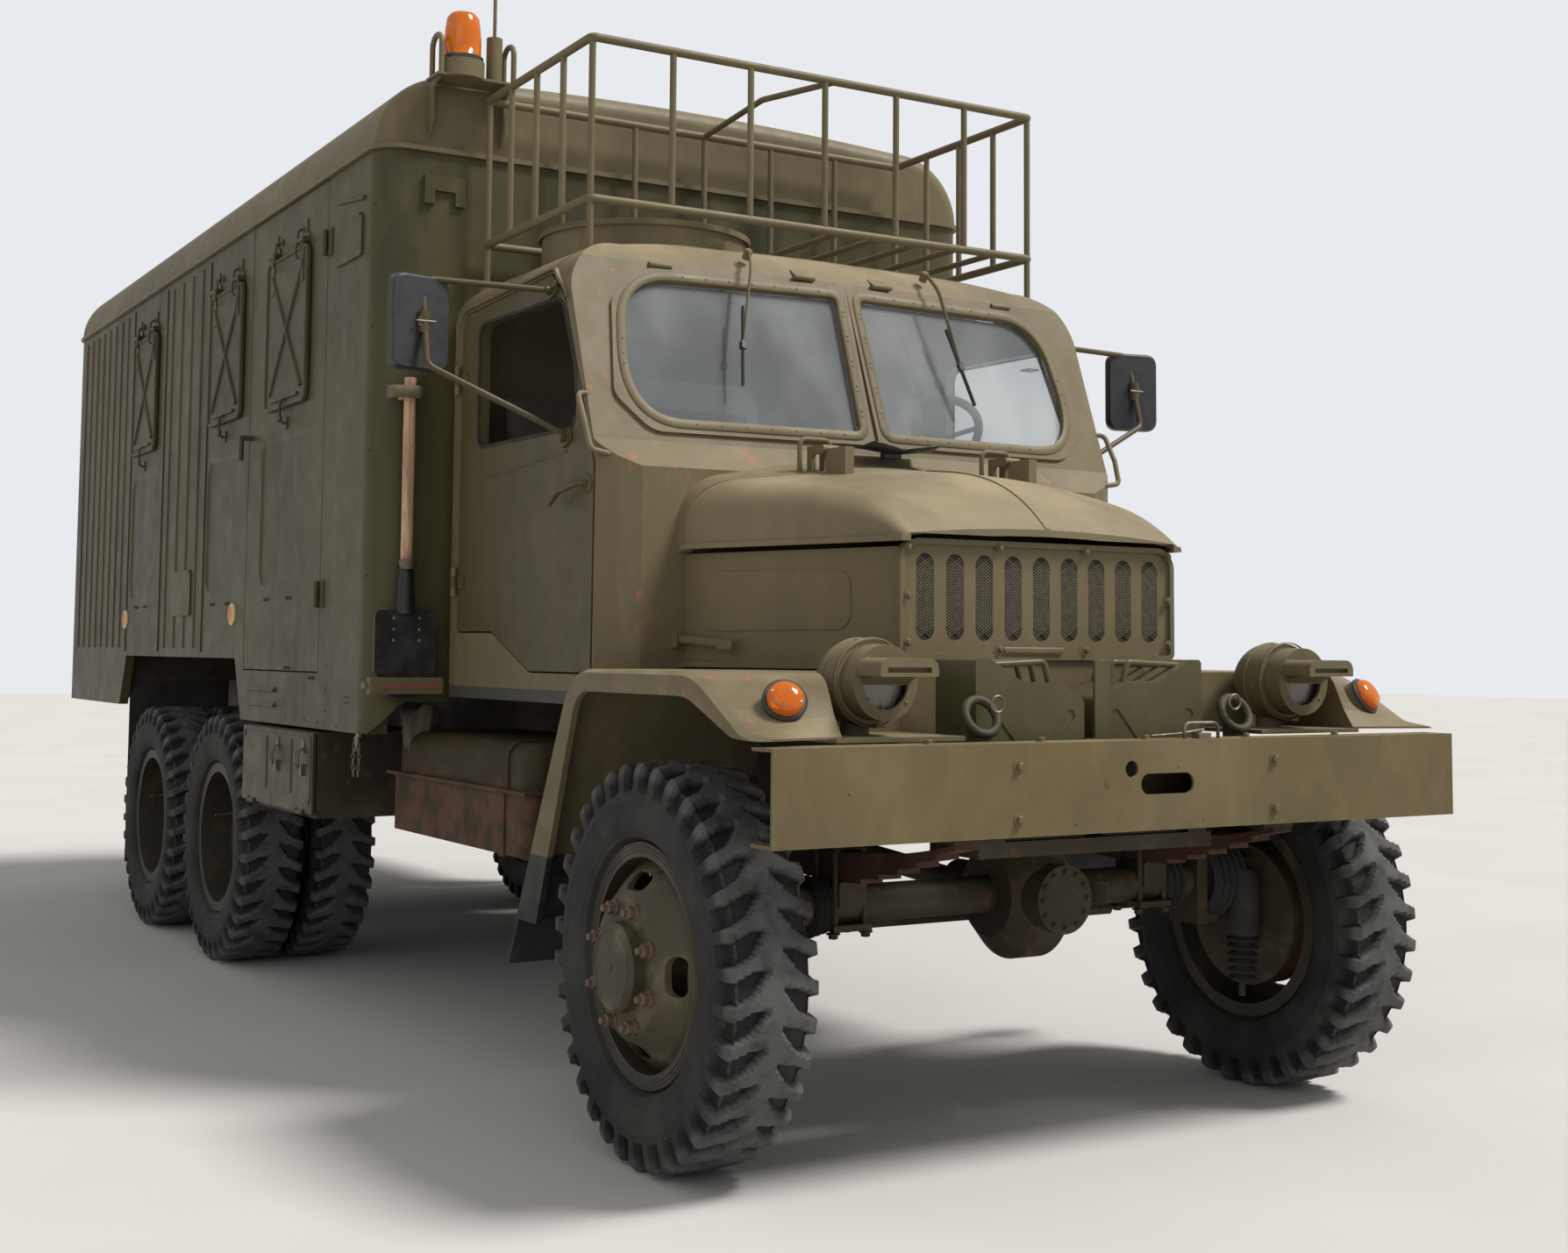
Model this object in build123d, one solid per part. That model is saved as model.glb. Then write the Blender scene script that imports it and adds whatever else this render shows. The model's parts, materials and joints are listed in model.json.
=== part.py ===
from build123d import *
import math
import os

# Six-wheeled bonneted ambulance truck with a box body.
# Millimetres. +X forward, +Y to the truck's left, +Z up, ground at Z = 0.
# Places along the truck are named by their distance ahead of the front axle.

# Driving dimensions of the whole truck
WHEELBASE = 3580.0
BOGIE_SPREAD = 1120.0
FRONT_OVERHANG = 610.0
BOX_START = 1740.0
BOX_LENGTH = 4810.0
BOX_HALF_WIDTH = 1146.5
BOX_SIDE_BOTTOM = 950.0
BOX_SIDE_TOP = 2826.0
BOX_CROWN = 3122.0
WALL = 40.0

# Clearances
DOOR_GAP = 5.0
SWING_GAP = 7.0
SEAT_GAP = 0.3
REAR_HANDLE_REACH = 51.0

FRONT_AXLE_X = (BOX_START + BOX_LENGTH + REAR_HANDLE_REACH - FRONT_OVERHANG) / 2


def ahead(distance):
    """X of a place this far ahead of the front axle."""
    return FRONT_AXLE_X + distance


# Wheels and tyres
TYRE_RADIUS = 478.0
TYRE_HALF_WIDTH = 120.0
BEAD_RADIUS = 262.0
RIM_HALF_WIDTH = 92.0
RIM_FLANGE_RADIUS = 288.0
RIM_WALL = 10.0
DISC_OFFSET = 140.0
DISC_THICKNESS = 10.0
DISC_FLAT_RADIUS = 155.0
DISC_KNEE_RADIUS = 217.0
DISC_KNEE_DEPTH = 68.0
DISC_FOOT_DEPTH = 110.0
DISC_BEND = 18.0
HUB_CAP_RADIUS = 105.0
HUB_CAP_HEIGHT = 36.0
DRUM_RADIUS = 200.0
AXLE_Z = TYRE_RADIUS
FRONT_HALF_TRACK = 955.0
REAR_MID_HALF_TRACK = 890.0
HAND_HOLE_RADIUS = 196.0
HAND_HOLE_LENGTH = 92.0
HAND_HOLE_WIDTH = 40.0

# Axles and steering
PORTAL_RISE = 108.0
TUBE_Z = AXLE_Z + PORTAL_RISE
AXLE_TUBE_RADIUS = 48.0
DIFF_Y = 65.0
DIFF_RADIUS = 172.0
DIFF_HALF = 105.0
DIFF_NOSE_REAR = 265.0
DIFF_NOSE_FRONT = 200.0
DIFF_NOSE_RADIUS = 62.0
DIFF_FRONT_RADIUS = 88.0
KING_PIN_Y = 742.0
YOKE_Y = KING_PIN_Y - 62.0
KNUCKLE_GAP = 6.0
STEER_ARM_BACK = 212.0
STEER_ARM_Y = KING_PIN_Y - 20.0
STEER_ARM_Z = AXLE_Z + 60.0
TIE_ROD_RADIUS = 15.0

# Springs
SPRING_Y = 495.0
SPRING_WIDTH = 65.0
LEAF = 12.0
SPRING_PAD = 62.0
FRONT_SPRING_LEAVES = 6
REAR_SPRING_LEAVES = 8
FRONT_SPRING_RISE = 62.0
REAR_SPRING_DROP = 74.0
FRONT_SPRING_HALF = 560.0
FRONT_SPRING_MIDDLE = -20.0
BOGIE = -(WHEELBASE + BOGIE_SPREAD / 2)
U_BOLT_RADIUS = 8.0
U_BOLT_HALF_SPACING = 44.0

# Chassis
RAIL_OUTER_Y = 435.0
RAIL_INNER_Y = 365.0
RAIL_BOTTOM = 800.0
RAIL_TOP = 992.0
RAIL_PLATE = 8.0
BUMPER_HALF = 1053.0
BUMPER_LOW = 800.0
BUMPER_HIGH = 1014.0
BUMPER_DEPTH = 91.0
BUMPER_PLATE = 8.0
CROSS_MEMBERS = [
    # ahead of axle, half thickness
    (470.0, 40.0), (-1500.0, 35.0), (-2400.0, 35.0), (-4140.0, 60.0), (-6230.0, 40.0),
]
HOOK_X = -6240.0
HOOK_Z = 890.0
ENGINE_HALF = 260.0
SHAFT_Z = 900.0
SHAFT_RADIUS = 34.0
SHACKLE_Y = 404.0
SHACKLE_AT = (470.0, 1070.0)

# Jerrycans and their tray behind the bumper
CAN_REAR, CAN_FRONT = 262.0, 428.0
CAN_FLOOR = 741.0
TRAY_PLATE = 6.0
CAN_POCKET_HALF = 392.0

# Cab
CAB_FRONT = -515.0
CAB_REAR = -1700.0
CAB_HALF = 905.0
CAB_WALL = 36.0
CAB_BOTTOM = 1070.0
CAB_CROWN = 2462.0
SCREEN_FOOT = (-586.0, 1800.0)
SCREEN_HEAD = (-786.0, 2345.0)
SCREEN_SWEEP = 2.4
SCREEN_RUN = SCREEN_FOOT[0] - SCREEN_HEAD[0]
SCREEN_RISE = SCREEN_HEAD[1] - SCREEN_FOOT[1]
SCREEN_SLOPE = math.degrees(math.atan2(SCREEN_RUN, SCREEN_RISE))
BELT_Z = 1722.0
COWL_TOP = SCREEN_FOOT[1] + 14.0
CAB_SPLIT = -1045.0
FRAME_BORDER = 40.0
FRAME_PROUD = 9.0
DOOR_OUTLINE = [
    (-625.0, 1158.0), (-622.0, 1735.0), (-835.0, 2230.0), (-960.0, 2306.0), (-1606.0, 2276.0),
    (-1612.0, 1275.0), (-1330.0, 1274.0), (-1040.0, 1158.0),
]
DOOR_RADII = [10.0, 40.0, 90.0, 60.0, 20.0, 10.0, 120.0, 60.0]
DOOR_WINDOW = [(-742.0, 1838.0), (-738.0, 1985.0), (-845.0, 2222.0), (-1468.0, 2228.0), (-1468.0, 1842.0)]
DOOR_WINDOW_RADII = [45.0, 60.0, 70.0, 45.0, 30.0]
DOOR_INNER_Y = CAB_HALF - CAB_WALL - 7.0
DRIP_OFFSET = 16.0
DRIP_HEIGHT = 7.0
CAB_HINGE_X = -1615.0
CAB_HINGE_Z = (2070.0, 1430.0)
REAR_PANE = [(-300.0, 1900.0), (300.0, 1900.0), (300.0, 2200.0), (-300.0, 2200.0)]
REAR_PANE_RADIUS = 40.0

# Hood
HOOD_EDGE = 1490.0
HOOD_FRONT = 215.0
NOSE_LOW = 1176.0
SEAM_MIDDLE = -335.0
SEAM_SIDE = -548.0
SEAM_HALF = 720.0
HOOD_SKIN = 18.0
HOOD_BEAD = 8.0
HOOD_SIDE_INSET = 24.0
HOOD_SIDE_SKIN = 10.0
HOOD_GAP = 6.0
HOOD_RIDGE = 4.0
HOOD_HINGE_X = -352.0
HOOD_HINGE_Y = 314.0
HOOD_HINGE_Z = 1778.0
SIDE_PRESSING = [(-462.0, 1274.0), (18.0, 1278.0), (18.0, 1428.0), (-462.0, 1434.0)]
LEDGE_HIGH = 1190.0
NOSE_SECTIONS = [
    # ahead of axle, half width, side top, crown, shoulder radius
    (215.0, 450.0, 1514.0, 1538.0, 22.0),
    (95.0, 480.0, 1580.0, 1630.0, 60.0),
    (-120.0, 548.0, 1632.0, 1706.0, 100.0),
    (-575.0, 693.0, 1690.0, 1776.0, 150.0),
]

# Grille
GRILLE_X = 186.0
GRILLE_HALF = 448.0
GRILLE_LOW, GRILLE_HIGH = 1180.0, 1505.0
GRILLE_PLATE = 20.0
GRILLE_LIP = 9.0
GRILLE_SLOTS = 9
GRILLE_PITCH = 91.8
SLOT_TALL = 218.0
SLOT_WIDE = 56.0
SLOT_DEEP = 14.0
SLOT_Z = 1359.0

# Front fenders
FENDER_SKIN = 16.0
FENDER_OUT = 1060.0
FENDER_IN = 470.0
FENDER_FOOT = 500.0
FENDER_FRONT_LOW = 1026.0
LAMP_NOTCH_X = 236.0
LAMP_NOTCH_Y = 806.0
FENDER_CORNERS = [
    # outer place, outer z, outer bend, inner place, inner z, inner bend
    (-735.0, 500.0, 0.0, -735.0, 500.0, 0.0),
    (-418.0, 1172.0, 110.0, -418.0, 1172.0, 110.0),
    (236.0, 1172.0, 250.0, 415.0, 1172.0, 55.0),
    (465.0, 1043.0, 120.0, 462.0, 1075.0, 40.0),
    (555.0, 1031.0, 0.0, 493.0, 1031.0, 0.0),
    (555.0, 1026.0, 0.0, 493.0, 1026.0, 0.0),
    (200.0, 500.0, 0.0, 200.0, 500.0, 0.0),
]
FENDER_STATIONS = [
    # half width, share of the outer line, lowered by
    (LAMP_NOTCH_Y, 0.0, 0.0), (1030.0, 1.0, 0.0), (1051.0, 1.0, 9.0), (FENDER_OUT, 1.0, 30.0),
]
FENDER_MOUTH = [
    (-655.0, 360.0), (-372.0, 1116.0), (225.0, 1116.0),
    (440.0, 1030.0), (600.0, 1018.0), (600.0, 360.0),
]
FENDER_MOUTH_RADII = [0, 90.0, 220.0, 60.0, 0, 0]
LAMP_SHELF = (1016.5, 1027.0)

# Lamps
LAMP_Y, LAMP_Z = 664.0, 1150.0
LAMP_BACK = 240.0
LAMP_FACE = 456.0
LAMP_DRUM_RADIUS = 101.0
LAMP_RING_RADIUS = 88.0
LENS_RADIUS = 78.0
LENS_SEAT = 426.0
LENS_THICKNESS = 8.0
LAMP_FACE_PLATE = 8.0
LAMP_OPENING = 62.0
TURN_AT = (407.0, 910.0, 1096.0)
TURN_AXIS = (0.82, 0.28, 0.48)
TURN_RADIUS = 50.0
TURN_BASE = 27.0
REAR_LAMP_Y, REAR_LAMP_Z = 980.0, 1060.0
ROOF_SETBACK = 14.0
BEACON_AT = (-1680.0, -900.0)
BEACON_BASE = 3118.0
ANTENNA_AT = (-1680.0, -790.0)
BEACON_SHELF = 3060.0

# Box body
FLOOR_LOW = 1180.0
FLOOR_HIGH = 1215.0
BOX_CORNER = 95.0
WALL_SEAM_FRONT = -2170.0
WALL_SEAM_REAR = -6400.0
ARCH = [(-5320.0, 940.0), (-5200.0, 1178.0), (-3310.0, 1178.0), (-3200.0, 940.0)]
SIDE_DOOR_FRONT = -2262.0
SIDE_DOOR_REAR = -3180.0
SIDE_DOOR_LOW = 1140.0
SIDE_HINGE_Z = (2600.0, 1400.0)
REAR_DOOR_HALF = 620.0
REAR_DOOR_LOW = 1225.0
REAR_DOOR_HIGH = 2700.0
REAR_HINGE_Z = (2500.0, 1960.0, 1420.0)
COVER_THICKNESS = 16.0
WINDOW_RECESS = 5.0
WINDOW_MARGIN = 45.0
WINDOWS = {
    # name: rear edge, front edge (ahead of the axle), low, high
    "front": (-2940.0, -2440.0, 2080.0, 2640.0),
    "middle": (-3765.0, -3285.0, 2105.0, 2640.0),
    "rear": (-5160.0, -4700.0, 2100.0, 2640.0),
}
PRESSINGS = {
    # name: rear edge, front edge (ahead of the axle), low, high
    "front": (-3010.0, -2430.0, 1440.0, 1980.0),
    "middle": (-3790.0, -3300.0, 1435.0, 1970.0),
    "rear": (-5170.0, -4710.0, 1435.0, 2000.0),
}
PRESSING_DEPTH = 7.0
PRESSING_SLOPE = 14.0
PRESSING_RADIUS = 70.0
SEAM_STRIPS = (-3832.0, -4580.0, -5230.0)
RIB_GROUPS = [
    # first rib, last rib, ribs
    (-3950.0, -4460.0, 4), (-5360.0, -6330.0, 8),
]
RIB_RADIUS = 9.0
WALL_FLAPS = [
    # rear edge, front edge, low, high
    (-2160.0, -1890.0, 2496.0, 2630.0), (-4310.0, -4010.0, 1350.0, 1530.0),
]
FLAP_PROUD = 8.0
VENT_Z = (1005.0, 1060.0)
VENT_SPAN = (-3085.0, -2755.0)
VENT_TALL = 26.0
SILLS_HIGH = 1060.0
BEARERS = (-1876.0, -2600.0, -3180.0, -5330.0, -6350.0)
BEARER_HALF = 30.0
LOCKER_FRONT, LOCKER_REAR = -2252.0, -3112.0
LOCKER_LOW, LOCKER_HIGH = 650.0, 938.0
LOCKER_DEEP = 420.0
LOCKER_WALL = 12.0
LOCKER_FACE = BOX_HALF_WIDTH - 4.0
LOCKER_HINGE_OUT = 15.0

# Hinges, drawn along Z with the moving leaf towards +X
HINGE_R = 9.0
HINGE_OUT = 13.0
HINGE_BARREL = 20.0
HINGE_PLATE = 5.0
EAR_START, EAR_END = 30.5, 46.0

# Roof rack and roof hatch
RACK_FRONT, RACK_REAR = -894.0, -1690.0
RACK_HALF = 803.0
RACK_TOP, RACK_LOW = 3008.0, 2530.0
RACK_TUBE = 13.0
RACK_BAR = 10.0
RACK_BEND = 16.0
RACK_POST_IN = 4.7
RACK_FOOT_RADIUS = 24.0
RACK_SLATS = (60.0, 210.0, 360.0, 510.0, 660.0)
HATCH_AT = (-1251.0, -445.0)
HATCH_R = 322.0
HATCH_WALL = 14.0
HATCH_RIM = 2502.0
HATCH_OVERHANG = 12.0
HATCH_LIP = 12.0
HATCH_HINGE_BACK = 28.0
HATCH_HINGE_RISE = 8.0

# Cab inside
STEER_AT = (-985.0, 400.0, 1880.0)
STEER_TILT = 38.0
STEER_RADIUS = 225.0
TUNNEL_HALF = 285.0
TUNNEL_TOP = 1385.0
TUNNEL_WALL = 10.0
TUNNEL_BACK = -1000.0
SEATS = [
    # right edge, left edge
    (150.0, 760.0), (-780.0, 90.0),
]

# Further sizes of single pieces
HINGE_EAR = 25.0
HINGE_LEAF = 62.0
HINGE_ROOT = 50.0
YOKE_TALL = 118.0
YOKE_ARM = 14.0
STEER_BOSS = 22.0
DIFF_CHAMFER = 62.0
FRAME_END = -6280.0
ENGINE_MOUNTS = (-120.0, -780.0)
ENGINE_BACK = -900.0
GEARBOX_BACK = -1330.0
TRANSFER_FRONT = -1900.0
TRANSFER_LEFT = 160.0
TRANSFER_RIGHT = 250.0
TRAY_SPAN = (-396.0, 336.0)
TRAY_LIP = 31.0
CRANK_HOLE = (-63.0, 947.0)
CRANK_HOLE_RADIUS = 20.0
BUMPER_SLOT = (49.0, 910.0)
DOOR_GRIP = [
    (-650.0, 870.0, 1675.0), (-650.0, 936.0, 1675.0),
    (-775.0, 940.0, 1660.0), (-838.0, 940.0, 1628.0),
]
PILLAR_GRIP = [
    (-684.0, 872.0, 1925.0), (-668.0, 934.0, 1925.0), (-618.0, 934.0, 1838.0),
    (-590.0, 928.0, 1762.0), (-594.0, 862.0, 1752.0),
]
DRIP_WIDTH = 8.0
FENDER_OPEN = 120.0
HATCH_RING_LOW = 2330.0
HATCH_CROWN = 24.0
LEDGE_PROUD = 14.0
FIELD_PROUD = 4.0
LIP_WIDE = 14.0
VISOR_LENGTH = 99.0
CAN_MIDDLE = -30.0
CAN_OUTLINE = [
    (-388.0, CAN_FLOOR + SEAT_GAP), (-388.0, 1206.0), (-345.0, 1206.0), (-247.0, 1150.0),
    (-134.0, 1148.0), (-58.0, 1108.0), (-58.0, CAN_FLOOR + SEAT_GAP),
]
CAN_BENDS = [16.0, 12.0, 12.0, 30.0, 20.0, 30.0, 16.0]
CAN_CROSS = (-223.0, 930.0)
CAN_CROSS_TURN = 49.0
CAN_CROSS_LENGTH = 397.0
TANK_REAR, TANK_FRONT = -1960.0, -850.0
TANK_LOW, TANK_SEAM, TANK_HIGH = 640.0, 820.0, 955.0
FRONT_CUT_TOP = 1052.0
FRONT_CUT_HALF = 1035.0
BRACKET = [
    (-1000.0, 2655.0), (-965.0, 2655.0), (-965.0, 2700.0), (-895.0, 2700.0), (-895.0, 2655.0),
    (-860.0, 2655.0), (-860.0, 2750.0), (-1000.0, 2750.0),
]
RIB_SUNK = 3.0
RIB_Z = (1215.0, 2790.0)
COVER_ROLL = 7.0
LOCKER_HINGE_RISE = 13.0
REAR_SEAM_HALF = 4.0
RACK_FOOT_TOP = 2388.0
CUSHION_BEND = 26.0
DASH_HALF = 780.0
DASH_PROFILE = [(-740.0, 1640.0), (-720.0, 1785.0), (-500.0, 1800.0), (-500.0, 1610.0)]
SHOVEL_Y = -1045.0


def block(x0, x1, y0, y1, z0, z1):
    """Box between two corners."""
    size = Box(abs(x1 - x0), abs(y1 - y0), abs(z1 - z0))
    return Pos((x0 + x1) / 2, (y0 + y1) / 2, (z0 + z1) / 2) * size


def span(side, near, far):
    """The two places of a stretch on one side of the truck, lower first."""
    return sorted((side * near, side * far))


def outline(points, radius=0.0):
    """Closed face through points, its corners rounded by one radius or a list."""
    if radius == 0.0:
        return make_face(Polyline(*points, close=True))
    return make_face(FilletPolyline(*points, radius=radius, close=True))


def from_side(face, y0, y1):
    """Extrude a face drawn in X and Z from y0 to the higher y1."""
    return extrude(Plane.XZ.offset(-y1) * face, y1 - y0)


def from_front(face, x0, x1):
    """Extrude a face drawn in Y and Z from x0 to the higher x1."""
    return extrude(Plane.YZ.offset(x0) * face, x1 - x0)


def from_above(face, z0, z1):
    """Extrude a face drawn in X and Y from z0 to the higher z1."""
    return extrude(Plane.XY.offset(z0) * face, z1 - z0)


def shifted(points):
    """Points given ahead of the front axle, moved to the truck's X."""
    return [(ahead(d), z) for d, z in points]


def rod(start, end, radius):
    """Round bar between two points."""
    a, b = Vector(*start), Vector(*end)
    return Solid.make_cylinder(radius, (b - a).length, Plane(origin=a, z_dir=b - a))


def tube(points, radius, bend):
    """Round bar along a path of straight runs joined by tangent arcs."""
    path = FilletPolyline(*points, radius=bend)
    section = Plane(origin=path @ 0, z_dir=path % 0) * Circle(radius)
    return sweep(section, path=path)


def y_cylinder(x, y0, y1, z, radius):
    return rod((x, y0, z), (x, y1, z), radius)


def post(x, y, z0, z1, radius):
    return rod((x, y, z0), (x, y, z1), radius)


def local_drum(radius, low, high):
    """Cylinder about local Z between two heights."""
    return Solid.make_cylinder(radius, high - low, Plane(origin=(0, 0, low)))


def other_side(shape):
    """The same piece on the other side of the truck."""
    return mirror(shape, about=Plane.XZ)


def on_both_sides(shape):
    """A left piece and its mirror image as one compound."""
    return Compound(shape.solids() + other_side(shape).solids())


def hinge(origin, forward, up, length=HINGE_BARREL):
    """Fixed and moving half of a hinge: forward points to the moving leaf."""
    place = Plane(origin=origin, x_dir=forward, z_dir=up)
    skin = -HINGE_OUT
    end = length + HINGE_EAR
    moving = local_drum(HINGE_R, -length, length)
    moving += block(0, HINGE_R, skin + 1.5, skin + HINGE_PLATE, -length, length)
    moving += block(HINGE_R - 1, HINGE_LEAF, skin, skin + HINGE_PLATE, -length, length)
    fixed = block(-HINGE_ROOT, -HINGE_R - DOOR_GAP, skin, skin + HINGE_PLATE, -end, end)
    for side in (-1, 1):
        low, high = span(side, length + 0.5, end)
        fixed += local_drum(HINGE_R, low, high)
        fixed += block(-HINGE_R - DOOR_GAP - 1, 0, skin, skin + HINGE_PLATE, low, high)
    return place * fixed, place * moving


# Wheels
def rim_ring():
    """Rim barrel with two flanges, turned about the wheel's own axis (local Z)."""
    w, wall = RIM_HALF_WIDTH, RIM_WALL
    seat, lip = BEAD_RADIUS, RIM_FLANGE_RADIUS
    section = [
        (seat - wall, -w), (lip, -w), (lip, -w + wall), (seat, -w + wall),
        (seat, w - wall), (lip, w - wall), (lip, w), (seat - wall, w),
    ]
    return revolve(Plane.XZ * outline(section), Axis.Z)


def wheel_disc():
    """Dished disc, convex towards +Z, with four hand holes."""
    t, top = DISC_THICKNESS, DISC_OFFSET
    flat, knee = DISC_FLAT_RADIUS, DISC_KNEE_RADIUS
    foot = BEAD_RADIUS - RIM_WALL + 1.0
    section = [
        (0, top - t), (flat - 5, top - t), (knee - 3, top - DISC_KNEE_DEPTH), (foot, top - DISC_FOOT_DEPTH),
        (foot, top - DISC_FOOT_DEPTH + t + 4), (knee + 3, top - DISC_KNEE_DEPTH + t),
        (flat + 5, top), (0, top),
    ]
    bends = [0, DISC_BEND, DISC_BEND, 0, 0, DISC_BEND + t, DISC_BEND + t, 0]
    disc = revolve(Plane.XZ * outline(section, bends), Axis.Z)
    for turn in range(4):
        slot = SlotOverall(HAND_HOLE_LENGTH, HAND_HOLE_WIDTH, rotation=90)
        hole = extrude(Pos(HAND_HOLE_RADIUS, 0, 0) * slot, DISC_OFFSET + 20)
        disc -= Rot(0, 0, 90 * turn) * hole
    return disc


def tyre_ring():
    """Tyre as a closed ring about local Z: bead, bulged side and tread."""
    w, r = TYRE_HALF_WIDTH, TYRE_RADIUS
    bead = BEAD_RADIUS + SEAT_GAP
    inner = RIM_HALF_WIDTH - RIM_WALL - SEAT_GAP
    flange = RIM_FLANGE_RADIUS + 2.0
    half = [
        (bead, inner), (flange, inner), (flange + 10, w - 14), (370, w), (430, w - 3),
        (r - 6, w - 14), (r, w - 34),
    ]
    section = half + [(x, -z) for x, z in reversed(half)]
    return revolve(Plane.XZ * outline(section), Axis.Z)


def on_axle(shape, axle, y, side):
    """Put a wheel piece drawn about local Z at an axle, +Z pointing outwards."""
    return Plane(origin=(ahead(axle), side * y, AXLE_Z), x_dir=(1, 0, 0), z_dir=(0, side, 0)) * shape


def front_rim():
    """Front wheel: rim, dished disc, hub with cap and brake drum."""
    hub = local_drum(HUB_CAP_RADIUS, DISC_OFFSET, DISC_OFFSET + HUB_CAP_HEIGHT)
    hub = chamfer(hub.edges().group_by(Axis.Z)[-1], 9)
    drum = local_drum(DRUM_RADIUS, -80, 20)
    barrel = local_drum(HUB_CAP_RADIUS, -1, DISC_OFFSET - 1)
    return rim_ring() + wheel_disc() + hub + (drum + barrel)


def twin_rims():
    """Two rims bolted face to face on one hub, drawn about their middle plane."""
    inner = Pos(0, 0, -DISC_OFFSET) * (rim_ring() + wheel_disc())
    outer = Pos(0, 0, DISC_OFFSET) * Rot(180, 0, 0) * (rim_ring() + wheel_disc())
    hub = local_drum(HUB_CAP_RADIUS, -120, 130)
    hub = chamfer(hub.edges().group_by(Axis.Z)[-1], 12)
    return inner + outer + (hub + local_drum(DRUM_RADIUS, -235, -119))


def twin_tyres():
    return Compound([Pos(0, 0, DISC_OFFSET) * tyre_ring(), Pos(0, 0, -DISC_OFFSET) * tyre_ring()])


# Axles and steering
def differential(x, y):
    """Banjo housing: a short drum about the axle line with domed covers."""
    body = y_cylinder(x, y - DIFF_HALF, y + DIFF_HALF, TUBE_Z, DIFF_RADIUS)
    body = chamfer(body.edges().filter_by(GeomType.CIRCLE), DIFF_CHAMFER)
    body += rod((x - DIFF_NOSE_REAR, y, TUBE_Z), (x, y, TUBE_Z), DIFF_NOSE_RADIUS)
    return body + rod((x, y, TUBE_Z), (x + DIFF_NOSE_FRONT, y, TUBE_Z), DIFF_FRONT_RADIUS)


def u_bolt(x, y, top):
    """Round bolt bent over a spring, its ends through the clamp plate."""
    low = TUBE_Z - AXLE_TUBE_RADIUS - 24
    half = SPRING_WIDTH / 2 + U_BOLT_RADIUS + 2
    path = [(x, y - half, low), (x, y - half, top), (x, y + half, top), (x, y + half, low)]
    return tube(path, U_BOLT_RADIUS, 14.0)


def front_axle():
    """Axle tube with its banjo, spring clamps and a fork at each end for the king pin."""
    x = ahead(0)
    axle = y_cylinder(x, -YOKE_Y, YOKE_Y, TUBE_Z, AXLE_TUBE_RADIUS)
    axle += differential(x, DIFF_Y)
    pack_top = TUBE_Z + SPRING_PAD + SEAT_GAP + FRONT_SPRING_LEAVES * LEAF
    for side in (-1, 1):
        pin_y = side * KING_PIN_Y
        back = span(side, YOKE_Y - 30, YOKE_Y + 8)
        axle += block(x - 58, x + 58, back[0], back[1], TUBE_Z - YOKE_TALL, TUBE_Z + YOKE_TALL)
        for end in (-1, 1):
            z = TUBE_Z + end * (YOKE_TALL - YOKE_ARM)
            arm = span(side, YOKE_Y - 10, KING_PIN_Y)
            axle += block(x - 34, x + 34, arm[0], arm[1], z - YOKE_ARM, z + YOKE_ARM)
            axle += post(x, pin_y, z - YOKE_ARM, z + YOKE_ARM, 34)
        y = side * SPRING_Y
        axle += block(x - 60, x + 60, y - 40, y + 40, TUBE_Z, TUBE_Z + SPRING_PAD)
        low = TUBE_Z - AXLE_TUBE_RADIUS
        axle += block(x - 62, x + 62, y - 56, y + 56, low - 12, low + 4)
        for end in (-1, 1):
            axle += u_bolt(x + end * U_BOLT_HALF_SPACING, y, pack_top + U_BOLT_RADIUS + 2)
    return axle


def knuckle(side):
    """Steered end: king pin, reduction case down to the hub and steering arm."""
    x, y = ahead(0), side * KING_PIN_Y
    inner = TUBE_Z - YOKE_TALL + 2 * YOKE_ARM + KNUCKLE_GAP
    outer = TUBE_Z + YOKE_TALL - 2 * YOKE_ARM - KNUCKLE_GAP
    body = post(x, y, inner, outer, 40)
    body += post(x, y, inner - KNUCKLE_GAP + 0.5, outer + KNUCKLE_GAP - 0.5, 17)
    hub_y = side * (FRONT_HALF_TRACK - 92)
    face = sorted((y + side * 46, hub_y))
    neck = sorted((y, y + side * 50))
    body += block(x - 40, x + 40, neck[0], neck[1], inner, outer)
    body += block(x - 62, x + 62, face[0], face[1], AXLE_Z - 40, TUBE_Z + 60)
    body += y_cylinder(x, face[0], face[1], AXLE_Z, 82)
    body += y_cylinder(x, face[0], face[1], TUBE_Z, 70)
    body += y_cylinder(x, hub_y, hub_y + side * 11.5, AXLE_Z, 60)
    end_x, end_y = x - STEER_ARM_BACK, side * STEER_ARM_Y
    body += rod((x - 50, y + side * 70, STEER_ARM_Z), (end_x, end_y, STEER_ARM_Z), 16)
    return body + post(end_x, end_y, STEER_ARM_Z - STEER_BOSS, STEER_ARM_Z + STEER_BOSS, 20)


def tie_rod():
    """Tube between the two steering arms, with a socket under each."""
    x = ahead(-STEER_ARM_BACK)
    top = STEER_ARM_Z - STEER_BOSS - SEAT_GAP
    z = top - TIE_ROD_RADIUS
    bar = y_cylinder(x, -STEER_ARM_Y, STEER_ARM_Y, z, TIE_ROD_RADIUS)
    for side in (-1, 1):
        bar += post(x, side * STEER_ARM_Y, z - TIE_ROD_RADIUS - 3, top, 20)
        collar = span(side, STEER_ARM_Y - 150, STEER_ARM_Y - 60)
        bar += y_cylinder(x, collar[0], collar[1], z - 1, TIE_ROD_RADIUS + 1.5)
    return bar - block(x - 60, x + 60, -STEER_ARM_Y - 60, STEER_ARM_Y + 60, top, top + 60)


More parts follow.
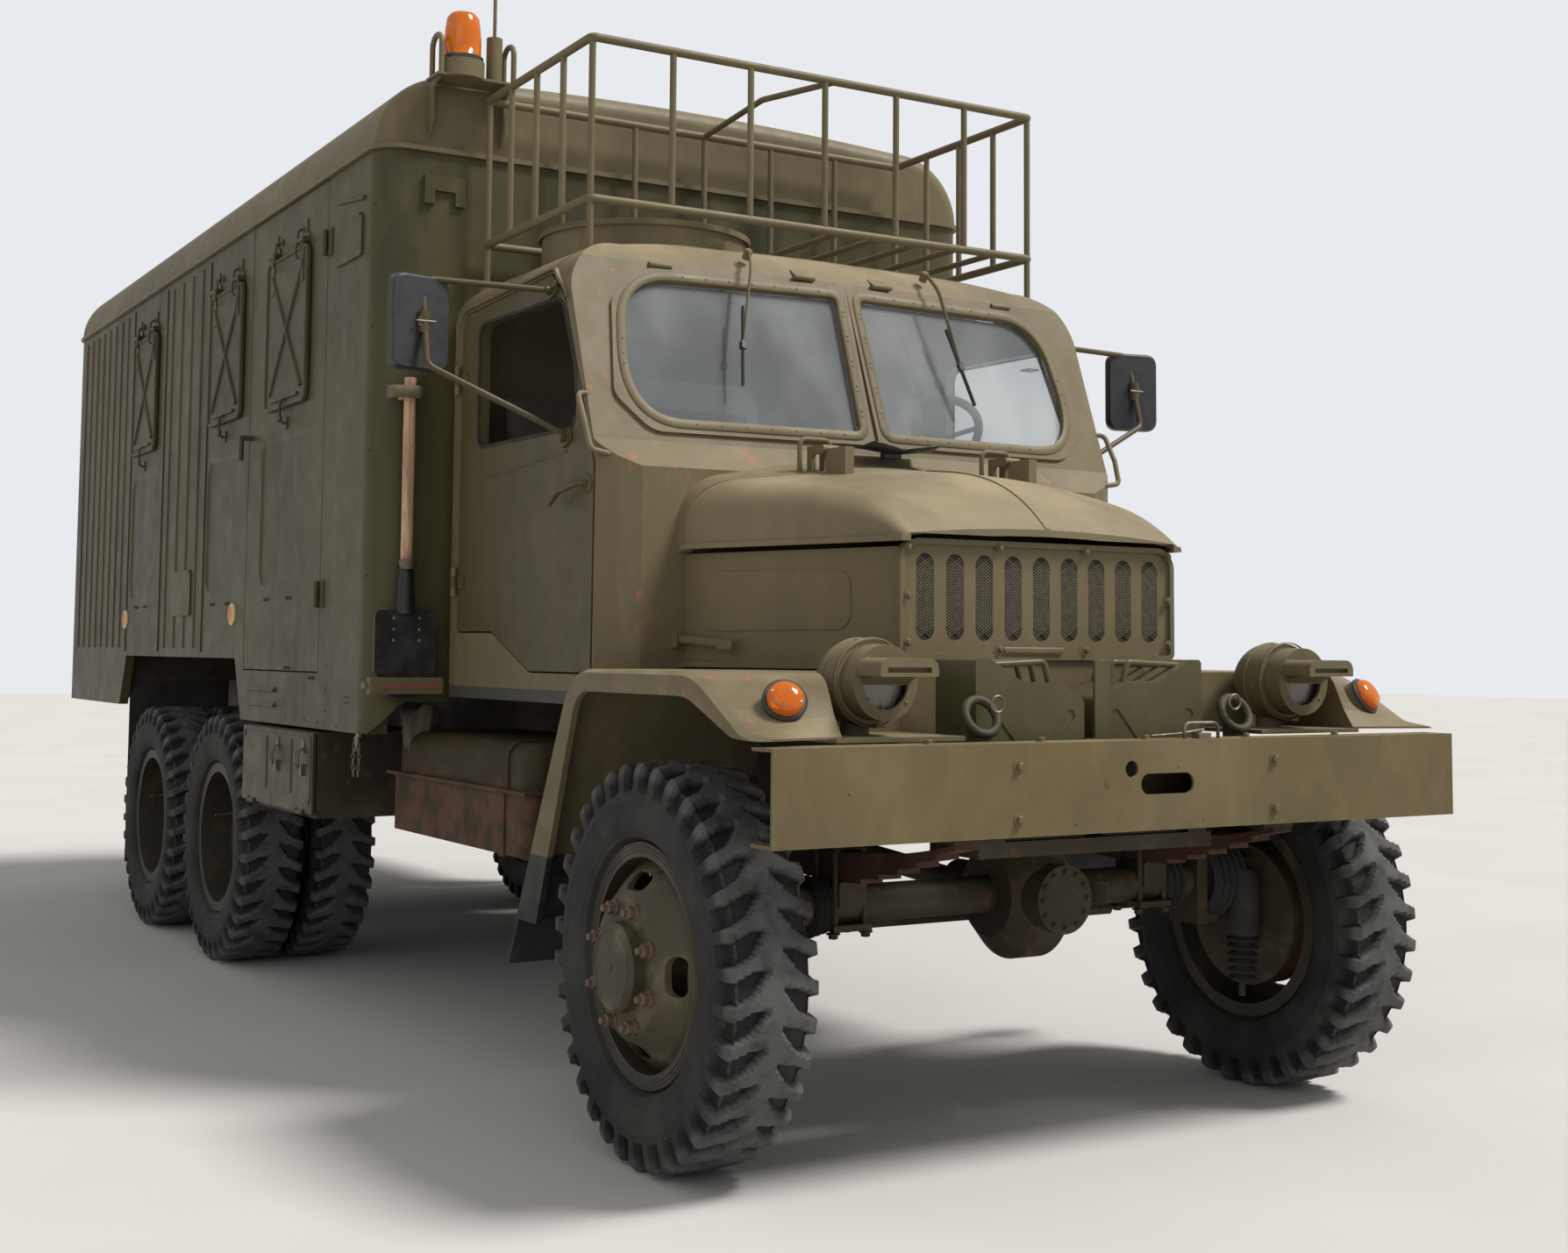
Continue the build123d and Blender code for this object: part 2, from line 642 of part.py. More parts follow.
def rear_axle(place):
    """Rear beam with banjo and a fixed reduction case at each end."""
    x = ahead(place)
    case_y = REAR_MID_HALF_TRACK - 235 - 7
    axle = y_cylinder(x, -case_y + 40, case_y - 40, TUBE_Z, AXLE_TUBE_RADIUS)
    axle += differential(x, DIFF_Y)
    for side in (-1, 1):
        face = span(side, case_y - 95, case_y)
        axle += block(x - 66, x + 66, face[0], face[1], AXLE_Z - 40, TUBE_Z + 66)
        axle += y_cylinder(x, face[0], face[1], AXLE_Z, 92)
        axle += y_cylinder(x, side * case_y, side * (case_y + 6.5), AXLE_Z, 60)
        axle += block(x - 60, x + 60, side * SPRING_Y - 40, side * SPRING_Y + 40, TUBE_Z, TUBE_Z + SPRING_PAD)
    return axle


def leaf_pack(x, y, z_end, z_middle, half_span, leaves):
    """Stack of curved leaves, longest on the side that the ends point to."""
    rise = z_end - z_middle
    radius = (half_span ** 2 + rise ** 2) / (2 * abs(rise))
    up = 1 if rise > 0 else -1
    centre = z_middle + up * radius
    pack = None
    for index in range(leaves):
        near = radius + index * LEAF
        far = near + LEAF
        reach = half_span * (1 - index / (leaves + 1.0))
        swing = math.asin(min(0.95, reach / radius))

        def spot(r, angle):
            return (x + r * math.sin(angle), centre - up * r * math.cos(angle))

        face = make_face([
            ThreePointArc(spot(near, -swing), spot(near, 0), spot(near, swing)),
            Line(spot(near, swing), spot(far, swing)),
            ThreePointArc(spot(far, swing), spot(far, 0), spot(far, -swing)),
            Line(spot(far, -swing), spot(near, -swing)),
        ])
        leaf = from_side(face, y - SPRING_WIDTH / 2, y + SPRING_WIDTH / 2)
        pack = leaf if pack is None else pack + leaf
    return pack


def leaf_springs():
    """Front packs on the axle pads, rear packs across both rear axles."""
    solids = []
    for side in (-1, 1):
        y = side * SPRING_Y
        seat = TUBE_Z + SPRING_PAD + SEAT_GAP
        top = seat + FRONT_SPRING_LEAVES * LEAF
        solids.append(leaf_pack(ahead(FRONT_SPRING_MIDDLE), y, top + FRONT_SPRING_RISE, top,
                                FRONT_SPRING_HALF, FRONT_SPRING_LEAVES))
        solids.append(leaf_pack(ahead(BOGIE), y, seat, seat + REAR_SPRING_DROP,
                                BOGIE_SPREAD / 2 + 52, REAR_SPRING_LEAVES))
    return Compound(solids)


# Chassis
def shackle(y):
    """Towing ring that lies back on the frame's horn."""
    x, z = ahead(SHACKLE_AT[0]), SHACKLE_AT[1]
    ring = Plane(origin=(x, y, z), x_dir=(0, 1, 0), z_dir=(0.9, 0, 0.44)) * Torus(44, 11)
    ear = block(x - 30, x + 20, y - 16, y + 16, RAIL_TOP, z - 28)
    return ring + ear


def can_tray():
    """Shallow tray that hangs from the front cross member."""
    x0, x1 = ahead(CAN_REAR) - 12, ahead(CAN_FRONT) + 22
    y0, y1 = TRAY_SPAN
    plate = TRAY_PLATE
    tray = block(x0, x1, y0, y1, CAN_FLOOR - plate, CAN_FLOOR)
    for edge in (x0, x1 - plate):
        tray += block(edge, edge + plate, y0, y1, CAN_FLOOR - plate, CAN_FLOOR + TRAY_LIP)
    for edge in (y0, y1 - plate):
        tray += block(x0, x1, edge, edge + plate, CAN_FLOOR - plate, CAN_FLOOR + TRAY_LIP)
    for y in (y0 + 16, y1 - 76):
        tray += block(x1 - plate, x1, y, y + 60, CAN_FLOOR, RAIL_BOTTOM + 25)
    return tray


def chassis_frame():
    """Two channel rails with cross members, spring hangers and bogie bracket."""
    front, rear = ahead(FRONT_OVERHANG - BUMPER_PLATE), ahead(FRAME_END)
    frame = None
    for side in (-1, 1):
        web = span(side, RAIL_OUTER_Y, RAIL_OUTER_Y - RAIL_PLATE)
        rail = block(rear, front, web[0], web[1], RAIL_BOTTOM, RAIL_TOP)
        flange = span(side, RAIL_OUTER_Y, RAIL_INNER_Y)
        for low in (RAIL_BOTTOM, RAIL_TOP - RAIL_PLATE):
            rail += block(rear, front, flange[0], flange[1], low, low + RAIL_PLATE)
        hang = span(side, RAIL_OUTER_Y - 4, SPRING_Y + 36)
        seat = TUBE_Z + SPRING_PAD + SEAT_GAP
        eye = seat + SEAT_GAP + FRONT_SPRING_LEAVES * LEAF + FRONT_SPRING_RISE
        for end in (-1, 1):
            hanger = ahead(FRONT_SPRING_MIDDLE + end * (FRONT_SPRING_HALF - 22))
            rail += block(hanger - 24, hanger + 24, hang[0], hang[1], eye, RAIL_BOTTOM + 70)
        mount = span(side, RAIL_OUTER_Y - 4, ENGINE_HALF + SEAT_GAP)
        for d in ENGINE_MOUNTS:
            rail += block(ahead(d) - 30, ahead(d) + 30, mount[0], mount[1], 850, 900)
        case = span(side, RAIL_OUTER_Y - 4, (TRANSFER_LEFT if side > 0 else TRANSFER_RIGHT) + SEAT_GAP)
        rail += block(ahead(-2130), ahead(-2060), case[0], case[1], 880, 940)
        bogie_top = seat + REAR_SPRING_DROP + REAR_SPRING_LEAVES * LEAF + SEAT_GAP
        rail += block(ahead(BOGIE) - 90, ahead(BOGIE) + 90, hang[0], hang[1], bogie_top, RAIL_TOP - 20)
        rail += shackle(side * SHACKLE_Y)
        frame = rail if frame is None else frame + rail
    for d, half in CROSS_MEMBERS:
        frame += block(ahead(d) - half, ahead(d) + half, -RAIL_OUTER_Y + 4, RAIL_OUTER_Y - 4,
                       RAIL_BOTTOM + 20, RAIL_TOP - 20)
    frame -= rod((ahead(-1310), 0, SHAFT_Z), (ahead(-1900), 0, SHAFT_Z), SHAFT_RADIUS + 12)
    frame -= block(ahead(CAN_REAR) - 8, ahead(CAN_FRONT) + 6, -CAN_POCKET_HALF, CAN_POCKET_HALF,
                   RAIL_BOTTOM - 1, RAIL_TOP + 1)
    hook = rod((ahead(HOOK_X), 0, HOOK_Z), (ahead(HOOK_X - 230), 0, HOOK_Z), 26)
    eye_plane = Plane(origin=(ahead(HOOK_X - 260), 0, HOOK_Z), x_dir=(1, 0, 0), z_dir=(0, 1, 0))
    return frame + can_tray() + hook + eye_plane * Torus(42, 16)


def front_bumper():
    """Folded channel, open to the rear, with a crank hole and a slot."""
    face = ahead(FRONT_OVERHANG)
    back = face - BUMPER_DEPTH
    plate = BUMPER_PLATE
    body = block(face - plate, face, -BUMPER_HALF, BUMPER_HALF, BUMPER_LOW, BUMPER_HIGH)
    for low in (BUMPER_LOW, BUMPER_HIGH - plate):
        body += block(back, face, -BUMPER_HALF, BUMPER_HALF, low, low + plate)
    for side in (-1, 1):
        notch = span(side, SPRING_Y + 40, RAIL_INNER_Y - 1)
        body -= block(back - 1, face - plate, notch[0], notch[1], BUMPER_LOW - 1, RAIL_TOP + 1)
    hole = Plane.YZ * Pos(*CRANK_HOLE) * Circle(CRANK_HOLE_RADIUS)
    slot = Plane.YZ * Pos(*BUMPER_SLOT) * SlotOverall(168, 50)
    for cut in (hole, slot):
        body -= extrude(Pos(face - plate - 5, 0, 0) * cut, plate + 10)
    return body


def engine_block():
    """The engine as one plain block at its real place and size."""
    return block(ahead(ENGINE_BACK), ahead(60), -ENGINE_HALF, ENGINE_HALF, 830, 1360)


def driveline():
    """Gearbox, transfer case and the shafts between them and the axles."""
    box = block(ahead(GEARBOX_BACK), ahead(ENGINE_BACK - SEAT_GAP), -150, 150, 845, 1055)
    case = block(ahead(-2280), ahead(TRANSFER_FRONT), -TRANSFER_RIGHT, TRANSFER_LEFT, 620, 985)
    line = box + case
    near, far = ahead(GEARBOX_BACK + 10), ahead(TRANSFER_FRONT - 10)
    line += rod((near, 0, SHAFT_Z), (far, 0, SHAFT_Z), SHAFT_RADIUS)
    nose, tail = -DIFF_NOSE_REAR, -WHEELBASE + DIFF_NOSE_FRONT
    line += rod((ahead(TRANSFER_FRONT - 10), DIFF_Y, 700), (ahead(nose - 1), DIFF_Y, TUBE_Z), 32)
    line += rod((ahead(-2270), DIFF_Y, 700), (ahead(tail + 1), DIFF_Y, TUBE_Z), 32)
    line -= block(ahead(nose - 0.4), ahead(0), -100, 200, 500, 700)
    line -= block(ahead(tail - 200), ahead(tail + 0.4), -100, 200, 500, 700)
    back = -WHEELBASE - DIFF_NOSE_REAR - 0.4
    fore = -WHEELBASE - BOGIE_SPREAD + DIFF_NOSE_FRONT + 0.4
    last = rod((ahead(back), DIFF_Y, TUBE_Z), (ahead(fore), DIFF_Y, TUBE_Z), 32)
    return Compound(line.solids() + last.solids())


# Cab
def cab_volume(inset):
    """The cab's outer form, or its hollow when inset by the wall thickness."""
    x0, x1 = ahead(CAB_REAR) + inset, ahead(CAB_FRONT) - inset
    half = CAB_HALF - inset
    foot = (ahead(SCREEN_FOOT[0]) - inset, SCREEN_FOOT[1])
    head = (ahead(SCREEN_HEAD[0]) - inset, SCREEN_HEAD[1])
    crown = CAB_CROWN - inset
    low = CAB_BOTTOM if inset == 0 else CAB_BOTTOM + CAB_WALL
    brow = (head[0] - 190, crown - 12)
    side_face = make_face([
        Line((x0, low), (x1, low)),
        Line((x1, low), (x1, BELT_Z)),
        Line((x1, BELT_Z), foot),
        Line(foot, head),
        ThreePointArc(head, (head[0] - 60, crown - 62), brow),
        ThreePointArc(brow, (head[0] - 430, crown), (x0 + 110, crown - 55)),
        ThreePointArc((x0 + 110, crown - 55), (x0 + 28, crown - 95), (x0, crown - 190)),
        Line((x0, crown - 190), (x0, low)),
    ])
    hull = from_side(side_face, -half, half)
    slope = (brow[0] - 1500, brow[1] + 212)
    front_side = make_face([
        Line((slope[0], low), (x1, low)),
        Line((x1, low), (x1, BELT_Z)),
        Line((x1, BELT_Z), foot),
        Line(foot, head),
        ThreePointArc(head, (head[0] - 60, crown - 62), brow),
        Line(brow, slope),
        Line(slope, (slope[0], low)),
    ])
    front_form = from_side(front_side, -1200, 1200)
    swept = None
    for side in (-1, 1):
        part = Pos(x1, 0, 0) * Rot(0, 0, side * SCREEN_SWEEP) * Pos(-x1, 0, 0) * front_form
        near = span(side, 0, 1000)
        part &= block(x0 - 50, x1 + 50, near[0], near[1], low - 10, crown + 250)
        swept = part if swept is None else swept + part
    hull &= swept
    roof = max(20.0, 190 - inset)
    shoulder = crown - 62
    front_face = make_face([
        Line((-half, low), (half, low)),
        Line((half, low), (half, crown - 240)),
        ThreePointArc((half, crown - 240), (half - 52, crown - 112), (half - roof, shoulder)),
        ThreePointArc((half - roof, shoulder), (0, crown), (-half + roof, shoulder)),
        ThreePointArc((-half + roof, shoulder), (-half + 52, crown - 112), (-half, crown - 240)),
        Line((-half, crown - 240), (-half, low)),
    ])
    arch = from_front(front_face, x0 - 50, x1 + 50)
    corners = [
        (x0, -half), (x1 - 100, -half), (x1 - 60, -half + 50), (x1, -half + 190),
        (x1, half - 190), (x1 - 60, half - 50), (x1 - 100, half), (x0, half),
    ]
    rear, turn = max(8.0, 32 - inset), max(20.0, 70 - inset)
    plan = outline(corners, [rear, 30, turn, 90, 90, turn, 30, rear])
    return hull & arch & from_above(plan, low, crown + 20)


def screen_plane(side):
    """Plane on the windscreen's face: X across towards the side, Y up the slope."""
    sweep_angle = math.radians(SCREEN_SWEEP)
    slope = math.radians(SCREEN_SLOPE)
    level = math.cos(slope)
    across = Vector(-math.sin(sweep_angle), side * math.cos(sweep_angle), 0)
    normal = Vector(level * math.cos(sweep_angle), side * level * math.sin(sweep_angle), math.sin(slope))
    foot = (ahead(SCREEN_FOOT[0]), 0, SCREEN_FOOT[1])
    return Plane(origin=foot, x_dir=across, z_dir=normal)


def pane_face(grow):
    """Windscreen pane outline in its own plane, grown by a border."""
    points = [
        (48.0 - grow, 66.0 - grow), (728.0, 66.0 - grow), (790.0 + grow, 135.0),
        (758.0 + grow, 440.0), (690.0, 514.0 + grow), (48.0 - grow, 524.0 + grow),
    ]
    return outline(points, [12.0, 90.0, 60.0, 60.0, 90.0, 12.0])


def screen_cut(grow, low, high):
    """Both windscreen halves cut through between two depths from the face."""
    left = Location(screen_plane(1)) * extrude(Plane.XY.offset(low) * pane_face(grow), high - low)
    return left + other_side(left)


def door_prism(grow, side):
    """Door outline as a cutter through one side of the cab."""
    face = outline(shifted(DOOR_OUTLINE), DOOR_RADII)
    if grow:
        face = offset(face, grow)
    low, high = span(side, DOOR_INNER_Y - grow, 1000)
    return from_side(face, low, high)


def door_opening(side):
    """Hole for a cab door, with more room at the edge that swings past the pillar."""
    hole = door_prism(DOOR_GAP, side)
    return hole + Pos(SWING_GAP - DOOR_GAP, 0, 0) * hole


def mirror_arm(side):
    """Bent tube on two clamps with a rounded rear-view head."""
    y0 = CAB_HALF - 6
    top, low = (ahead(-905), 2248.0), (ahead(-790), 1812.0)
    out_top, out_low = (ahead(-956), 1281.0, 2252.0), (ahead(-893), 1285.0, 2000.0)
    arm = tube([(top[0], y0 - 20, top[1]), out_top, out_low, (low[0], y0 - 8, low[1])], 9.0, 34.0)
    head_at = Plane(origin=(ahead(-948), 1292, 2124), x_dir=(0.25, 1, 0), z_dir=(1, -0.25, 0))
    head = extrude(RectangleRounded(178, 262, 30), 15, both=True)
    head = chamfer(head.edges().group_by(Axis.Z)[-1], 10)
    clamp = rod((ahead(-924), 1284, 2094), (ahead(-924), 1284, 2154), 16)
    piece = arm + head_at * head + clamp
    return piece if side > 0 else other_side(piece)


def cab_hinge(side, z):
    axis = (ahead(CAB_HINGE_X), CAB_HALF + HINGE_OUT, z)
    fixed, moving = hinge(axis, (1, 0, 0), (0, 0, 1))
    return (fixed, moving) if side > 0 else (other_side(fixed), other_side(moving))


def cab_door(side, shell):
    """Rear-hinged door cut from the cab's own wall, with handle and mirror."""
    door = shell & door_prism(0, side)
    window = outline(shifted(DOOR_WINDOW), DOOR_WINDOW_RADII)
    low, high = span(side, 500, 1000)
    door -= from_side(window, low, high)
    for z in CAB_HINGE_Z:
        door += cab_hinge(side, z)[1]
    grip = [(ahead(d), y, z) for d, y, z in DOOR_GRIP]
    pull = tube(grip, 9.0, 20.0)
    door += pull if side > 0 else other_side(pull)
    return door + mirror_arm(side)


def drip_rail(side):
    """Gutter strip over a cab door, following the cab's own side."""
    face = outline(shifted(DOOR_OUTLINE), DOOR_RADII)
    ring = offset(face, DRIP_OFFSET + DRIP_WIDTH) - offset(face, DRIP_OFFSET)
    strip = from_side(ring, 600, 1000) & block(ahead(CAB_REAR), ahead(-700), 600, 1000, 2215, 2600)
    strip = (cab_volume(-DRIP_HEIGHT) & strip) - cab_volume(CAB_WALL)
    return strip if side > 0 else other_side(strip)


def pillar_handle(side):
    """Grab handle round the foot of the front pillar."""
    grip = tube([(ahead(d), y, z) for d, y, z in PILLAR_GRIP], 8.0, 20.0)
    grip -= cab_volume(-SEAT_GAP) & block(ahead(-900), ahead(0), 0, 1000, 0, COWL_TOP + SEAT_GAP)
    return grip if side > 0 else other_side(grip)


def cab_roof_ring():
    """Round hatch coaming on the cab roof, with two ears for the lid's hinge."""
    x, y = ahead(HATCH_AT[0]), HATCH_AT[1]
    ring = post(x, y, HATCH_RING_LOW, HATCH_RIM, HATCH_R)
    ring -= cab_volume(CAB_WALL)
    for side in (-1, 1):
        low, high = sorted((y + side * EAR_START, y + side * EAR_END))
        ring += y_cylinder(hatch_axis()[0], low, high, hatch_axis()[1], HINGE_R)
        ring += block(hatch_axis()[0] - HINGE_R, hatch_axis()[0] + HINGE_R, low, high, 2400, hatch_axis()[1])
        ring += block(hatch_axis()[0] - HINGE_R, x - HATCH_R + 20, low, high, 2400, HATCH_RIM - 40)
    ring -= cab_volume(CAB_WALL)
    return ring - post(x, y, HATCH_RING_LOW - 10, HATCH_RIM + 100, HATCH_R - HATCH_WALL)


def hatch_axis():
    """X and Z of the hatch hinge."""
    return ahead(HATCH_AT[0]) - HATCH_R - HATCH_HINGE_BACK, HATCH_RIM + HATCH_HINGE_RISE


def hatch_lid():
    """Domed lid with a turned-down lip, hinged behind the coaming."""
    x, y = ahead(HATCH_AT[0]), HATCH_AT[1]
    seat = HATCH_RIM + SEAT_GAP
    wide = HATCH_R + HATCH_OVERHANG
    section = make_face([
        Line((0, seat), (wide - 6, seat)),
        Line((wide - 6, seat), (wide - 6, seat - HATCH_LIP)),
        Line((wide - 6, seat - HATCH_LIP), (wide, seat - HATCH_LIP)),
        Line((wide, seat - HATCH_LIP), (wide, seat + 6)),
        ThreePointArc((wide, seat + 6), (wide * 0.55, seat + HATCH_CROWN * 0.72), (0, seat + HATCH_CROWN)),
        Line((0, seat + HATCH_CROWN), (0, seat)),
    ])
    lid = Pos(x, y, 0) * revolve(Plane.XZ * section, Axis.Z)
    lid -= block(x - wide - 10, x - 180, y - wide, y + wide, seat - HATCH_LIP - 5, seat)
    at, height = hatch_axis()
    lid += y_cylinder(at, y - EAR_START + 0.5, y + EAR_START - 0.5, height, HINGE_R)
    lid += block(at, x - HATCH_R + 60, y - EAR_START + 0.5, y + EAR_START - 0.5, seat, seat + 7)
    return lid


def seam_drum(shift):
    """Upright drum behind the curved seam between bonnet and scuttle."""
    middle, side = ahead(SEAM_MIDDLE) + shift, ahead(SEAM_SIDE) + shift
    depth = middle - side
    radius = (SEAM_HALF ** 2 + depth ** 2) / (2 * depth)
    return Pos(middle - radius, 0, 1500) * Cylinder(radius, 900)


def nose_volume(inset):
    """Bonnet form lofted through the sections, or its hollow when inset."""
    faces = []
    for d, half, side_top, crown, radius in NOSE_SECTIONS:
        half, side_top, crown = half - inset, side_top - inset, crown - inset
        face = make_face([
            Line((-half, NOSE_LOW), (half, NOSE_LOW)),
            Line((half, NOSE_LOW), (half, side_top)),
            ThreePointArc((half, side_top), (0, crown), (-half, side_top)),
            Line((-half, side_top), (-half, NOSE_LOW)),
        ])
        top = face.vertices().filter_by(lambda v: v.Y > NOSE_LOW + 10)
        face = fillet(top, max(8.0, radius - inset))
        faces.append(Plane.YZ.offset(ahead(d)) * face)
    return loft(faces)


def bonnet_sheet():
    """Bonnet sheet ahead of the seam, its edge bead and the crease down its middle."""
    low = HOOD_EDGE + HOOD_GAP
    x0, x1 = ahead(-600), ahead(HOOD_FRONT)
    front_cut = block(x1 - HOOD_SKIN, x1 + 5, -430, 430, NOSE_LOW - 1, 1516)
    inner = nose_volume(HOOD_SKIN)
    drum = seam_drum(HOOD_GAP)
    sheet = (nose_volume(0) - drum) & block(x0, x1, -900, 900, low, 1900)
    bead = (nose_volume(-HOOD_BEAD) - drum) & block(x0, x1, -900, 900, low, low + 14)
    crease = (nose_volume(-HOOD_RIDGE) - drum) & block(x0, x1, -7, 7, low, 1900)
    return (sheet - inner) + (bead - inner) + (crease - inner) - front_cut


def cowl_sheet():
    """Scuttle top behind the seam with the bonnet's hinge ears and two grab loops."""
    cowl = nose_volume(0) & block(ahead(-700), ahead(0), -1000, 1000, HOOD_EDGE, COWL_TOP)
    cowl = cowl & seam_drum(0)
    back, low = ahead(HOOD_HINGE_X) - 78, HOOD_HINGE_Z - 88
    for side in (-1, 1):
        for edge in (-1, 1):
            near, far = span(edge, 14.5, 26)
            y0, y1 = side * HOOD_HINGE_Y + near, side * HOOD_HINGE_Y + far
            cowl += y_cylinder(ahead(HOOD_HINGE_X), y0, y1, HOOD_HINGE_Z, 12)
            cowl += block(back, ahead(HOOD_HINGE_X), y0, y1, HOOD_HINGE_Z - 12, HOOD_HINGE_Z + 12)
            cowl += block(back, back + 28, y0, y1, low, HOOD_HINGE_Z)
        near, far = span(side, HOOD_HINGE_Y - 50, HOOD_HINGE_Y + 50)
        loop = [(back, near, low), (back, near, 1812), (back, far, 1812), (back, far, low)]
        cowl += tube(loop, 7.0, 20.0)
    return cowl - nose_volume(HOOD_SKIN)


def hood_lid():
    """Bonnet lid with its two hinge arms."""
    lid = bonnet_sheet()
    x = ahead(HOOD_HINGE_X)
    for side in (-1, 1):
        y = side * HOOD_HINGE_Y
        lid += block(x + 2, x + 102, y - 14, y + 14, 1700, HOOD_HINGE_Z)
        lid += y_cylinder(x, y - 14, y + 14, HOOD_HINGE_Z, 12)
    return lid


def hood_sides():
    """Fixed side panels of the bonnet with a raised field and a foot ledge."""
    hollow = nose_volume(HOOD_SIDE_INSET + HOOD_SIDE_SKIN)
    x0, x1 = ahead(-600), ahead(GRILLE_X) - GRILLE_PLATE - SEAT_GAP
    ring = nose_volume(HOOD_SIDE_INSET) & block(x0, x1, -900, 900, NOSE_LOW, HOOD_EDGE - 6)
    ledge = nose_volume(HOOD_SIDE_INSET - LEDGE_PROUD) & block(x0, x1, -900, 900, NOSE_LOW, LEDGE_HIGH)
    field = outline(shifted(SIDE_PRESSING), 40.0)
    field = nose_volume(HOOD_SIDE_INSET - FIELD_PROUD) & from_side(field, -900, 900)
    ring = (ring - hollow) + (ledge - hollow) + (field - hollow)
    ring -= block(ahead(-600), ahead(GRILLE_X), -300, 300, NOSE_LOW - 5, HOOD_EDGE)
    return Compound((ring - cab_volume(-SEAT_GAP)).solids())


def grille():
    """Front panel with a row of tall round-ended slots inside a rolled border."""
    front = ahead(GRILLE_X)
    back = front - GRILLE_PLATE
    half = GRILLE_HALF
    corners = [(-half, GRILLE_LOW), (half, GRILLE_LOW), (half, GRILLE_HIGH), (-half, GRILLE_HIGH)]
    face = outline(corners, [8, 8, 60, 60])
    panel = from_front(face, back, front)
    low = GRILLE_LOW + 22
    roll = outline([(-half, low), (half, low), (half, GRILLE_HIGH), (-half, GRILLE_HIGH)], [20, 20, 60, 60])
    roll -= outline([
        (-half + LIP_WIDE, low + LIP_WIDE), (half - LIP_WIDE, low + LIP_WIDE),
        (half - LIP_WIDE, GRILLE_HIGH - LIP_WIDE), (-half + LIP_WIDE, GRILLE_HIGH - LIP_WIDE),
    ], [8, 8, 46, 46])
    panel += from_front(roll, front - 1, front + GRILLE_LIP)
    panel += block(back, front, -RAIL_OUTER_Y, RAIL_OUTER_Y, RAIL_TOP + SEAT_GAP, GRILLE_LOW + 5)
    for index in range(GRILLE_SLOTS):
        y = (index - (GRILLE_SLOTS - 1) / 2) * GRILLE_PITCH
        slot = Pos(y, SLOT_Z) * SlotOverall(SLOT_TALL, SLOT_WIDE, rotation=90)
        panel -= from_front(slot, front - SLOT_DEEP, front + 1)
    return panel


# Front fenders
def drawn_in(points, amount):
    """Corners of a clockwise outline moved inwards by an even distance."""
    moved = []
    for index, here in enumerate(points):
        before, after = points[index - 1], points[(index + 1) % len(points)]
        a = Vector(here[0] - before[0], here[1] - before[1]).normalized()
        b = Vector(after[0] - here[0], after[1] - here[1]).normalized()
        scale = amount / (1 + a.dot(b))
        moved.append((here[0] + (a.Y + b.Y) * scale, here[1] - (a.X + b.X) * scale))
    return moved


def fender_section(y, share, lowered, inset):
    """One side-view section of the left fender between its inner and outer line."""
    points, bends = [], []
    for x_out, z_out, bend_out, x_in, z_in, bend_in in FENDER_CORNERS:
        z = z_in + (z_out - z_in) * share
        open_end = FENDER_OPEN if inset and z < FENDER_FRONT_LOW + 1 else 0.0
        down = lowered if z > FENDER_FRONT_LOW - 1 else 0.0
        points.append((ahead(x_in + (x_out - x_in) * share), z - down - open_end))
        bends.append(bend_in + (bend_out - bend_in) * share)
    if inset:
        points = drawn_in(points, inset)
        hollow = (1, 2)
        bends = [bend - inset if index in hollow else bend for index, bend in enumerate(bends)]
    return Plane.XZ.offset(-y) * outline(points, bends)


def fender_volume(inset):
    """Volume under one fender's skin (left side), open below when inset."""
    faces = []
    for y, share, lowered in FENDER_STATIONS:
        if share:
            y -= inset
        faces.append(fender_section(y, share, lowered, inset))
    body = loft(faces, ruled=True)
    start = FENDER_IN - (20 if inset else 0)
    body += extrude(fender_section(LAMP_NOTCH_Y, 0.0, 0.0, inset), LAMP_NOTCH_Y - start, dir=(0, -1, 0))
    notch = block(ahead(LAMP_NOTCH_X - inset), ahead(600), 400, LAMP_NOTCH_Y + inset, 300, 1300)
    return body - notch


def on_turn_axis(shape):
    """Put a piece drawn about local Z at the left turn lamp."""
    return Plane(origin=(ahead(TURN_AT[0]), TURN_AT[1], TURN_AT[2]), z_dir=TURN_AXIS) * shape


def front_fender():
    """Left fender: skin open below, mudguard, lamp shelf and turn lamp base."""
    hollow = fender_volume(FENDER_SKIN)
    shell = fender_volume(0) - hollow
    shell -= from_side(outline(shifted(FENDER_MOUTH), FENDER_MOUTH_RADII), 1000, FENDER_OUT + 10)
    shell -= block(ahead(-760), ahead(-400), 440, SPRING_Y + 36 + SEAT_GAP, 400, 900)
    shell -= block(ahead(-330), ahead(600), 440, FENDER_OUT + 10, 300, FENDER_FRONT_LOW)
    low, high = LAMP_SHELF
    notch = ahead(LAMP_NOTCH_X) - FENDER_SKIN
    shell += block(notch, ahead(498), FENDER_IN, LAMP_NOTCH_Y + FENDER_SKIN, low, high)
    return shell + (on_turn_axis(local_drum(TURN_RADIUS, -60, TURN_BASE)) - hollow)


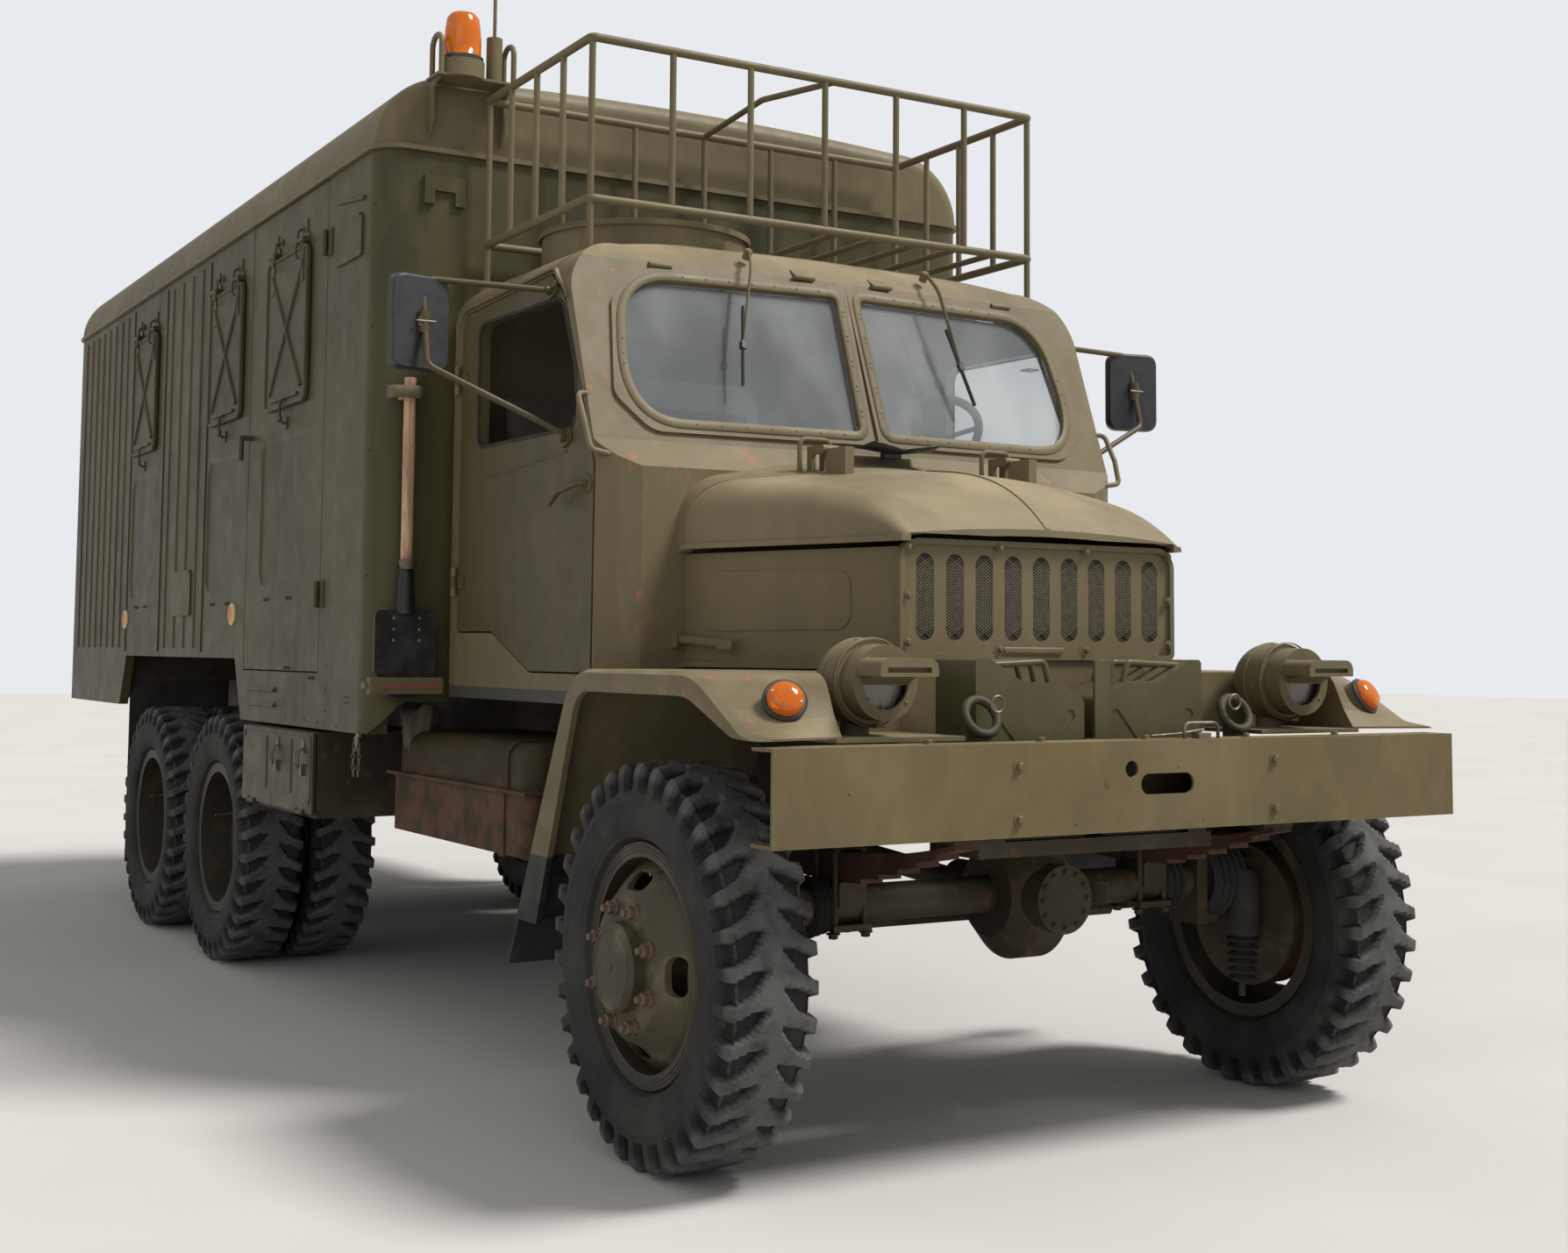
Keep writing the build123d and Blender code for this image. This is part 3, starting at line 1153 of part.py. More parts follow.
# Lamps
def headlamp():
    """Domed round housing with a half-open face plate, visor and rubber foot (left)."""
    dome = [
        (LAMP_BACK, 0.0), (LAMP_BACK + 24, 66.0), (330.0, LAMP_DRUM_RADIUS), (385.0, LAMP_DRUM_RADIUS),
        (385.0, LAMP_DRUM_RADIUS - 4), (398.0, LAMP_DRUM_RADIUS - 4), (398.0, LAMP_RING_RADIUS),
        (LAMP_FACE, LAMP_RING_RADIUS), (LAMP_FACE, 0.0),
    ]
    at = shifted(dome)
    section = make_face([ThreePointArc(at[0], at[1], at[2]), Polyline(*at[2:]), Line(at[-1], at[0])])
    body = revolve(Plane.XZ * section, Axis.X)
    face = ahead(LAMP_FACE)
    inner = face - LAMP_FACE_PLATE
    body -= rod((ahead(LENS_SEAT), 0, 0), (inner, 0, 0), LENS_RADIUS + 2)
    hole = rod((inner - 1, 0, 0), (face + 1, 0, 0), LAMP_OPENING)
    body -= hole & block(inner - 2, face + 2, -100, 100, -100, -5)
    hood = outline([(-79, 15), (79, 15), (79, 57), (-79, 57)], [4, 4, 26, 26])
    hood = from_front(hood, face - 4, face + VISOR_LENGTH)
    hood -= block(face + VISOR_LENGTH - 14, face + VISOR_LENGTH + 1, -60, 60, 24, 36)
    shade = from_side(outline([(face - 2, -4), (face + 44, 16), (face - 2, 16)]), -62, 62)
    foot = rod((ahead(325), 0, LAMP_SHELF[1] + SEAT_GAP - LAMP_Z), (ahead(325), 0, -80), 34)
    return Pos(0, LAMP_Y, LAMP_Z) * (body + hood + shade + foot)


def lamp_lenses():
    """Headlamp glasses, turn signals, rear lamps and the roof beacon."""
    x = ahead(LENS_SEAT) + SEAT_GAP
    glass = rod((x, LAMP_Y, LAMP_Z), (x + LENS_THICKNESS, LAMP_Y, LAMP_Z), LENS_RADIUS)
    turn = local_drum(TURN_RADIUS - 7, TURN_BASE + SEAT_GAP, TURN_BASE + 34)
    turn = on_turn_axis(fillet(turn.edges().group_by(Axis.Z)[-1], 16))
    rear_x = ahead(-BOX_START - BOX_LENGTH) - SEAT_GAP
    rear = rod((rear_x, REAR_LAMP_Y, REAR_LAMP_Z), (rear_x - 34, REAR_LAMP_Y, REAR_LAMP_Z), 45)
    pair = on_both_sides(Compound(glass.solids() + turn.solids() + rear.solids()))
    bottom = BEACON_BASE + SEAT_GAP
    dome = post(ahead(BEACON_AT[0]), BEACON_AT[1], bottom, bottom + 168, 66)
    dome = fillet(dome.edges().group_by(Axis.Z)[-1], 22)
    return Compound(pair.solids() + dome.solids())


def beacon_mount():
    """Shelf on two gussets with guard hoops and the antenna's foot and rod."""
    front = ahead(-BOX_START) - ROOF_SETBACK + SEAT_GAP
    top = BEACON_SHELF + 8
    shelf = block(front, front + 112, -996, -720, BEACON_SHELF, top)
    for y in (-982, -734):
        brace = [(front, 2870), (front + 36, 2930), (front + 36, 3030)]
        gusset = brace + [(front + 105, top - 4), (front, top - 4)]
        shelf += from_side(outline(gusset), y - 4, y + 4)
        near, far = front + 20, front + 104
        hoop = [(near, y, top - 4), (near, y, 3200), (far, y, 3200), (far, y, top - 4)]
        shelf += tube(hoop, 9.0, 38.0)
    shelf += post(ahead(BEACON_AT[0]), BEACON_AT[1], BEACON_SHELF, BEACON_BASE, 72)
    x, y = ahead(ANTENNA_AT[0]), ANTENNA_AT[1]
    return shelf + post(x, y, top - 2, 3216, 26) + post(x, y, 3200, 3530, 6)


def jerrycan():
    """Right-hand can: stepped top, three handle bars and a pressed cross."""
    x0, x1 = ahead(CAN_REAR), ahead(CAN_FRONT)
    body = from_front(outline(CAN_OUTLINE, CAN_BENDS), x0, x1)
    for face_x in (x0, x1):
        for turn in (-1, 1):
            bar = Pos(*CAN_CROSS) * Rot(0, 0, turn * CAN_CROSS_TURN) * SlotOverall(CAN_CROSS_LENGTH, 30)
            body -= from_front(bar, face_x - 3, face_x + 3)
    middle = (x0 + x1) / 2
    for offset_x in (-56, 0, 56):
        x = middle + offset_x
        body += tube([(x, -362, 1190), (x, -162, 1199), (x, -146, 1140)], 8.0, 14.0)
    return body


def jerrycans():
    """Two cans in the tray, mirror images of each other, and the strap plate between."""
    right = jerrycan()
    left = mirror(right, about=Plane.XZ.offset(-CAN_MIDDLE))
    x = ahead(CAN_FRONT) + 4
    low = RAIL_TOP - 20 + SEAT_GAP
    strap = block(x, x + 9, CAN_MIDDLE - 4, CAN_MIDDLE + 45, low, 1204)
    strap += block(x, x + 9, CAN_MIDDLE - 34, CAN_MIDDLE + 75, low, low + 40)
    return Compound(right.solids() + left.solids() + strap.solids())


# Fuel tank
def tank_form(grow):
    """Two pressed halves of the tank, the upper one domed."""
    x0, x1 = ahead(TANK_REAR) - grow, ahead(TANK_FRONT) + grow
    low = block(x0, x1, -985 - grow, -520 + grow, TANK_LOW - grow, TANK_SEAM)
    low = fillet(low.edges().filter_by(Axis.Z), 45)
    high = block(x0 + 12, x1 - 12, -975 - grow, -530 + grow, TANK_SEAM, TANK_HIGH + grow)
    high = fillet(high.edges().filter_by(Axis.Z), 60)
    return low + fillet(high.edges().group_by(Axis.Z)[-1], 50)


def fuel_tank():
    """Tank with a seam flange, filler neck, strap and two brackets to the frame."""
    x0, x1 = ahead(TANK_REAR), ahead(TANK_FRONT)
    tank = tank_form(0)
    tank += block(x0 - 14, x1 + 14, -999, -506, TANK_SEAM - 5, TANK_SEAM + 5)
    tank += tank_form(5) & block(x1 - 190, x1 - 150, -1100, -400, 500, 1100)
    tank += rod((x0 + 110, -890, TANK_HIGH - 30), (x0 + 80, -960, 1010), 46)
    for x in (x0 + 200, x1 - 260):
        tank += block(x, x + 60, -540, -RAIL_OUTER_Y - SEAT_GAP, 830, 940)
    return tank


# Box body
def box_plan(inset, low, high):
    """Rounded rectangle of the box in plan, extruded."""
    x1, x0 = ahead(-BOX_START) - inset, ahead(-BOX_START - BOX_LENGTH) + inset
    half = BOX_HALF_WIDTH - inset
    face = outline([(x0, -half), (x1, -half), (x1, half), (x0, half)], max(20.0, BOX_CORNER - inset))
    return from_above(face, low, high)


def wall_ring():
    """All four walls of the box in one ring before they are parted."""
    return box_plan(0, BOX_SIDE_BOTTOM, BOX_SIDE_TOP) - box_plan(WALL, BOX_SIDE_BOTTOM - 1, BOX_SIDE_TOP + 1)


def wall_flap(row, side):
    """Small hinged-looking hatch plate standing proud of a side wall."""
    x0, x1, z0, z1 = row
    near = span(side, BOX_HALF_WIDTH - 1, BOX_HALF_WIDTH + FLAP_PROUD)
    flap = from_side(outline(shifted([(x0, z0), (x1, z0), (x1, z1), (x0, z1)]), 14.0), near[0], near[1])
    y = side * (BOX_HALF_WIDTH + 4)
    return flap + rod((ahead(x0) + 20, y, z1 + 3), (ahead(x1) - 20, y, z1 + 3), 7)


def pressing_cut(name, side):
    """Shallow recess with sloping edges, pressed into a side wall."""
    x0, x1, z0, z1 = PRESSINGS[name]
    faces = []
    for depth, inset in ((-1.0, -2.0), (PRESSING_DEPTH, PRESSING_SLOPE)):
        face = outline(shifted([
            (x0 + inset, z0 + inset), (x1 - inset, z0 + inset),
            (x1 - inset, z1 - inset), (x0 + inset, z1 - inset),
        ]), PRESSING_RADIUS - inset)
        faces.append(Plane.XZ.offset(depth - BOX_HALF_WIDTH) * face)
    cut = loft(faces, ruled=True)
    return cut if side > 0 else other_side(cut)


def box_front_wall(ring):
    """Front wall with its cut-away lower corners, bracket, flaps and drip rails."""
    wall = ring & block(ahead(WALL_SEAM_FRONT), ahead(0), -1300, 1300, 0, 3500)
    x = ahead(-BOX_START)
    low, high = BOX_SIDE_BOTTOM - 50, FRONT_CUT_TOP
    near, far = FRONT_CUT_HALF, FRONT_CUT_HALF + 100
    waist = BOX_SIDE_BOTTOM - 1
    face = [(-near, high), (-far, waist), (-near, low), (near, low), (far, waist), (near, high)]
    wall -= from_front(outline(face), x - WALL - 2, x + 2)
    wall -= block(x - WALL - 2, x + 2, -near - 1, near + 1, low, high)
    wall += from_front(outline(BRACKET), x, x + 14)
    for side in (-1, 1):
        wall += wall_flap(WALL_FLAPS[0], side)
        y = side * (BOX_HALF_WIDTH + 3)
        wall += rod((ahead(-2160), y, 2718), (ahead(-1878), y, 2684), 7)
    return wall


def wall_ribs(side):
    """Vertical half-round ribs and flat seam strips of a side wall."""
    y = side * (BOX_HALF_WIDTH - RIB_SUNK)
    out = span(side, BOX_HALF_WIDTH, BOX_HALF_WIDTH + 5)
    ribs = []
    for first, last, count in RIB_GROUPS:
        for index in range(count):
            x = ahead(first + (last - first) * index / (count - 1))
            ribs.append(rod((x, y, RIB_Z[0]), (x, y, RIB_Z[1]), RIB_RADIUS))
    for d in SEAM_STRIPS:
        ribs.append(block(ahead(d) - 12, ahead(d) + 12, out[0], out[1], 1200, 2800))
    return ribs


def box_side_wall(ring, side):
    """Side wall between the corner pieces, with its windows, arch and door."""
    near = span(side, 900, 1300)
    wall = ring & block(ahead(WALL_SEAM_REAR), ahead(WALL_SEAM_FRONT), near[0], near[1], 0, 3500)
    wall -= from_side(outline(shifted(ARCH)), near[0], near[1])
    names = ("middle", "rear")
    for name in names:
        wall -= window_cut(name, near)
    for name in PRESSINGS:
        wall -= pressing_cut(name, side)
    for rib in wall_ribs(side):
        wall += rib
    wall += wall_flap(WALL_FLAPS[1], side)
    if side < 0:
        wall -= block(ahead(SIDE_DOOR_REAR) - SWING_GAP, ahead(SIDE_DOOR_FRONT) + DOOR_GAP, near[0], near[1],
                      SIDE_DOOR_LOW - DOOR_GAP, BOX_SIDE_TOP + 1)
        for z in SIDE_HINGE_Z:
            wall += side_door_hinge(z)[0]
    x0, x1 = ahead(VENT_SPAN[0]), ahead(VENT_SPAN[1])
    for z in VENT_Z:
        y = BOX_HALF_WIDTH
        louvre = outline([(side * (y - 1), z), (side * (y + 12), z + 3), (side * (y - 1), z + VENT_TALL)])
        wall += from_front(louvre, x0, x1)
    for name in names:
        wall += cover_hinge(name, side)[0]
    return Compound(wall.solids())


def window_cut(name, near):
    """Opening behind a cover."""
    x0, x1, z0, z1 = WINDOWS[name]
    m = WINDOW_MARGIN
    face = outline(shifted([(x0 + m, z0 + m), (x1 - m, z0 + m), (x1 - m, z1 - m), (x0 + m, z1 - m)]), 30.0)
    return from_side(face, near[0], near[1])


def side_door_hinge(z):
    place = (ahead(SIDE_DOOR_FRONT) + DOOR_GAP / 2, -BOX_HALF_WIDTH - HINGE_OUT, z)
    return hinge(place, (-1, 0, 0), (0, 0, 1))


def cover_hinge(name, side):
    """Top hinges of a window cover, along X, with straps up the wall and down the cover."""
    x0, x1, z0, z1 = WINDOWS[name]
    skin = BOX_HALF_WIDTH
    y = side * (skin + HINGE_OUT + COVER_THICKNESS - 8)
    z = z1 + HINGE_R + 5
    half = (x1 - x0) / 2 - 70
    leaf = span(side, skin + WINDOW_RECESS + 6, skin + WINDOW_RECESS + COVER_THICKNESS / 2 + 4)
    plate = span(side, skin - 1, skin + WINDOW_RECESS)
    fixed = moving = None
    for end in (-1, 1):
        x = ahead((x0 + x1) / 2) + end * half
        barrel = rod((x - 24, y, z), (x + 24, y, z), HINGE_R)
        tab = sorted((side * (skin + WINDOW_RECESS), y))
        barrel += block(x - 24, x + 24, tab[0], tab[1], z - 20, z - 2)
        barrel += block(x - 16, x + 16, leaf[0], leaf[1], z1 - 130, z1 - 2)
        moving = barrel if moving is None else moving + barrel
        strap = block(x - 40, x + 40, plate[0], plate[1], z + 4, z + 28)
        strap += block(x - 15, x + 15, plate[0], plate[1], z + 20, z + 78)
        for edge in (-1, 1):
            a, b = sorted((x + edge * 24.5, x + edge * 40))
            strap += rod((a, y, z), (b, y, z), HINGE_R)
            seat = sorted((side * (skin - 1), y))
            strap += block(a, b, seat[0], seat[1], z - HINGE_R, z + HINGE_R)
        fixed = strap if fixed is None else fixed + strap
    return fixed, moving


def window_cover(name, side):
    """Pressed steel cover: rolled border, raised cross, latch bar and top hinges."""
    x0, x1, z0, z1 = WINDOWS[name]
    skin = BOX_HALF_WIDTH + WINDOW_RECESS
    outer = skin + COVER_THICKNESS / 2
    corners = [(x0, z0), (x1, z0), (x1, z1), (x0, z1)]
    plate = from_side(outline(shifted(corners), 40.0), skin, outer)
    inset = COVER_ROLL + 1
    line = [
        (x0 + inset, z0 + inset), (x1 - inset, z0 + inset),
        (x1 - inset, z1 - inset), (x0 + inset, z1 - inset),
    ]
    path = FilletPolyline(*[(x, outer, z) for x, z in shifted(line)], radius=32.0, close=True)
    plate += sweep(Plane(origin=path @ 0, z_dir=path % 0) * Circle(COVER_ROLL), path=path)
    for low, high in ((z0 + 60, z1 - 60), (z1 - 60, z0 + 60)):
        plate += rod((ahead(x0) + 60, outer, low), (ahead(x1) - 60, outer, high), 9)
    plate += rod((ahead(x0) + 90, outer + 4, z0 + 34), (ahead(x1) - 90, outer + 4, z0 + 34), 6)
    pad = (BOX_HALF_WIDTH + SEAT_GAP, skin + 1)
    for end in (x0 + 60, x1 - 60):
        plate += block(ahead(end) - 15, ahead(end) + 15, pad[0], pad[1], z0 + 6, z0 + 36)
    plate = plate if side > 0 else other_side(plate)
    return plate + cover_hinge(name, side)[1]


def box_side_door(ring):
    """Front-hinged entrance door in the right wall."""
    near = (-1300, -900)
    door = ring & block(ahead(SIDE_DOOR_REAR), ahead(SIDE_DOOR_FRONT), near[0], near[1],
                        SIDE_DOOR_LOW, BOX_SIDE_TOP - DOOR_GAP)
    door -= window_cut("front", near)
    door -= pressing_cut("front", -1)
    for z in SIDE_HINGE_Z:
        door += side_door_hinge(z)[1]
    x, y = ahead(SIDE_DOOR_REAR + 25), -BOX_HALF_WIDTH
    door += rod((x, y, 2010), (x, y - 45, 2010), 10)
    door += rod((x, y - 38, 2015), (x, y - 38, 1925), 9)
    door += cover_hinge("front", -1)[0]
    return door


def box_rear_wall(ring):
    wall = ring & block(ahead(-7000), ahead(WALL_SEAM_REAR), -1300, 1300, 0, 3500)
    x = ahead(-BOX_START - BOX_LENGTH)
    half = REAR_DOOR_HALF + DOOR_GAP
    wall -= block(x - 5, x + WALL + 5, -half, half, REAR_DOOR_LOW - DOOR_GAP, REAR_DOOR_HIGH + DOOR_GAP)
    for side in (-1, 1):
        for z in REAR_HINGE_Z:
            wall += rear_door_hinge(side, z)[0]
    return wall


def rear_door_hinge(side, z):
    x = ahead(-BOX_START - BOX_LENGTH) - HINGE_OUT
    y = REAR_DOOR_HALF + DOOR_GAP / 2
    fixed, moving = hinge((x, y, z), (0, -1, 0), (0, 0, -1))
    return (fixed, moving) if side > 0 else (other_side(fixed), other_side(moving))


def rear_door(side):
    """One leaf of the rear double door, with a window and a bar handle."""
    x = ahead(-BOX_START - BOX_LENGTH)
    edge = span(side, REAR_SEAM_HALF, REAR_DOOR_HALF)
    door = block(x, x + WALL, edge[0], edge[1], REAR_DOOR_LOW, REAR_DOOR_HIGH)
    pane = span(side, 150, REAR_DOOR_HALF - 130)
    cut = outline([(pane[0], 2080), (pane[1], 2080), (pane[1], 2520), (pane[0], 2520)], 50.0)
    door -= from_front(cut, x - 5, x + WALL + 5)
    for z in REAR_HINGE_Z:
        door += rear_door_hinge(side, z)[1]
    grip = side * 60
    reach = REAR_HANDLE_REACH - 9
    handle = [(x + 2, 1700), (x - reach, 1700), (x - reach, 1880), (x + 2, 1880)]
    return door + tube([(at, grip, z) for at, z in handle], 9.0, 18.0)


def box_floor():
    """Floor slab inside the walls, cut back from the side door."""
    x1, x0 = ahead(-BOX_START) - WALL, ahead(-BOX_START - BOX_LENGTH) + WALL
    half = BOX_HALF_WIDTH - WALL
    floor = block(x0, x1, -half, half, FLOOR_LOW, FLOOR_HIGH)
    floor &= box_plan(WALL + SEAT_GAP, FLOOR_LOW - 10, FLOOR_HIGH + 10)
    return floor - block(ahead(SIDE_DOOR_REAR) - SWING_GAP, ahead(SIDE_DOOR_FRONT) + DOOR_GAP,
                         -half - 10, -half + DOOR_GAP, FLOOR_LOW - 1, FLOOR_HIGH + 1)


def underbody():
    """Sills on the chassis rails, cross-bearers under the floor and the two lockers."""
    x1, x0 = ahead(-BOX_START) - WALL, ahead(-BOX_START - BOX_LENGTH) + WALL
    solids = []
    reach = BOX_HALF_WIDTH - WALL - DOOR_GAP
    for side in (-1, 1):
        rail = span(side, RAIL_OUTER_Y, RAIL_INNER_Y)
        solids.append(block(x0 + 200, x1, rail[0], rail[1], RAIL_TOP + SEAT_GAP, SILLS_HIGH))
        solids += locker(side).solids()
    for d in BEARERS:
        low, high = SILLS_HIGH + SEAT_GAP, FLOOR_LOW - SEAT_GAP
        solids.append(block(ahead(d) - BEARER_HALF, ahead(d) + BEARER_HALF, -reach, reach, low, high))
    return Compound([s for part in solids for s in part.solids()])


def locker_hinge_places():
    return ahead(LOCKER_REAR) + 132, ahead(LOCKER_FRONT) - 132


def locker(side):
    """Sheet box under the floor on two hangers; the right one is open for its door."""
    x0, x1 = ahead(LOCKER_REAR), ahead(LOCKER_FRONT)
    outer, inner = LOCKER_FACE, LOCKER_FACE - LOCKER_DEEP
    t = LOCKER_WALL
    body = block(x0, x1, inner, outer, LOCKER_LOW, LOCKER_HIGH)
    face = outer + 1 if side < 0 else outer - t
    body -= block(x0 + t, x1 - t, inner + t, face, LOCKER_LOW + t, LOCKER_HIGH - t)
    for x in (x0 + 60, x1 - 120):
        body += block(x, x + 60, inner + 40, inner + 80, LOCKER_HIGH - 4, FLOOR_LOW - SEAT_GAP)
    if side > 0:
        return body
    y, z = LOCKER_FACE + LOCKER_HINGE_OUT, LOCKER_LOW + LOCKER_HINGE_RISE
    for x in locker_hinge_places():
        for edge in (-1, 1):
            low, high = sorted((x + edge * EAR_START, x + edge * EAR_END))
            body += rod((low, y, z), (high, y, z), HINGE_R)
            body += block(low, high, outer - 2, y, z - HINGE_R, z + HINGE_R - 2)
    return other_side(body)


def locker_door():
    """Drop-down door of the right locker, hinged along its lower edge."""
    x0, x1 = ahead(LOCKER_REAR) + 3, ahead(LOCKER_FRONT) - 3
    y, z = LOCKER_FACE + LOCKER_HINGE_OUT, LOCKER_LOW + LOCKER_HINGE_RISE
    inner = LOCKER_FACE + DOOR_GAP
    door = block(x0, x1, inner, y, z, LOCKER_HIGH - 4)
    for x in locker_hinge_places():
        door += rod((x - EAR_START + 0.5, y, z), (x + EAR_START - 0.5, y, z), HINGE_R)
        for edge in (-1, 1):
            low, high = sorted((x + edge * (EAR_START - 0.5), x + edge * (EAR_END + DOOR_GAP)))
            door -= block(low, high, inner - 1, y + 20, z - 20, z + HINGE_R + DOOR_GAP)
    for x in (x0 + 60, x1 - 60):
        door += block(x - 20, x + 20, LOCKER_FACE + SEAT_GAP, inner, LOCKER_HIGH - 12, LOCKER_HIGH - 4)
    return other_side(door)


def roof_arch(inset):
    """Cross-section of the arched roof above the walls."""
    half, top = BOX_HALF_WIDTH - inset, BOX_CROWN - inset
    low, shoulder = BOX_SIDE_TOP, BOX_SIDE_TOP + 20
    return make_face([
        Line((-half, low), (half, low)),
        Line((half, low), (half, shoulder)),
        ThreePointArc((half, shoulder), (half - 78, top - 98), (half - 275, top - 26)),
        ThreePointArc((half - 275, top - 26), (0, top), (-half + 275, top - 26)),
        ThreePointArc((-half + 275, top - 26), (-half + 78, top - 98), (-half, shoulder)),
        Line((-half, shoulder), (-half, low)),
    ])


def box_roof():
    """Arched roof with rounded shoulders, rounded ends and a rain gutter."""
    front = ahead(-BOX_START) - ROOF_SETBACK
    rear = ahead(-BOX_START - BOX_LENGTH) + ROOF_SETBACK
    roof = from_front(roof_arch(0), rear, front)
    for at in (front, rear):
        upper = roof.edges().filter_by(lambda e: e.center().Z > BOX_SIDE_TOP + 25)
        ends = upper.filter_by(lambda e: abs(e.center().X - at) < 1)
        roof = fillet(ends, 60)
    roof -= from_front(roof_arch(WALL), rear + WALL, front - WALL)
    gutter = box_plan(-13, BOX_SIDE_TOP, BOX_SIDE_TOP + 16)
    gutter -= box_plan(30, BOX_SIDE_TOP - 1, BOX_SIDE_TOP + 20)
    return roof + gutter


# Roof rack over the cab
def roof_rack():
    """Welded tube cage: rails, uprights, floor slats, a divider and four legs."""
    x1, x0 = ahead(RACK_FRONT), ahead(RACK_REAR)
    corners = [(x1, -RACK_HALF), (x1, RACK_HALF), (x0, RACK_HALF), (x0, -RACK_HALF)]
    rack = None
    for z in (RACK_TOP, RACK_LOW):
        path = FilletPolyline(*[(x, y, z) for x, y in corners], radius=RACK_BEND, close=True)
        loop = sweep(Plane(origin=path @ 0, z_dir=path % 0) * Circle(RACK_TUBE), path=path)
        rack = loop if rack is None else rack + loop
    bars = []
    for step in range(1, 6):
        y = -RACK_HALF + step * RACK_HALF / 3
        for x in (x0, x1):
            bars.append(((x, y, RACK_LOW), (x, y, RACK_TOP)))
    for step in range(1, 4):
        x = x0 + step * (x1 - x0) / 4
        for y in (-RACK_HALF, RACK_HALF):
            bars.append(((x, y, RACK_LOW), (x, y, RACK_TOP)))
    feet = []
    for x in (x0 + RACK_POST_IN, x1 - RACK_POST_IN):
        for y in (-RACK_HALF + RACK_POST_IN, RACK_HALF - RACK_POST_IN):
            bars.append(((x, y, 2150), (x, y, RACK_TOP)))
            feet.append(post(x, y, 2150, RACK_FOOT_TOP, RACK_FOOT_RADIUS))
    for y in RACK_SLATS:
        bars.append(((x0, y, RACK_LOW), (x1, y, RACK_LOW)))
    for start, end in bars:
        rack += rod(start, end, RACK_BAR)
    for foot in feet:
        rack += foot
    rack += tube([(x0, 0, RACK_TOP), (x0 + 500, -57, RACK_TOP), (x1, 38, RACK_TOP)], RACK_BAR, 60.0)
    return rack - cab_volume(-SEAT_GAP)


# Inside the cab
def cushion(x0, x1, y0, y1, z0, z1):
    """Padded block with well-rounded edges."""
    return fillet(block(ahead(x0), ahead(x1), y0, y1, z0, z1).edges(), CUSHION_BEND)


def seats():
    """Driver's seat and the wide passenger bench, each with its back and riser."""
    solids = []
    for y0, y1 in SEATS:
        seat = cushion(-1480, -1040, y0, y1, 1456, 1560)
        back = cushion(-1600, -1500, y0, y1, 1540, 2020)
        floor = CAB_BOTTOM + CAB_WALL + SEAT_GAP
        riser = block(ahead(-1460), ahead(-1100), y0 + 40, y1 - 40, floor, 1470)
        link = block(ahead(-1590), ahead(-1440), y0 + 60, y1 - 60, 1470, 1550)
        link += block(ahead(-1590), ahead(-1520), y0 + 60, y1 - 60, 1470, 1620)
        solids += (riser + seat + link + back).solids()
    return Compound(solids)


def steering_plane():
    tilt = math.radians(STEER_TILT)
    return Plane(origin=(ahead(STEER_AT[0]), STEER_AT[1], STEER_AT[2]),
                 x_dir=(0, 1, 0), z_dir=(-math.sin(tilt), 0, math.cos(tilt)))


def steering_wheel():
    """Rim, three spokes and hub about the column's axis."""
    wheel = Torus(STEER_RADIUS, 14) + local_drum(42, -26, 14)
    for turn in range(3):
        spoke = rod((0, 0, 0), (STEER_RADIUS - 5, 0, 0), 8)
        wheel += Rot(0, 0, 90 + 120 * turn) * spoke
    return steering_plane() * wheel


def dashboard():
    """Rounded instrument panel across the cab with the steering column."""
    face = outline(shifted(DASH_PROFILE), [20.0, 50.0, 20.0, 10.0])
    dash = from_side(face, -DASH_HALF, DASH_HALF)
    dash += steering_plane() * local_drum(26, -740, -26.5)
    y = STEER_AT[1]
    dash += block(ahead(-700), ahead(-670), y - 24, y + 24, 1500, 1660)
    dash &= cab_volume(CAB_WALL + SEAT_GAP)
    return dash - tunnel_block(TUNNEL_WALL + SEAT_GAP)


def tunnel_block(grow):
    half = TUNNEL_HALF + grow
    return block(ahead(TUNNEL_BACK) - grow, ahead(100), -half, half, 0, TUNNEL_TOP + grow)


def engine_tunnel():
    """Sheet cover over the engine where it reaches back into the cab."""
    cover = tunnel_block(TUNNEL_WALL)
    cover &= block(ahead(-1100), ahead(100), -500, 500, CAB_BOTTOM, TUNNEL_TOP + 50)
    return (cover - tunnel_block(0)) & cab_volume(CAB_WALL + SEAT_GAP)


def shovel():
    """Spade stowed upright on the box's front wall, blade down."""
    x, y = ahead(-BOX_START) + 42, SHOVEL_Y
    handle = post(x, y, 1440, 2078, 19)
    socket = Solid.make_cone(30, 22, 150, Plane(origin=(x, y, 1330)))
    edge = [(-100, 1340), (100, 1340), (100, 1150), (40, 1066), (-40, 1066), (-100, 1150)]
    blade = from_front(outline([(y + across, z) for across, z in edge], 20.0), x - 6, x + 6)
    clip = block(x - 42, x - 6, y - 30, y + 30, 1200, 1300)
    clip += block(x - 42, x - 10, y - 24, y + 24, 2010, 2050)
    return handle + socket + blade + clip


def mudflaps():
    """Rubber flaps below the front mudguards and behind the rear wheels."""
    top = FENDER_FOOT - SEAT_GAP
    front = outline(shifted([(-735, top), (-725, top), (-790, 372), (-800, 372)]))
    flap = from_side(front, 760, FENDER_OUT - 4)
    back = block(ahead(-5312), ahead(-5300), 640, 1100, 215, SILLS_HIGH)
    return on_both_sides(Compound(flap.solids() + back.solids()))


def rear_window(grow):
    pane = outline(REAR_PANE, REAR_PANE_RADIUS)
    return offset(pane, grow) if grow else pane


def cab_glass():
    """Two windscreen panes and the rear window pane."""
    solids = list(screen_cut(-SEAT_GAP, -16, -8).solids())
    pane = from_front(rear_window(-SEAT_GAP), ahead(CAB_REAR) + 14, ahead(CAB_REAR) + 20)
    return Compound(solids + pane.solids())


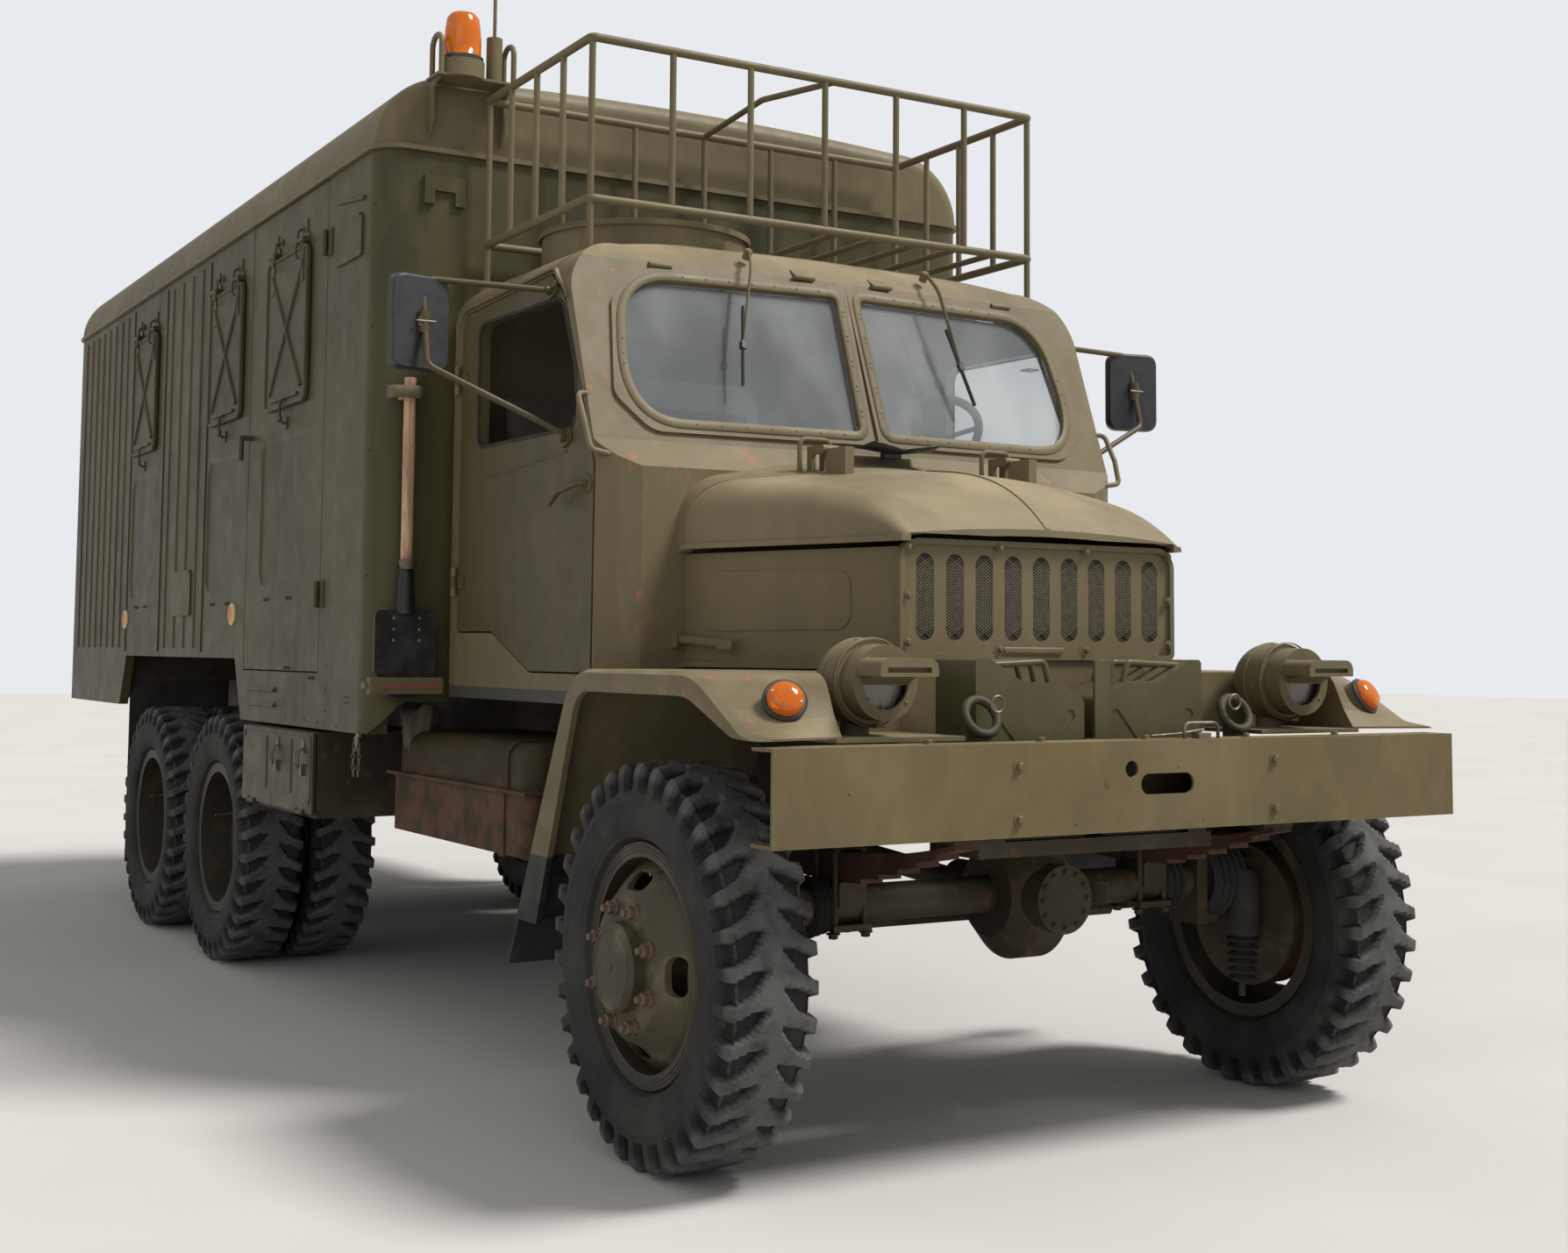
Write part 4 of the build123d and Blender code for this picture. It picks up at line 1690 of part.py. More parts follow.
def cab_nodes():
    """The cab's panels parted along their real seams, with glass and doors."""
    nodes = {}
    cab = cab_volume(0) - cab_volume(CAB_WALL)
    hatch_hole = post(ahead(HATCH_AT[0]), HATCH_AT[1], 2200, 2700, HATCH_R - HATCH_WALL)
    body = cab - screen_cut(0, -80, 40) - hatch_hole
    body -= from_front(rear_window(0), ahead(CAB_REAR) - 5, ahead(CAB_REAR) + CAB_WALL + 5)
    for side in (-1, 1):
        body -= door_opening(side)
    floor_top = CAB_BOTTOM + CAB_WALL
    upper = body - block(ahead(CAB_SPLIT), ahead(0), -1000, 1000, 0, COWL_TOP)
    upper -= block(ahead(-3000), ahead(100), -1000, 1000, 0, floor_top)
    upper += cab_roof_ring()
    upper += screen_cut(FRAME_BORDER, -6, FRAME_PROUD) - screen_cut(0, -20, 20)
    for side in (-1, 1):
        upper += drip_rail(side)
        upper += pillar_handle(side)
        for z in CAB_HINGE_Z:
            upper += cab_hinge(side, z)[0]
    nodes["cab_shell"] = upper
    lower = body & block(ahead(CAB_SPLIT), ahead(0), -1000, 1000, floor_top, COWL_TOP)
    nodes["cab_scuttle"] = lower + (cowl_sheet() - cab_volume(CAB_WALL)) - tunnel_block(0)
    floor = cab_volume(0) & block(ahead(-3000), ahead(0), -1000, 1000, 0, floor_top)
    nodes["cab_floor"] = floor - tunnel_block(0) + engine_tunnel()
    nodes["cab_glass"] = cab_glass()
    for side, name in ((1, "left"), (-1, "right")):
        nodes["cab_door_" + name] = cab_door(side, cab)
    nodes["dashboard"] = dashboard()
    nodes["seats"] = seats()
    nodes["steering_wheel"] = steering_wheel()
    nodes["hatch_lid"] = hatch_lid()
    return nodes


def front_nodes():
    """Bonnet, grille, fenders, lamps and bumper."""
    return {
        "hood": hood_lid(),
        "hood_sides": hood_sides(),
        "grille": grille(),
        "front_fenders": on_both_sides(front_fender()),
        "headlamps": on_both_sides(headlamp()),
        "lamp_lenses": lamp_lenses(),
        "jerrycans": jerrycans(),
        "front_bumper": front_bumper(),
    }


def chassis_nodes():
    """Frame, power train, axles, springs and what hangs from the frame."""
    axles = rear_axle(-WHEELBASE).solids() + rear_axle(-WHEELBASE - BOGIE_SPREAD).solids()
    return {
        "chassis_frame": chassis_frame(),
        "engine_block": engine_block(),
        "driveline": driveline(),
        "front_axle": front_axle(),
        "tie_rod": tie_rod(),
        "rear_axles": Compound(axles),
        "leaf_springs": leaf_springs(),
        "fuel_tank": fuel_tank(),
        "mudflaps": mudflaps(),
    }


def box_nodes():
    """Body panels of the box, what stands on it and what lies under it."""
    ring = wall_ring()
    return {
        "box_floor": box_floor(),
        "underbody": underbody(),
        "box_front_wall": box_front_wall(ring),
        "box_rear_wall": box_rear_wall(ring),
        "box_right_wall": box_side_wall(ring, -1),
        "box_left_wall": box_side_wall(ring, 1),
        "box_roof": box_roof(),
        "box_side_door": box_side_door(ring),
        "locker_door": locker_door(),
        "roof_rack": roof_rack(),
        "beacon_mount": beacon_mount(),
        "shovel": shovel(),
    }


def paired_nodes():
    """Pieces that come once for each side: doors, covers, knuckles and wheels."""
    nodes = {}
    for side, name in ((1, "left"), (-1, "right")):
        nodes["rear_door_" + name] = rear_door(side)
        for window in WINDOWS:
            if side < 0 or window != "front":
                nodes["window_cover_" + name + "_" + window] = window_cover(window, side)
        nodes["knuckle_" + name] = knuckle(side)
        nodes["front_rim_" + name] = on_axle(front_rim(), 0, FRONT_HALF_TRACK, side)
        nodes["front_tyre_" + name] = on_axle(tyre_ring(), 0, FRONT_HALF_TRACK, side)
        for index, axle in ((1, -WHEELBASE), (2, -WHEELBASE - BOGIE_SPREAD)):
            label = name + "_" + str(index)
            nodes["rear_rims_" + label] = on_axle(twin_rims(), axle, REAR_MID_HALF_TRACK, side)
            nodes["rear_tyres_" + label] = on_axle(twin_tyres(), axle, REAR_MID_HALF_TRACK, side)
    return nodes


os.makedirs("parts", exist_ok=True)
for group in (cab_nodes(), front_nodes(), chassis_nodes(), box_nodes(), paired_nodes()):
    for node, shape in group.items():
        export_step(shape, "parts/" + node + ".step")
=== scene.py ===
import json
import math
import bpy
import bmesh
import numpy as np
from mathutils import Matrix, Vector


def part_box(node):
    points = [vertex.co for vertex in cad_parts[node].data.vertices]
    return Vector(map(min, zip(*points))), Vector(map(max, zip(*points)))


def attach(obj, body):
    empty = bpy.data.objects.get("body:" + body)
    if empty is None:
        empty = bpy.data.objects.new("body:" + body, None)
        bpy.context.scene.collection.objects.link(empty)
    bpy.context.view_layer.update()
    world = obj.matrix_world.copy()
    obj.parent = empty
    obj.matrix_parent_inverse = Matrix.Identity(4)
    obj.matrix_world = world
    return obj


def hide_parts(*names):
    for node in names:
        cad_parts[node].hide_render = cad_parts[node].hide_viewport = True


# Looks of a six-wheeled ambulance truck with a box body.
# Metres. +X forward, +Y to the truck's left, +Z up, ground at Z = 0.
# Places are given ahead of the front axle and moved to the frame by at().

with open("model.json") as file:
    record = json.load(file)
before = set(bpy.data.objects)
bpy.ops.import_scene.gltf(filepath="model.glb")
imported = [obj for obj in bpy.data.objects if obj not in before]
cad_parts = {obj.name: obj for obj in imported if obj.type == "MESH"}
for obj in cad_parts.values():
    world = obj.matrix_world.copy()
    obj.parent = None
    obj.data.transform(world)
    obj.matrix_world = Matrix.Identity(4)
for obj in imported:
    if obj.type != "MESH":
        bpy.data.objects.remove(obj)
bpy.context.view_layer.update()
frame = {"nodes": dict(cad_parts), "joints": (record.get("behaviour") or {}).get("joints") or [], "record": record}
nodes = frame["nodes"]
joints = {joint["name"]: joint for joint in frame["joints"]}

# Places read from the frame
ROOF_PROUD = 0.0135
REAR_HINGES_PROUD = 0.0215
FRONT_AXLE, FRONT_TRACK, HUB_Z = Vector(joints["front_wheel_left_spin"]["pos_m"])
REAR_AXLES = [joints[f"rear_wheels_left_{i}_spin"]["pos_m"][0] for i in (1, 2)]
REAR_TRACK = joints["rear_wheels_left_1_spin"]["pos_m"][1]
SIDE_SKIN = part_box("box_roof")[1][1] - ROOF_PROUD
BOX_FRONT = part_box("box_front_wall")[1][0]
BOX_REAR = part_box("box_rear_wall")[0][0] + REAR_HINGES_PROUD
BUMPER_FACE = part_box("front_bumper")[1][0]
GRILLE_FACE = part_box("grille")[1][0]
SIDES = (1, -1)
NAMED_SIDES = ((1, "left"), (-1, "right"))
UP = (0, 0, 1)
AHEAD = (1, 0, 0)


def at(ahead, y, z):
    """Point given by its distance ahead of the front axle."""
    return Vector((FRONT_AXLE + ahead, y, z))


def on_box(side, ahead, z, proud=0.0):
    """Point on a side wall of the box body."""
    return at(ahead, side * (SIDE_SKIN + proud), z)


# Lines of points
def circle(count, radius=1.0):
    turns = [2 * math.pi * i / count for i in range(count)]
    return [(radius * math.cos(a), radius * math.sin(a)) for a in turns]


def oval(centre, across, up, count):
    """Closed path from the two half axes of an ellipse; its last point is its first."""
    line = [Vector(centre) + Vector(across) * c + Vector(up) * s for c, s in circle(count - 1)]
    return line + line[:1]


def curve(start, control, end, steps=5):
    """Bent line that heads from its start to a control point and on to its end."""
    start, control, end = Vector(start), Vector(control), Vector(end)
    shares = [i / steps for i in range(steps + 1)]
    return [start * (1 - t) ** 2 + control * 2 * t * (1 - t) + end * t * t for t in shares]


def bend(path, cut):
    """Round the inner corners of a rigid bar's path."""
    path = [Vector(p) for p in path]
    line = [path[0]]
    for a, b, c in zip(path, path[1:], path[2:]):
        reach = min(cut, (a - b).length / 2.1, (c - b).length / 2.1)
        line += curve(b + (a - b).normalized() * reach, b, b + (c - b).normalized() * reach)
    return line + [path[-1]]


def rounded(width, height, radius, steps=5):
    """Outline of a rectangle with round corners."""
    line = []
    for turn, (sx, sy) in enumerate(((1, 1), (-1, 1), (-1, -1), (1, -1))):
        cx, cy = sx * (width / 2 - radius), sy * (height / 2 - radius)
        for i in range(steps + 1):
            angle = math.pi / 2 * (turn + i / steps)
            line.append((cx + radius * math.cos(angle), cy + radius * math.sin(angle)))
    return line


def grown(line, width):
    """Closed outline moved outwards."""
    out = []
    for i, (x, y) in enumerate(line):
        (ax, ay), (bx, by) = line[i - 1], line[(i + 1) % len(line)]
        dx, dy = bx - ax, by - ay
        size = math.hypot(dx, dy)
        out.append((x + dy / size * width, y - dx / size * width))
    return out


# Shapes: each is a pair of points and faces
def loft(rows):
    """Skin over rows of points that close on themselves, with both ends shut."""
    count = len(rows[0])
    points = [point for row in rows for point in row]
    faces = []
    for j in range(len(rows) - 1):
        for i in range(count):
            k = (i + 1) % count
            faces.append((j * count + i, j * count + k, (j + 1) * count + k, (j + 1) * count + i))
    last = (len(rows) - 1) * count
    faces.append(tuple(reversed(range(count))))
    faces.append(tuple(range(last, last + count)))
    return points, faces


def lathe(profile, count):
    """Turn (radius, height) points about Z."""
    return loft([[(x, y, height) for x, y in circle(count, radius)] for radius, height in profile])


def ring(profile, count):
    """Turn a closed (radius, height) section about Z."""
    points, faces = lathe(profile, count)
    last = (len(profile) - 1) * count
    closing = [(last + i, last + (i + 1) % count, (i + 1) % count, i) for i in range(count)]
    return points, faces[:-2] + closing


def brick(x, y, z):
    """Block of half sizes x, y, z about the origin."""
    points = [(i * x, j * y, k * z) for i in (-1, 1) for j in (-1, 1) for k in (-1, 1)]
    faces = [(0, 1, 3, 2), (4, 6, 7, 5), (0, 4, 5, 1), (2, 3, 7, 6), (0, 2, 6, 4), (1, 5, 7, 3)]
    return points, faces


def plate(outline, thick):
    """Flat piece over an outline in X and Y."""
    return loft([[(x, y, z) for x, y in outline] for z in (0.0, thick)])


def bar(path, radius, count=8, flat=1.0):
    """Round or flattened bar along points."""
    path = [Vector(p) for p in path]
    rows = []
    side = None
    for i, p in enumerate(path):
        along = (path[min(i + 1, len(path) - 1)] - path[max(i - 1, 0)]).normalized()
        if side is None:
            side = Vector(UP) if abs(along.z) < 0.9 else Vector(AHEAD)
        side = (side - along * side.dot(along)).normalized()
        up = along.cross(side)
        rows.append([p + side * x + up * y * flat for x, y in circle(count, radius)])
    return loft(rows)


def grid(rows):
    """Sheet through rows of points."""
    count = len(rows[0])
    points = [p for row in rows for p in row]
    faces = []
    for i in range(len(rows) - 1):
        for k in range(count - 1):
            faces.append((i * count + k, i * count + k + 1, (i + 1) * count + k + 1, (i + 1) * count + k))
    return points, faces


def put(shape, origin, up=UP, forward=None):
    """Move a shape so that its Z points along up and its X roughly along forward."""
    z = Vector(up).normalized()
    if forward is None:
        forward = UP if abs(z.z) < 0.9 else AHEAD
    y = z.cross(Vector(forward)).normalized()
    x = y.cross(z)
    turned = np.array([tuple(p) for p in shape[0]]) @ np.array([x, y, z]) + np.array(origin)
    return turned.tolist(), shape[1]


def block(half, origin, up=UP, forward=None):
    return put(brick(*half), origin, up, forward)


def disc(profile, origin, up=UP, count=24):
    """Turned solid standing on a point."""
    return put(lathe(profile, count), origin, up)


def hoop(profile, origin, up=UP, count=36):
    """Turned ring standing on a point."""
    return put(ring(profile, count), origin, up)


def wire_ring(radius, thick, origin, up, count):
    """Ring of round wire."""
    return hoop([(radius + x, z) for x, z in circle(6, thick)], origin, up, count)


BOLT_HEAD = [(1.0, 0.0), (1.0, 0.95), (0.82, 1.15)]
BOLT_WASHER = [(1.5, -0.1), (1.5, 0.22)]
SCREW_HEAD = [(1.0, -0.2), (1.0, 0.15), (0.75, 0.45), (0.3, 0.58)]


def scaled(profile, size):
    return [(size * radius, size * height) for radius, height in profile]


def bolt(origin, up, size, turn=0.0):
    """Hexagon head on a washer."""
    points, faces = lathe(scaled(BOLT_HEAD, size), 6)
    c, s = math.cos(turn), math.sin(turn)
    head = [(x * c - y * s, x * s + y * c, z) for x, y, z in points]
    return [put((head, faces), origin, up), disc(scaled(BOLT_WASHER, size), origin, up, 16)]


def screw(origin, up, size):
    """Low domed screw or rivet head."""
    return [disc(scaled(SCREW_HEAD, size), origin, up, 10)]


# Looks: name of a material to the material and its slot
LOOKS = {}


def piece(name, shapes, look, body="chassis", bevel=0.0, angle=38):
    """Join shapes into one object that rides on a body."""
    points, faces = [], []
    for shape in shapes:
        base = len(points)
        points.extend(tuple(p) for p in shape[0])
        faces.extend(tuple(base + i for i in face) for face in shape[1])
    mesh = bpy.data.meshes.new(name)
    mesh.from_pydata(points, [], faces)
    work = bmesh.new()
    work.from_mesh(mesh)
    bmesh.ops.recalc_face_normals(work, faces=work.faces)
    work.to_mesh(mesh)
    work.free()
    mesh.shade_smooth()
    mesh.set_sharp_from_angle(angle=math.radians(angle))
    material, slot = LOOKS[look]
    mesh.materials.append(material)
    obj = bpy.data.objects.new(name, mesh)
    bpy.context.scene.collection.objects.link(obj)
    if bevel:
        edge = obj.modifiers.new("edges", "BEVEL")
        edge.width = bevel
        edge.segments = 2
        edge.limit_method = "ANGLE"
    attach(obj, body)
    return obj


# Materials
class Shader:
    """Node tree of one material, written as expressions; color is what was painted so far."""

    def __init__(self, name):
        self.material = bpy.data.materials.new(name)
        self.material.use_nodes = True
        self.tree = self.material.node_tree
        self.main = self.tree.nodes["Principled BSDF"]
        self.coords = self.node("ShaderNodeTexCoord").outputs["Object"]
        self.normal = self.node("ShaderNodeNewGeometry").outputs["Normal"]
        self.color = None

    def node(self, kind, **inputs):
        made = self.tree.nodes.new(kind)
        for key, value in inputs.items():
            self.link(value, made.inputs[key])
        return made

    def link(self, value, socket):
        if isinstance(value, bpy.types.NodeSocket):
            self.tree.links.new(value, socket)
        else:
            socket.default_value = value

    def math(self, kind, a, b=0.0, clamp=False):
        made = self.tree.nodes.new("ShaderNodeMath")
        made.operation = kind
        made.use_clamp = clamp
        self.link(a, made.inputs[0])
        self.link(b, made.inputs[1])
        return made.outputs[0]

    def mul(self, first, *others):
        for other in others:
            first = self.math("MULTIPLY", first, other)
        return first

    def step(self, value, low, high):
        """0 below low, 1 above high, smooth between."""
        made = self.tree.nodes.new("ShaderNodeMapRange")
        made.interpolation_type = "SMOOTHSTEP"
        for socket, v in zip(made.inputs[:5], (value, low, high, 0.0, 1.0)):
            self.link(v, socket)
        return made.outputs[0]

    def noise(self, scale, detail=3.0, stretch=None, offset=(0, 0, 0), rough=0.55):
        vector = self.coords
        if stretch or any(offset):
            factors = stretch or (1, 1, 1)
            place = self.node("ShaderNodeMapping", Vector=vector, Scale=factors, Location=offset)
            vector = place.outputs[0]
        made = self.node("ShaderNodeTexNoise", Vector=vector, Scale=scale, Detail=detail, Roughness=rough)
        return made.outputs["Fac"]

    def cloud(self, scale, low, high, detail=5.0, stretch=None, offset=(0, 0, 0), rough=0.55):
        """Noise pushed to patches: 0 below low, 1 above high."""
        return self.step(self.noise(scale, detail, stretch, offset, rough), low, high)

    def uneven(self, middle, scale, spread):
        """Value that sways about its middle."""
        sway = self.math("SUBTRACT", self.noise(scale, 4.0), 0.5)
        return self.math("ADD", middle, self.mul(sway, spread), clamp=True)

    def axis(self, which, vector=None):
        split = self.node("ShaderNodeSeparateXYZ", Vector=vector or self.coords)
        return split.outputs["XYZ".index(which)]

    def mix(self, share, a, b):
        made = self.tree.nodes.new("ShaderNodeMix")
        made.data_type = "RGBA"
        self.link(share, made.inputs[0])
        for index, value in ((6, a), (7, b)):
            is_color = isinstance(value, tuple)
            self.link((*value, 1.0) if is_color else value, made.inputs[index])
        return made.outputs[2]

    def coat(self, share, color):
        """Paint over what is there."""
        self.color = self.mix(share, self.color, color)

    def edges(self, radius=0.004):
        """How close the surface is to a sharp edge."""
        soft = self.tree.nodes.new("ShaderNodeBevel")
        soft.samples = 4
        soft.inputs["Radius"].default_value = radius
        dot = self.tree.nodes.new("ShaderNodeVectorMath")
        dot.operation = "DOT_PRODUCT"
        self.tree.links.new(soft.outputs[0], dot.inputs[0])
        self.tree.links.new(self.normal, dot.inputs[1])
        return self.step(self.math("SUBTRACT", 1.0, dot.outputs["Value"]), 0.02, 0.35)

    def near(self, spot, radius, soft):
        """1 inside a ball about a point of the frame."""
        gap = self.tree.nodes.new("ShaderNodeVectorMath")
        gap.operation = "DISTANCE"
        self.tree.links.new(self.coords, gap.inputs[0])
        gap.inputs[1].default_value = spot
        return self.step(gap.outputs["Value"], radius + soft, radius)

    def reach(self, axle):
        """Distance of the surface from the wheel axis at an axle."""
        dx = self.math("SUBTRACT", self.axis("X"), axle)
        dz = self.math("SUBTRACT", self.axis("Z"), HUB_Z)
        return self.math("SQRT", self.math("ADD", self.mul(dx, dx), self.mul(dz, dz)))

    def outer(self):
        """Distance of the surface from the nearest wheel axis."""
        nearest = self.reach(FRONT_AXLE)
        for axle in REAR_AXLES:
            nearest = self.math("MINIMUM", nearest, self.reach(axle))
        return nearest

    def bump(self, *parts):
        """Chain of bumps: (height, strength, distance)."""
        normal = None
        for height, strength, distance in parts:
            made = self.node("ShaderNodeBump", Height=height, Strength=strength, Distance=distance)
            if normal is not None:
                self.tree.links.new(normal, made.inputs["Normal"])
            normal = made.outputs[0]
        self.tree.links.new(normal, self.main.inputs["Normal"])

    def finish(self, rough, **constants):
        self.link(self.color, self.main.inputs["Base Color"])
        self.link(rough, self.main.inputs["Roughness"])
        for key, value in constants.items():
            self.main.inputs[key.replace("_", " ")].default_value = value
        return self.material


def tinted(color, gain):
    return tuple(c * gain for c in color)


OLIVE = (0.142, 0.116, 0.062)
OLIVE_DEEP = (0.104, 0.086, 0.046)
DUST = (0.29, 0.235, 0.150)
GRIME = (0.045, 0.038, 0.026)
PRIMER = (0.36, 0.115, 0.075)
RUST = (0.120, 0.052, 0.026)
RUST_BROWN = (0.085, 0.045, 0.028)
RUST_SPOT = (0.090, 0.045, 0.024)
BARE = (0.16, 0.12, 0.085)
RUBBER = (0.017, 0.017, 0.016)


def primer_marks(s, places):
    """Flecks of red primer about given points."""
    for spot, radius in places:
        flecks = s.cloud(24.0, 0.615, 0.66, 5.0, (1, 1, 0.6), (6, 2, 2), 0.68)
        s.coat(s.mul(s.near(spot, radius * 0.35, radius), flecks, 0.6), PRIMER)


def rust_marks(s, places):
    """Small rust spots about given points."""
    for spot, radius in places:
        flecks = s.cloud(60.0, 0.50, 0.60, offset=(2, 6, 2))
        s.coat(s.mul(s.near(spot, radius * 0.4, radius), flecks), RUST_SPOT)


def rust_rise(s, level):
    """Rust that covers the paint below a height, with a ragged border."""
    sway = s.mul(s.math("SUBTRACT", s.noise(7.0, 4.0), 0.5), 0.16)
    below = s.step(s.math("ADD", s.axis("Z"), sway), level + 0.03, level - 0.03)
    share = s.mul(below, s.cloud(9.0, 0.36, 0.60, 6.0), 0.85)
    s.coat(share, s.mix(s.noise(30.0, 4.0), RUST, RUST_BROWN))


def rubber_skirt(s, level):
    """Rubber flap that hangs below a height."""
    flap = s.mix(s.cloud(9.0, 0.40, 0.70), RUBBER, (0.052, 0.049, 0.042))
    s.coat(s.step(s.axis("Z"), level + 0.003, level - 0.003), flap)


def paint(name, base=OLIVE, deep=OLIVE_DEEP, dust=0.5, grime=0.5, chips=0.5, rust_below=None,
          primer_spots=(), rust_spots=(), rubber_below=None, streaks=0.5, rough=0.5, wear=0.5, waves=0.0):
    """Worn military paint: blotches, streaks, dust on top faces that is also a painted highlight on them, grime
    low down, chips and rust.
    """
    s = Shader(name)
    streak = s.mul(s.cloud(5.0, 0.42, 0.68, 4.0, (1, 1, 0.07)), 0.55 * streaks)
    blotch = s.mul(s.cloud(0.9, 0.35, 0.68, 4.0), 0.6)
    s.color = s.mix(s.math("ADD", blotch, streak, clamp=True), base, deep)
    s.coat(s.mul(s.cloud(14.0, 0.48, 0.72, stretch=(1, 1, 0.5)), 0.35), tinted(base, 1.28))
    # Dust on upward faces, which also makes the tops lighter as a painted highlight, as if lit from above; the
    # dust value sets both.
    settled_dust_and_top_light = s.mul(s.step(s.axis("Z", s.normal), 0.35, 0.95), s.cloud(3.2, 0.25, 0.75), dust)
    film = s.mul(s.cloud(2.1, 0.45, 0.75, stretch=(1, 1, 0.35), offset=(7, 3, 1)), 0.30, dust)
    s.coat(s.math("MAXIMUM", settled_dust_and_top_light, film), DUST)
    s.coat(s.mul(s.step(s.axis("Z"), 1.35, 0.55), s.cloud(6.0, 0.38, 0.66), grime), GRIME)
    edge = s.edges()
    s.coat(s.mul(edge, s.cloud(60.0, 0.40, 0.62, 4.0), 0.75 * wear), tinted(base, 1.75))
    patch = s.cloud(2.6, 0.52, 0.62, 3.0, offset=(4, 1, 9))
    flake = s.mul(s.cloud(46.0, 0.70, 0.725, offset=(2, 5, 1)), patch)
    s.coat(s.mul(flake, chips), BARE)
    s.coat(s.mul(edge, s.cloud(21.0, 0.60, 0.66, offset=(3, 3, 3)), chips), RUST)
    primer_marks(s, primer_spots)
    if rust_below is not None:
        rust_rise(s, rust_below)
    rust_marks(s, rust_spots)
    if rubber_below is not None:
        rubber_skirt(s, rubber_below)
    shine = s.math("ADD", s.uneven(rough, 11.0, 0.30), s.mul(settled_dust_and_top_light, 0.3), clamp=True)
    dents = [(s.noise(2.4, 2.0, None, (1, 8, 2)), waves, 0.05)] if waves else []
    s.bump((s.noise(240.0, 3.0), 0.10, 0.002), (flake, 0.15, 0.001), *dents)
    return s.finish(shine, Specular_IOR_Level=0.22)


def rim_paint(name):
    """Dusty dark wheel paint with a rusty drum seen through the hand holes of the front discs."""
    s = Shader(name)
    s.color = s.mix(s.cloud(4.0, 0.35, 0.7), (0.066, 0.055, 0.028), (0.042, 0.036, 0.019))
    s.coat(s.mul(s.cloud(9.0, 0.50, 0.72, 6.0, offset=(3, 1, 2)), 0.30), DUST)
    s.coat(s.mul(s.edges(), s.cloud(40.0, 0.45, 0.65, 4.0), 0.55), (0.20, 0.17, 0.105))
    s.coat(s.cloud(52.0, 0.70, 0.74, offset=(8, 5, 1)), RUST)
    depth = s.math("ABSOLUTE", s.axis("Y"))
    behind = s.mul(s.step(depth, 0.985, 0.975), s.step(depth, 0.905, 0.925))
    drum = s.mul(s.step(s.reach(FRONT_AXLE), 0.207, 0.204), behind)
    s.coat(drum, s.mix(s.noise(12.0, 5.0), (0.27, 0.105, 0.045), (0.13, 0.055, 0.030)))
    s.coat(s.mul(s.step(s.outer(), 0.244, 0.250), s.cloud(7.0, 0.30, 0.50), 0.8), (0.026, 0.023, 0.015))
    s.bump((s.noise(180.0, 3.0), 0.12, 0.002), (s.noise(9.0, 4.0), 0.10, 0.01))
    return s.finish(s.uneven(0.545, 15.0, 0.25), Specular_IOR_Level=0.4)


def tread_wear_and_painted_light(s):
    """Pale worn rubber that is also a painted highlight on the lugs' outer ends, and painted shade in the grooves.
    """
    depth = s.tree.nodes.new("ShaderNodeAttribute")
    depth.attribute_name = "groove"
    # Paler outer ends of the lugs: worn rubber and a painted highlight.
    worn = s.step(s.outer(), TYRE_RADIUS - 0.05, TYRE_RADIUS - 0.02)
    s.coat(s.mul(s.cloud(18.0, 0.15, 0.65), 0.8, worn), (0.105, 0.104, 0.103))
    # Painted shade: near black where the groove share is high, down in the grooves.
    s.coat(s.mul(s.step(depth.outputs["Fac"], 0.25, 0.85), 0.85), (0.009, 0.009, 0.009))


def rubber(name, base=(0.016, 0.016, 0.015), dusty=0.30, tread=False):
    """Aged rubber: grey bloom, pale worn edges and faint stains."""
    s = Shader(name)
    s.color = s.mix(s.cloud(7.0, 0.35, 0.7), base, tinted(base, 1.9))
    # With tread, a painted highlight on the lug tops and painted shade in the grooves.
    if tread:
        tread_wear_and_painted_light(s)
    s.coat(s.mul(s.cloud(3.4, 0.42, 0.72, 6.0, offset=(5, 0, 2)), dusty), (0.085, 0.078, 0.064))
    s.coat(s.mul(s.edges(), s.cloud(70.0, 0.36, 0.62, 4.0), 0.6), (0.13, 0.125, 0.12))
    s.coat(s.mul(s.cloud(26.0, 0.62, 0.70, 6.0, offset=(1, 4, 4)), 0.5), (0.055, 0.050, 0.036))
    s.bump((s.noise(150.0, 5.0), 0.35, 0.003), (s.noise(22.0, 4.0), 0.20, 0.006))
    return s.finish(s.uneven(0.76, 20.0, 0.2), Specular_IOR_Level=0.32)


def chassis_paint(name, base=(0.046, 0.037, 0.019)):
    """Oily, dirty dark paint of the running gear."""
    s = Shader(name)
    s.color = s.mix(s.cloud(3.0, 0.35, 0.68), base, tinted(base, 0.55))
    s.coat(s.mul(s.cloud(5.5, 0.50, 0.74, 6.0, offset=(2, 2, 7)), 0.35), (0.110, 0.088, 0.056))
    s.coat(s.mul(s.cloud(19.0, 0.58, 0.68, 6.0, offset=(9, 2, 3)), 0.6), RUST)
    s.coat(s.mul(s.edges(), s.cloud(50.0, 0.45, 0.65, 4.0), 0.5), tinted(base, 2.2))
    s.bump((s.noise(120.0, 5.0), 0.22, 0.003), (s.noise(16.0, 4.0), 0.12, 0.006))
    return s.finish(s.uneven(0.65, 9.0, 0.3), Specular_IOR_Level=0.35)


def speckled(name, base, other, rough, scale=20.0, bump=0.15, **constants):
    """Two tones of one stuff, with fine grain and worn edges."""
    s = Shader(name)
    s.color = s.mix(s.cloud(scale, 0.36, 0.66), base, other)
    s.coat(s.mul(s.edges(0.003), 0.35), tuple(min(1.0, c * 1.9 + 0.02) for c in base))
    s.bump((s.noise(scale * 9, 4.0), bump, 0.002))
    return s.finish(s.uneven(rough, scale * 1.7, 0.2), **constants)


SOCKET_TOP = 1.480


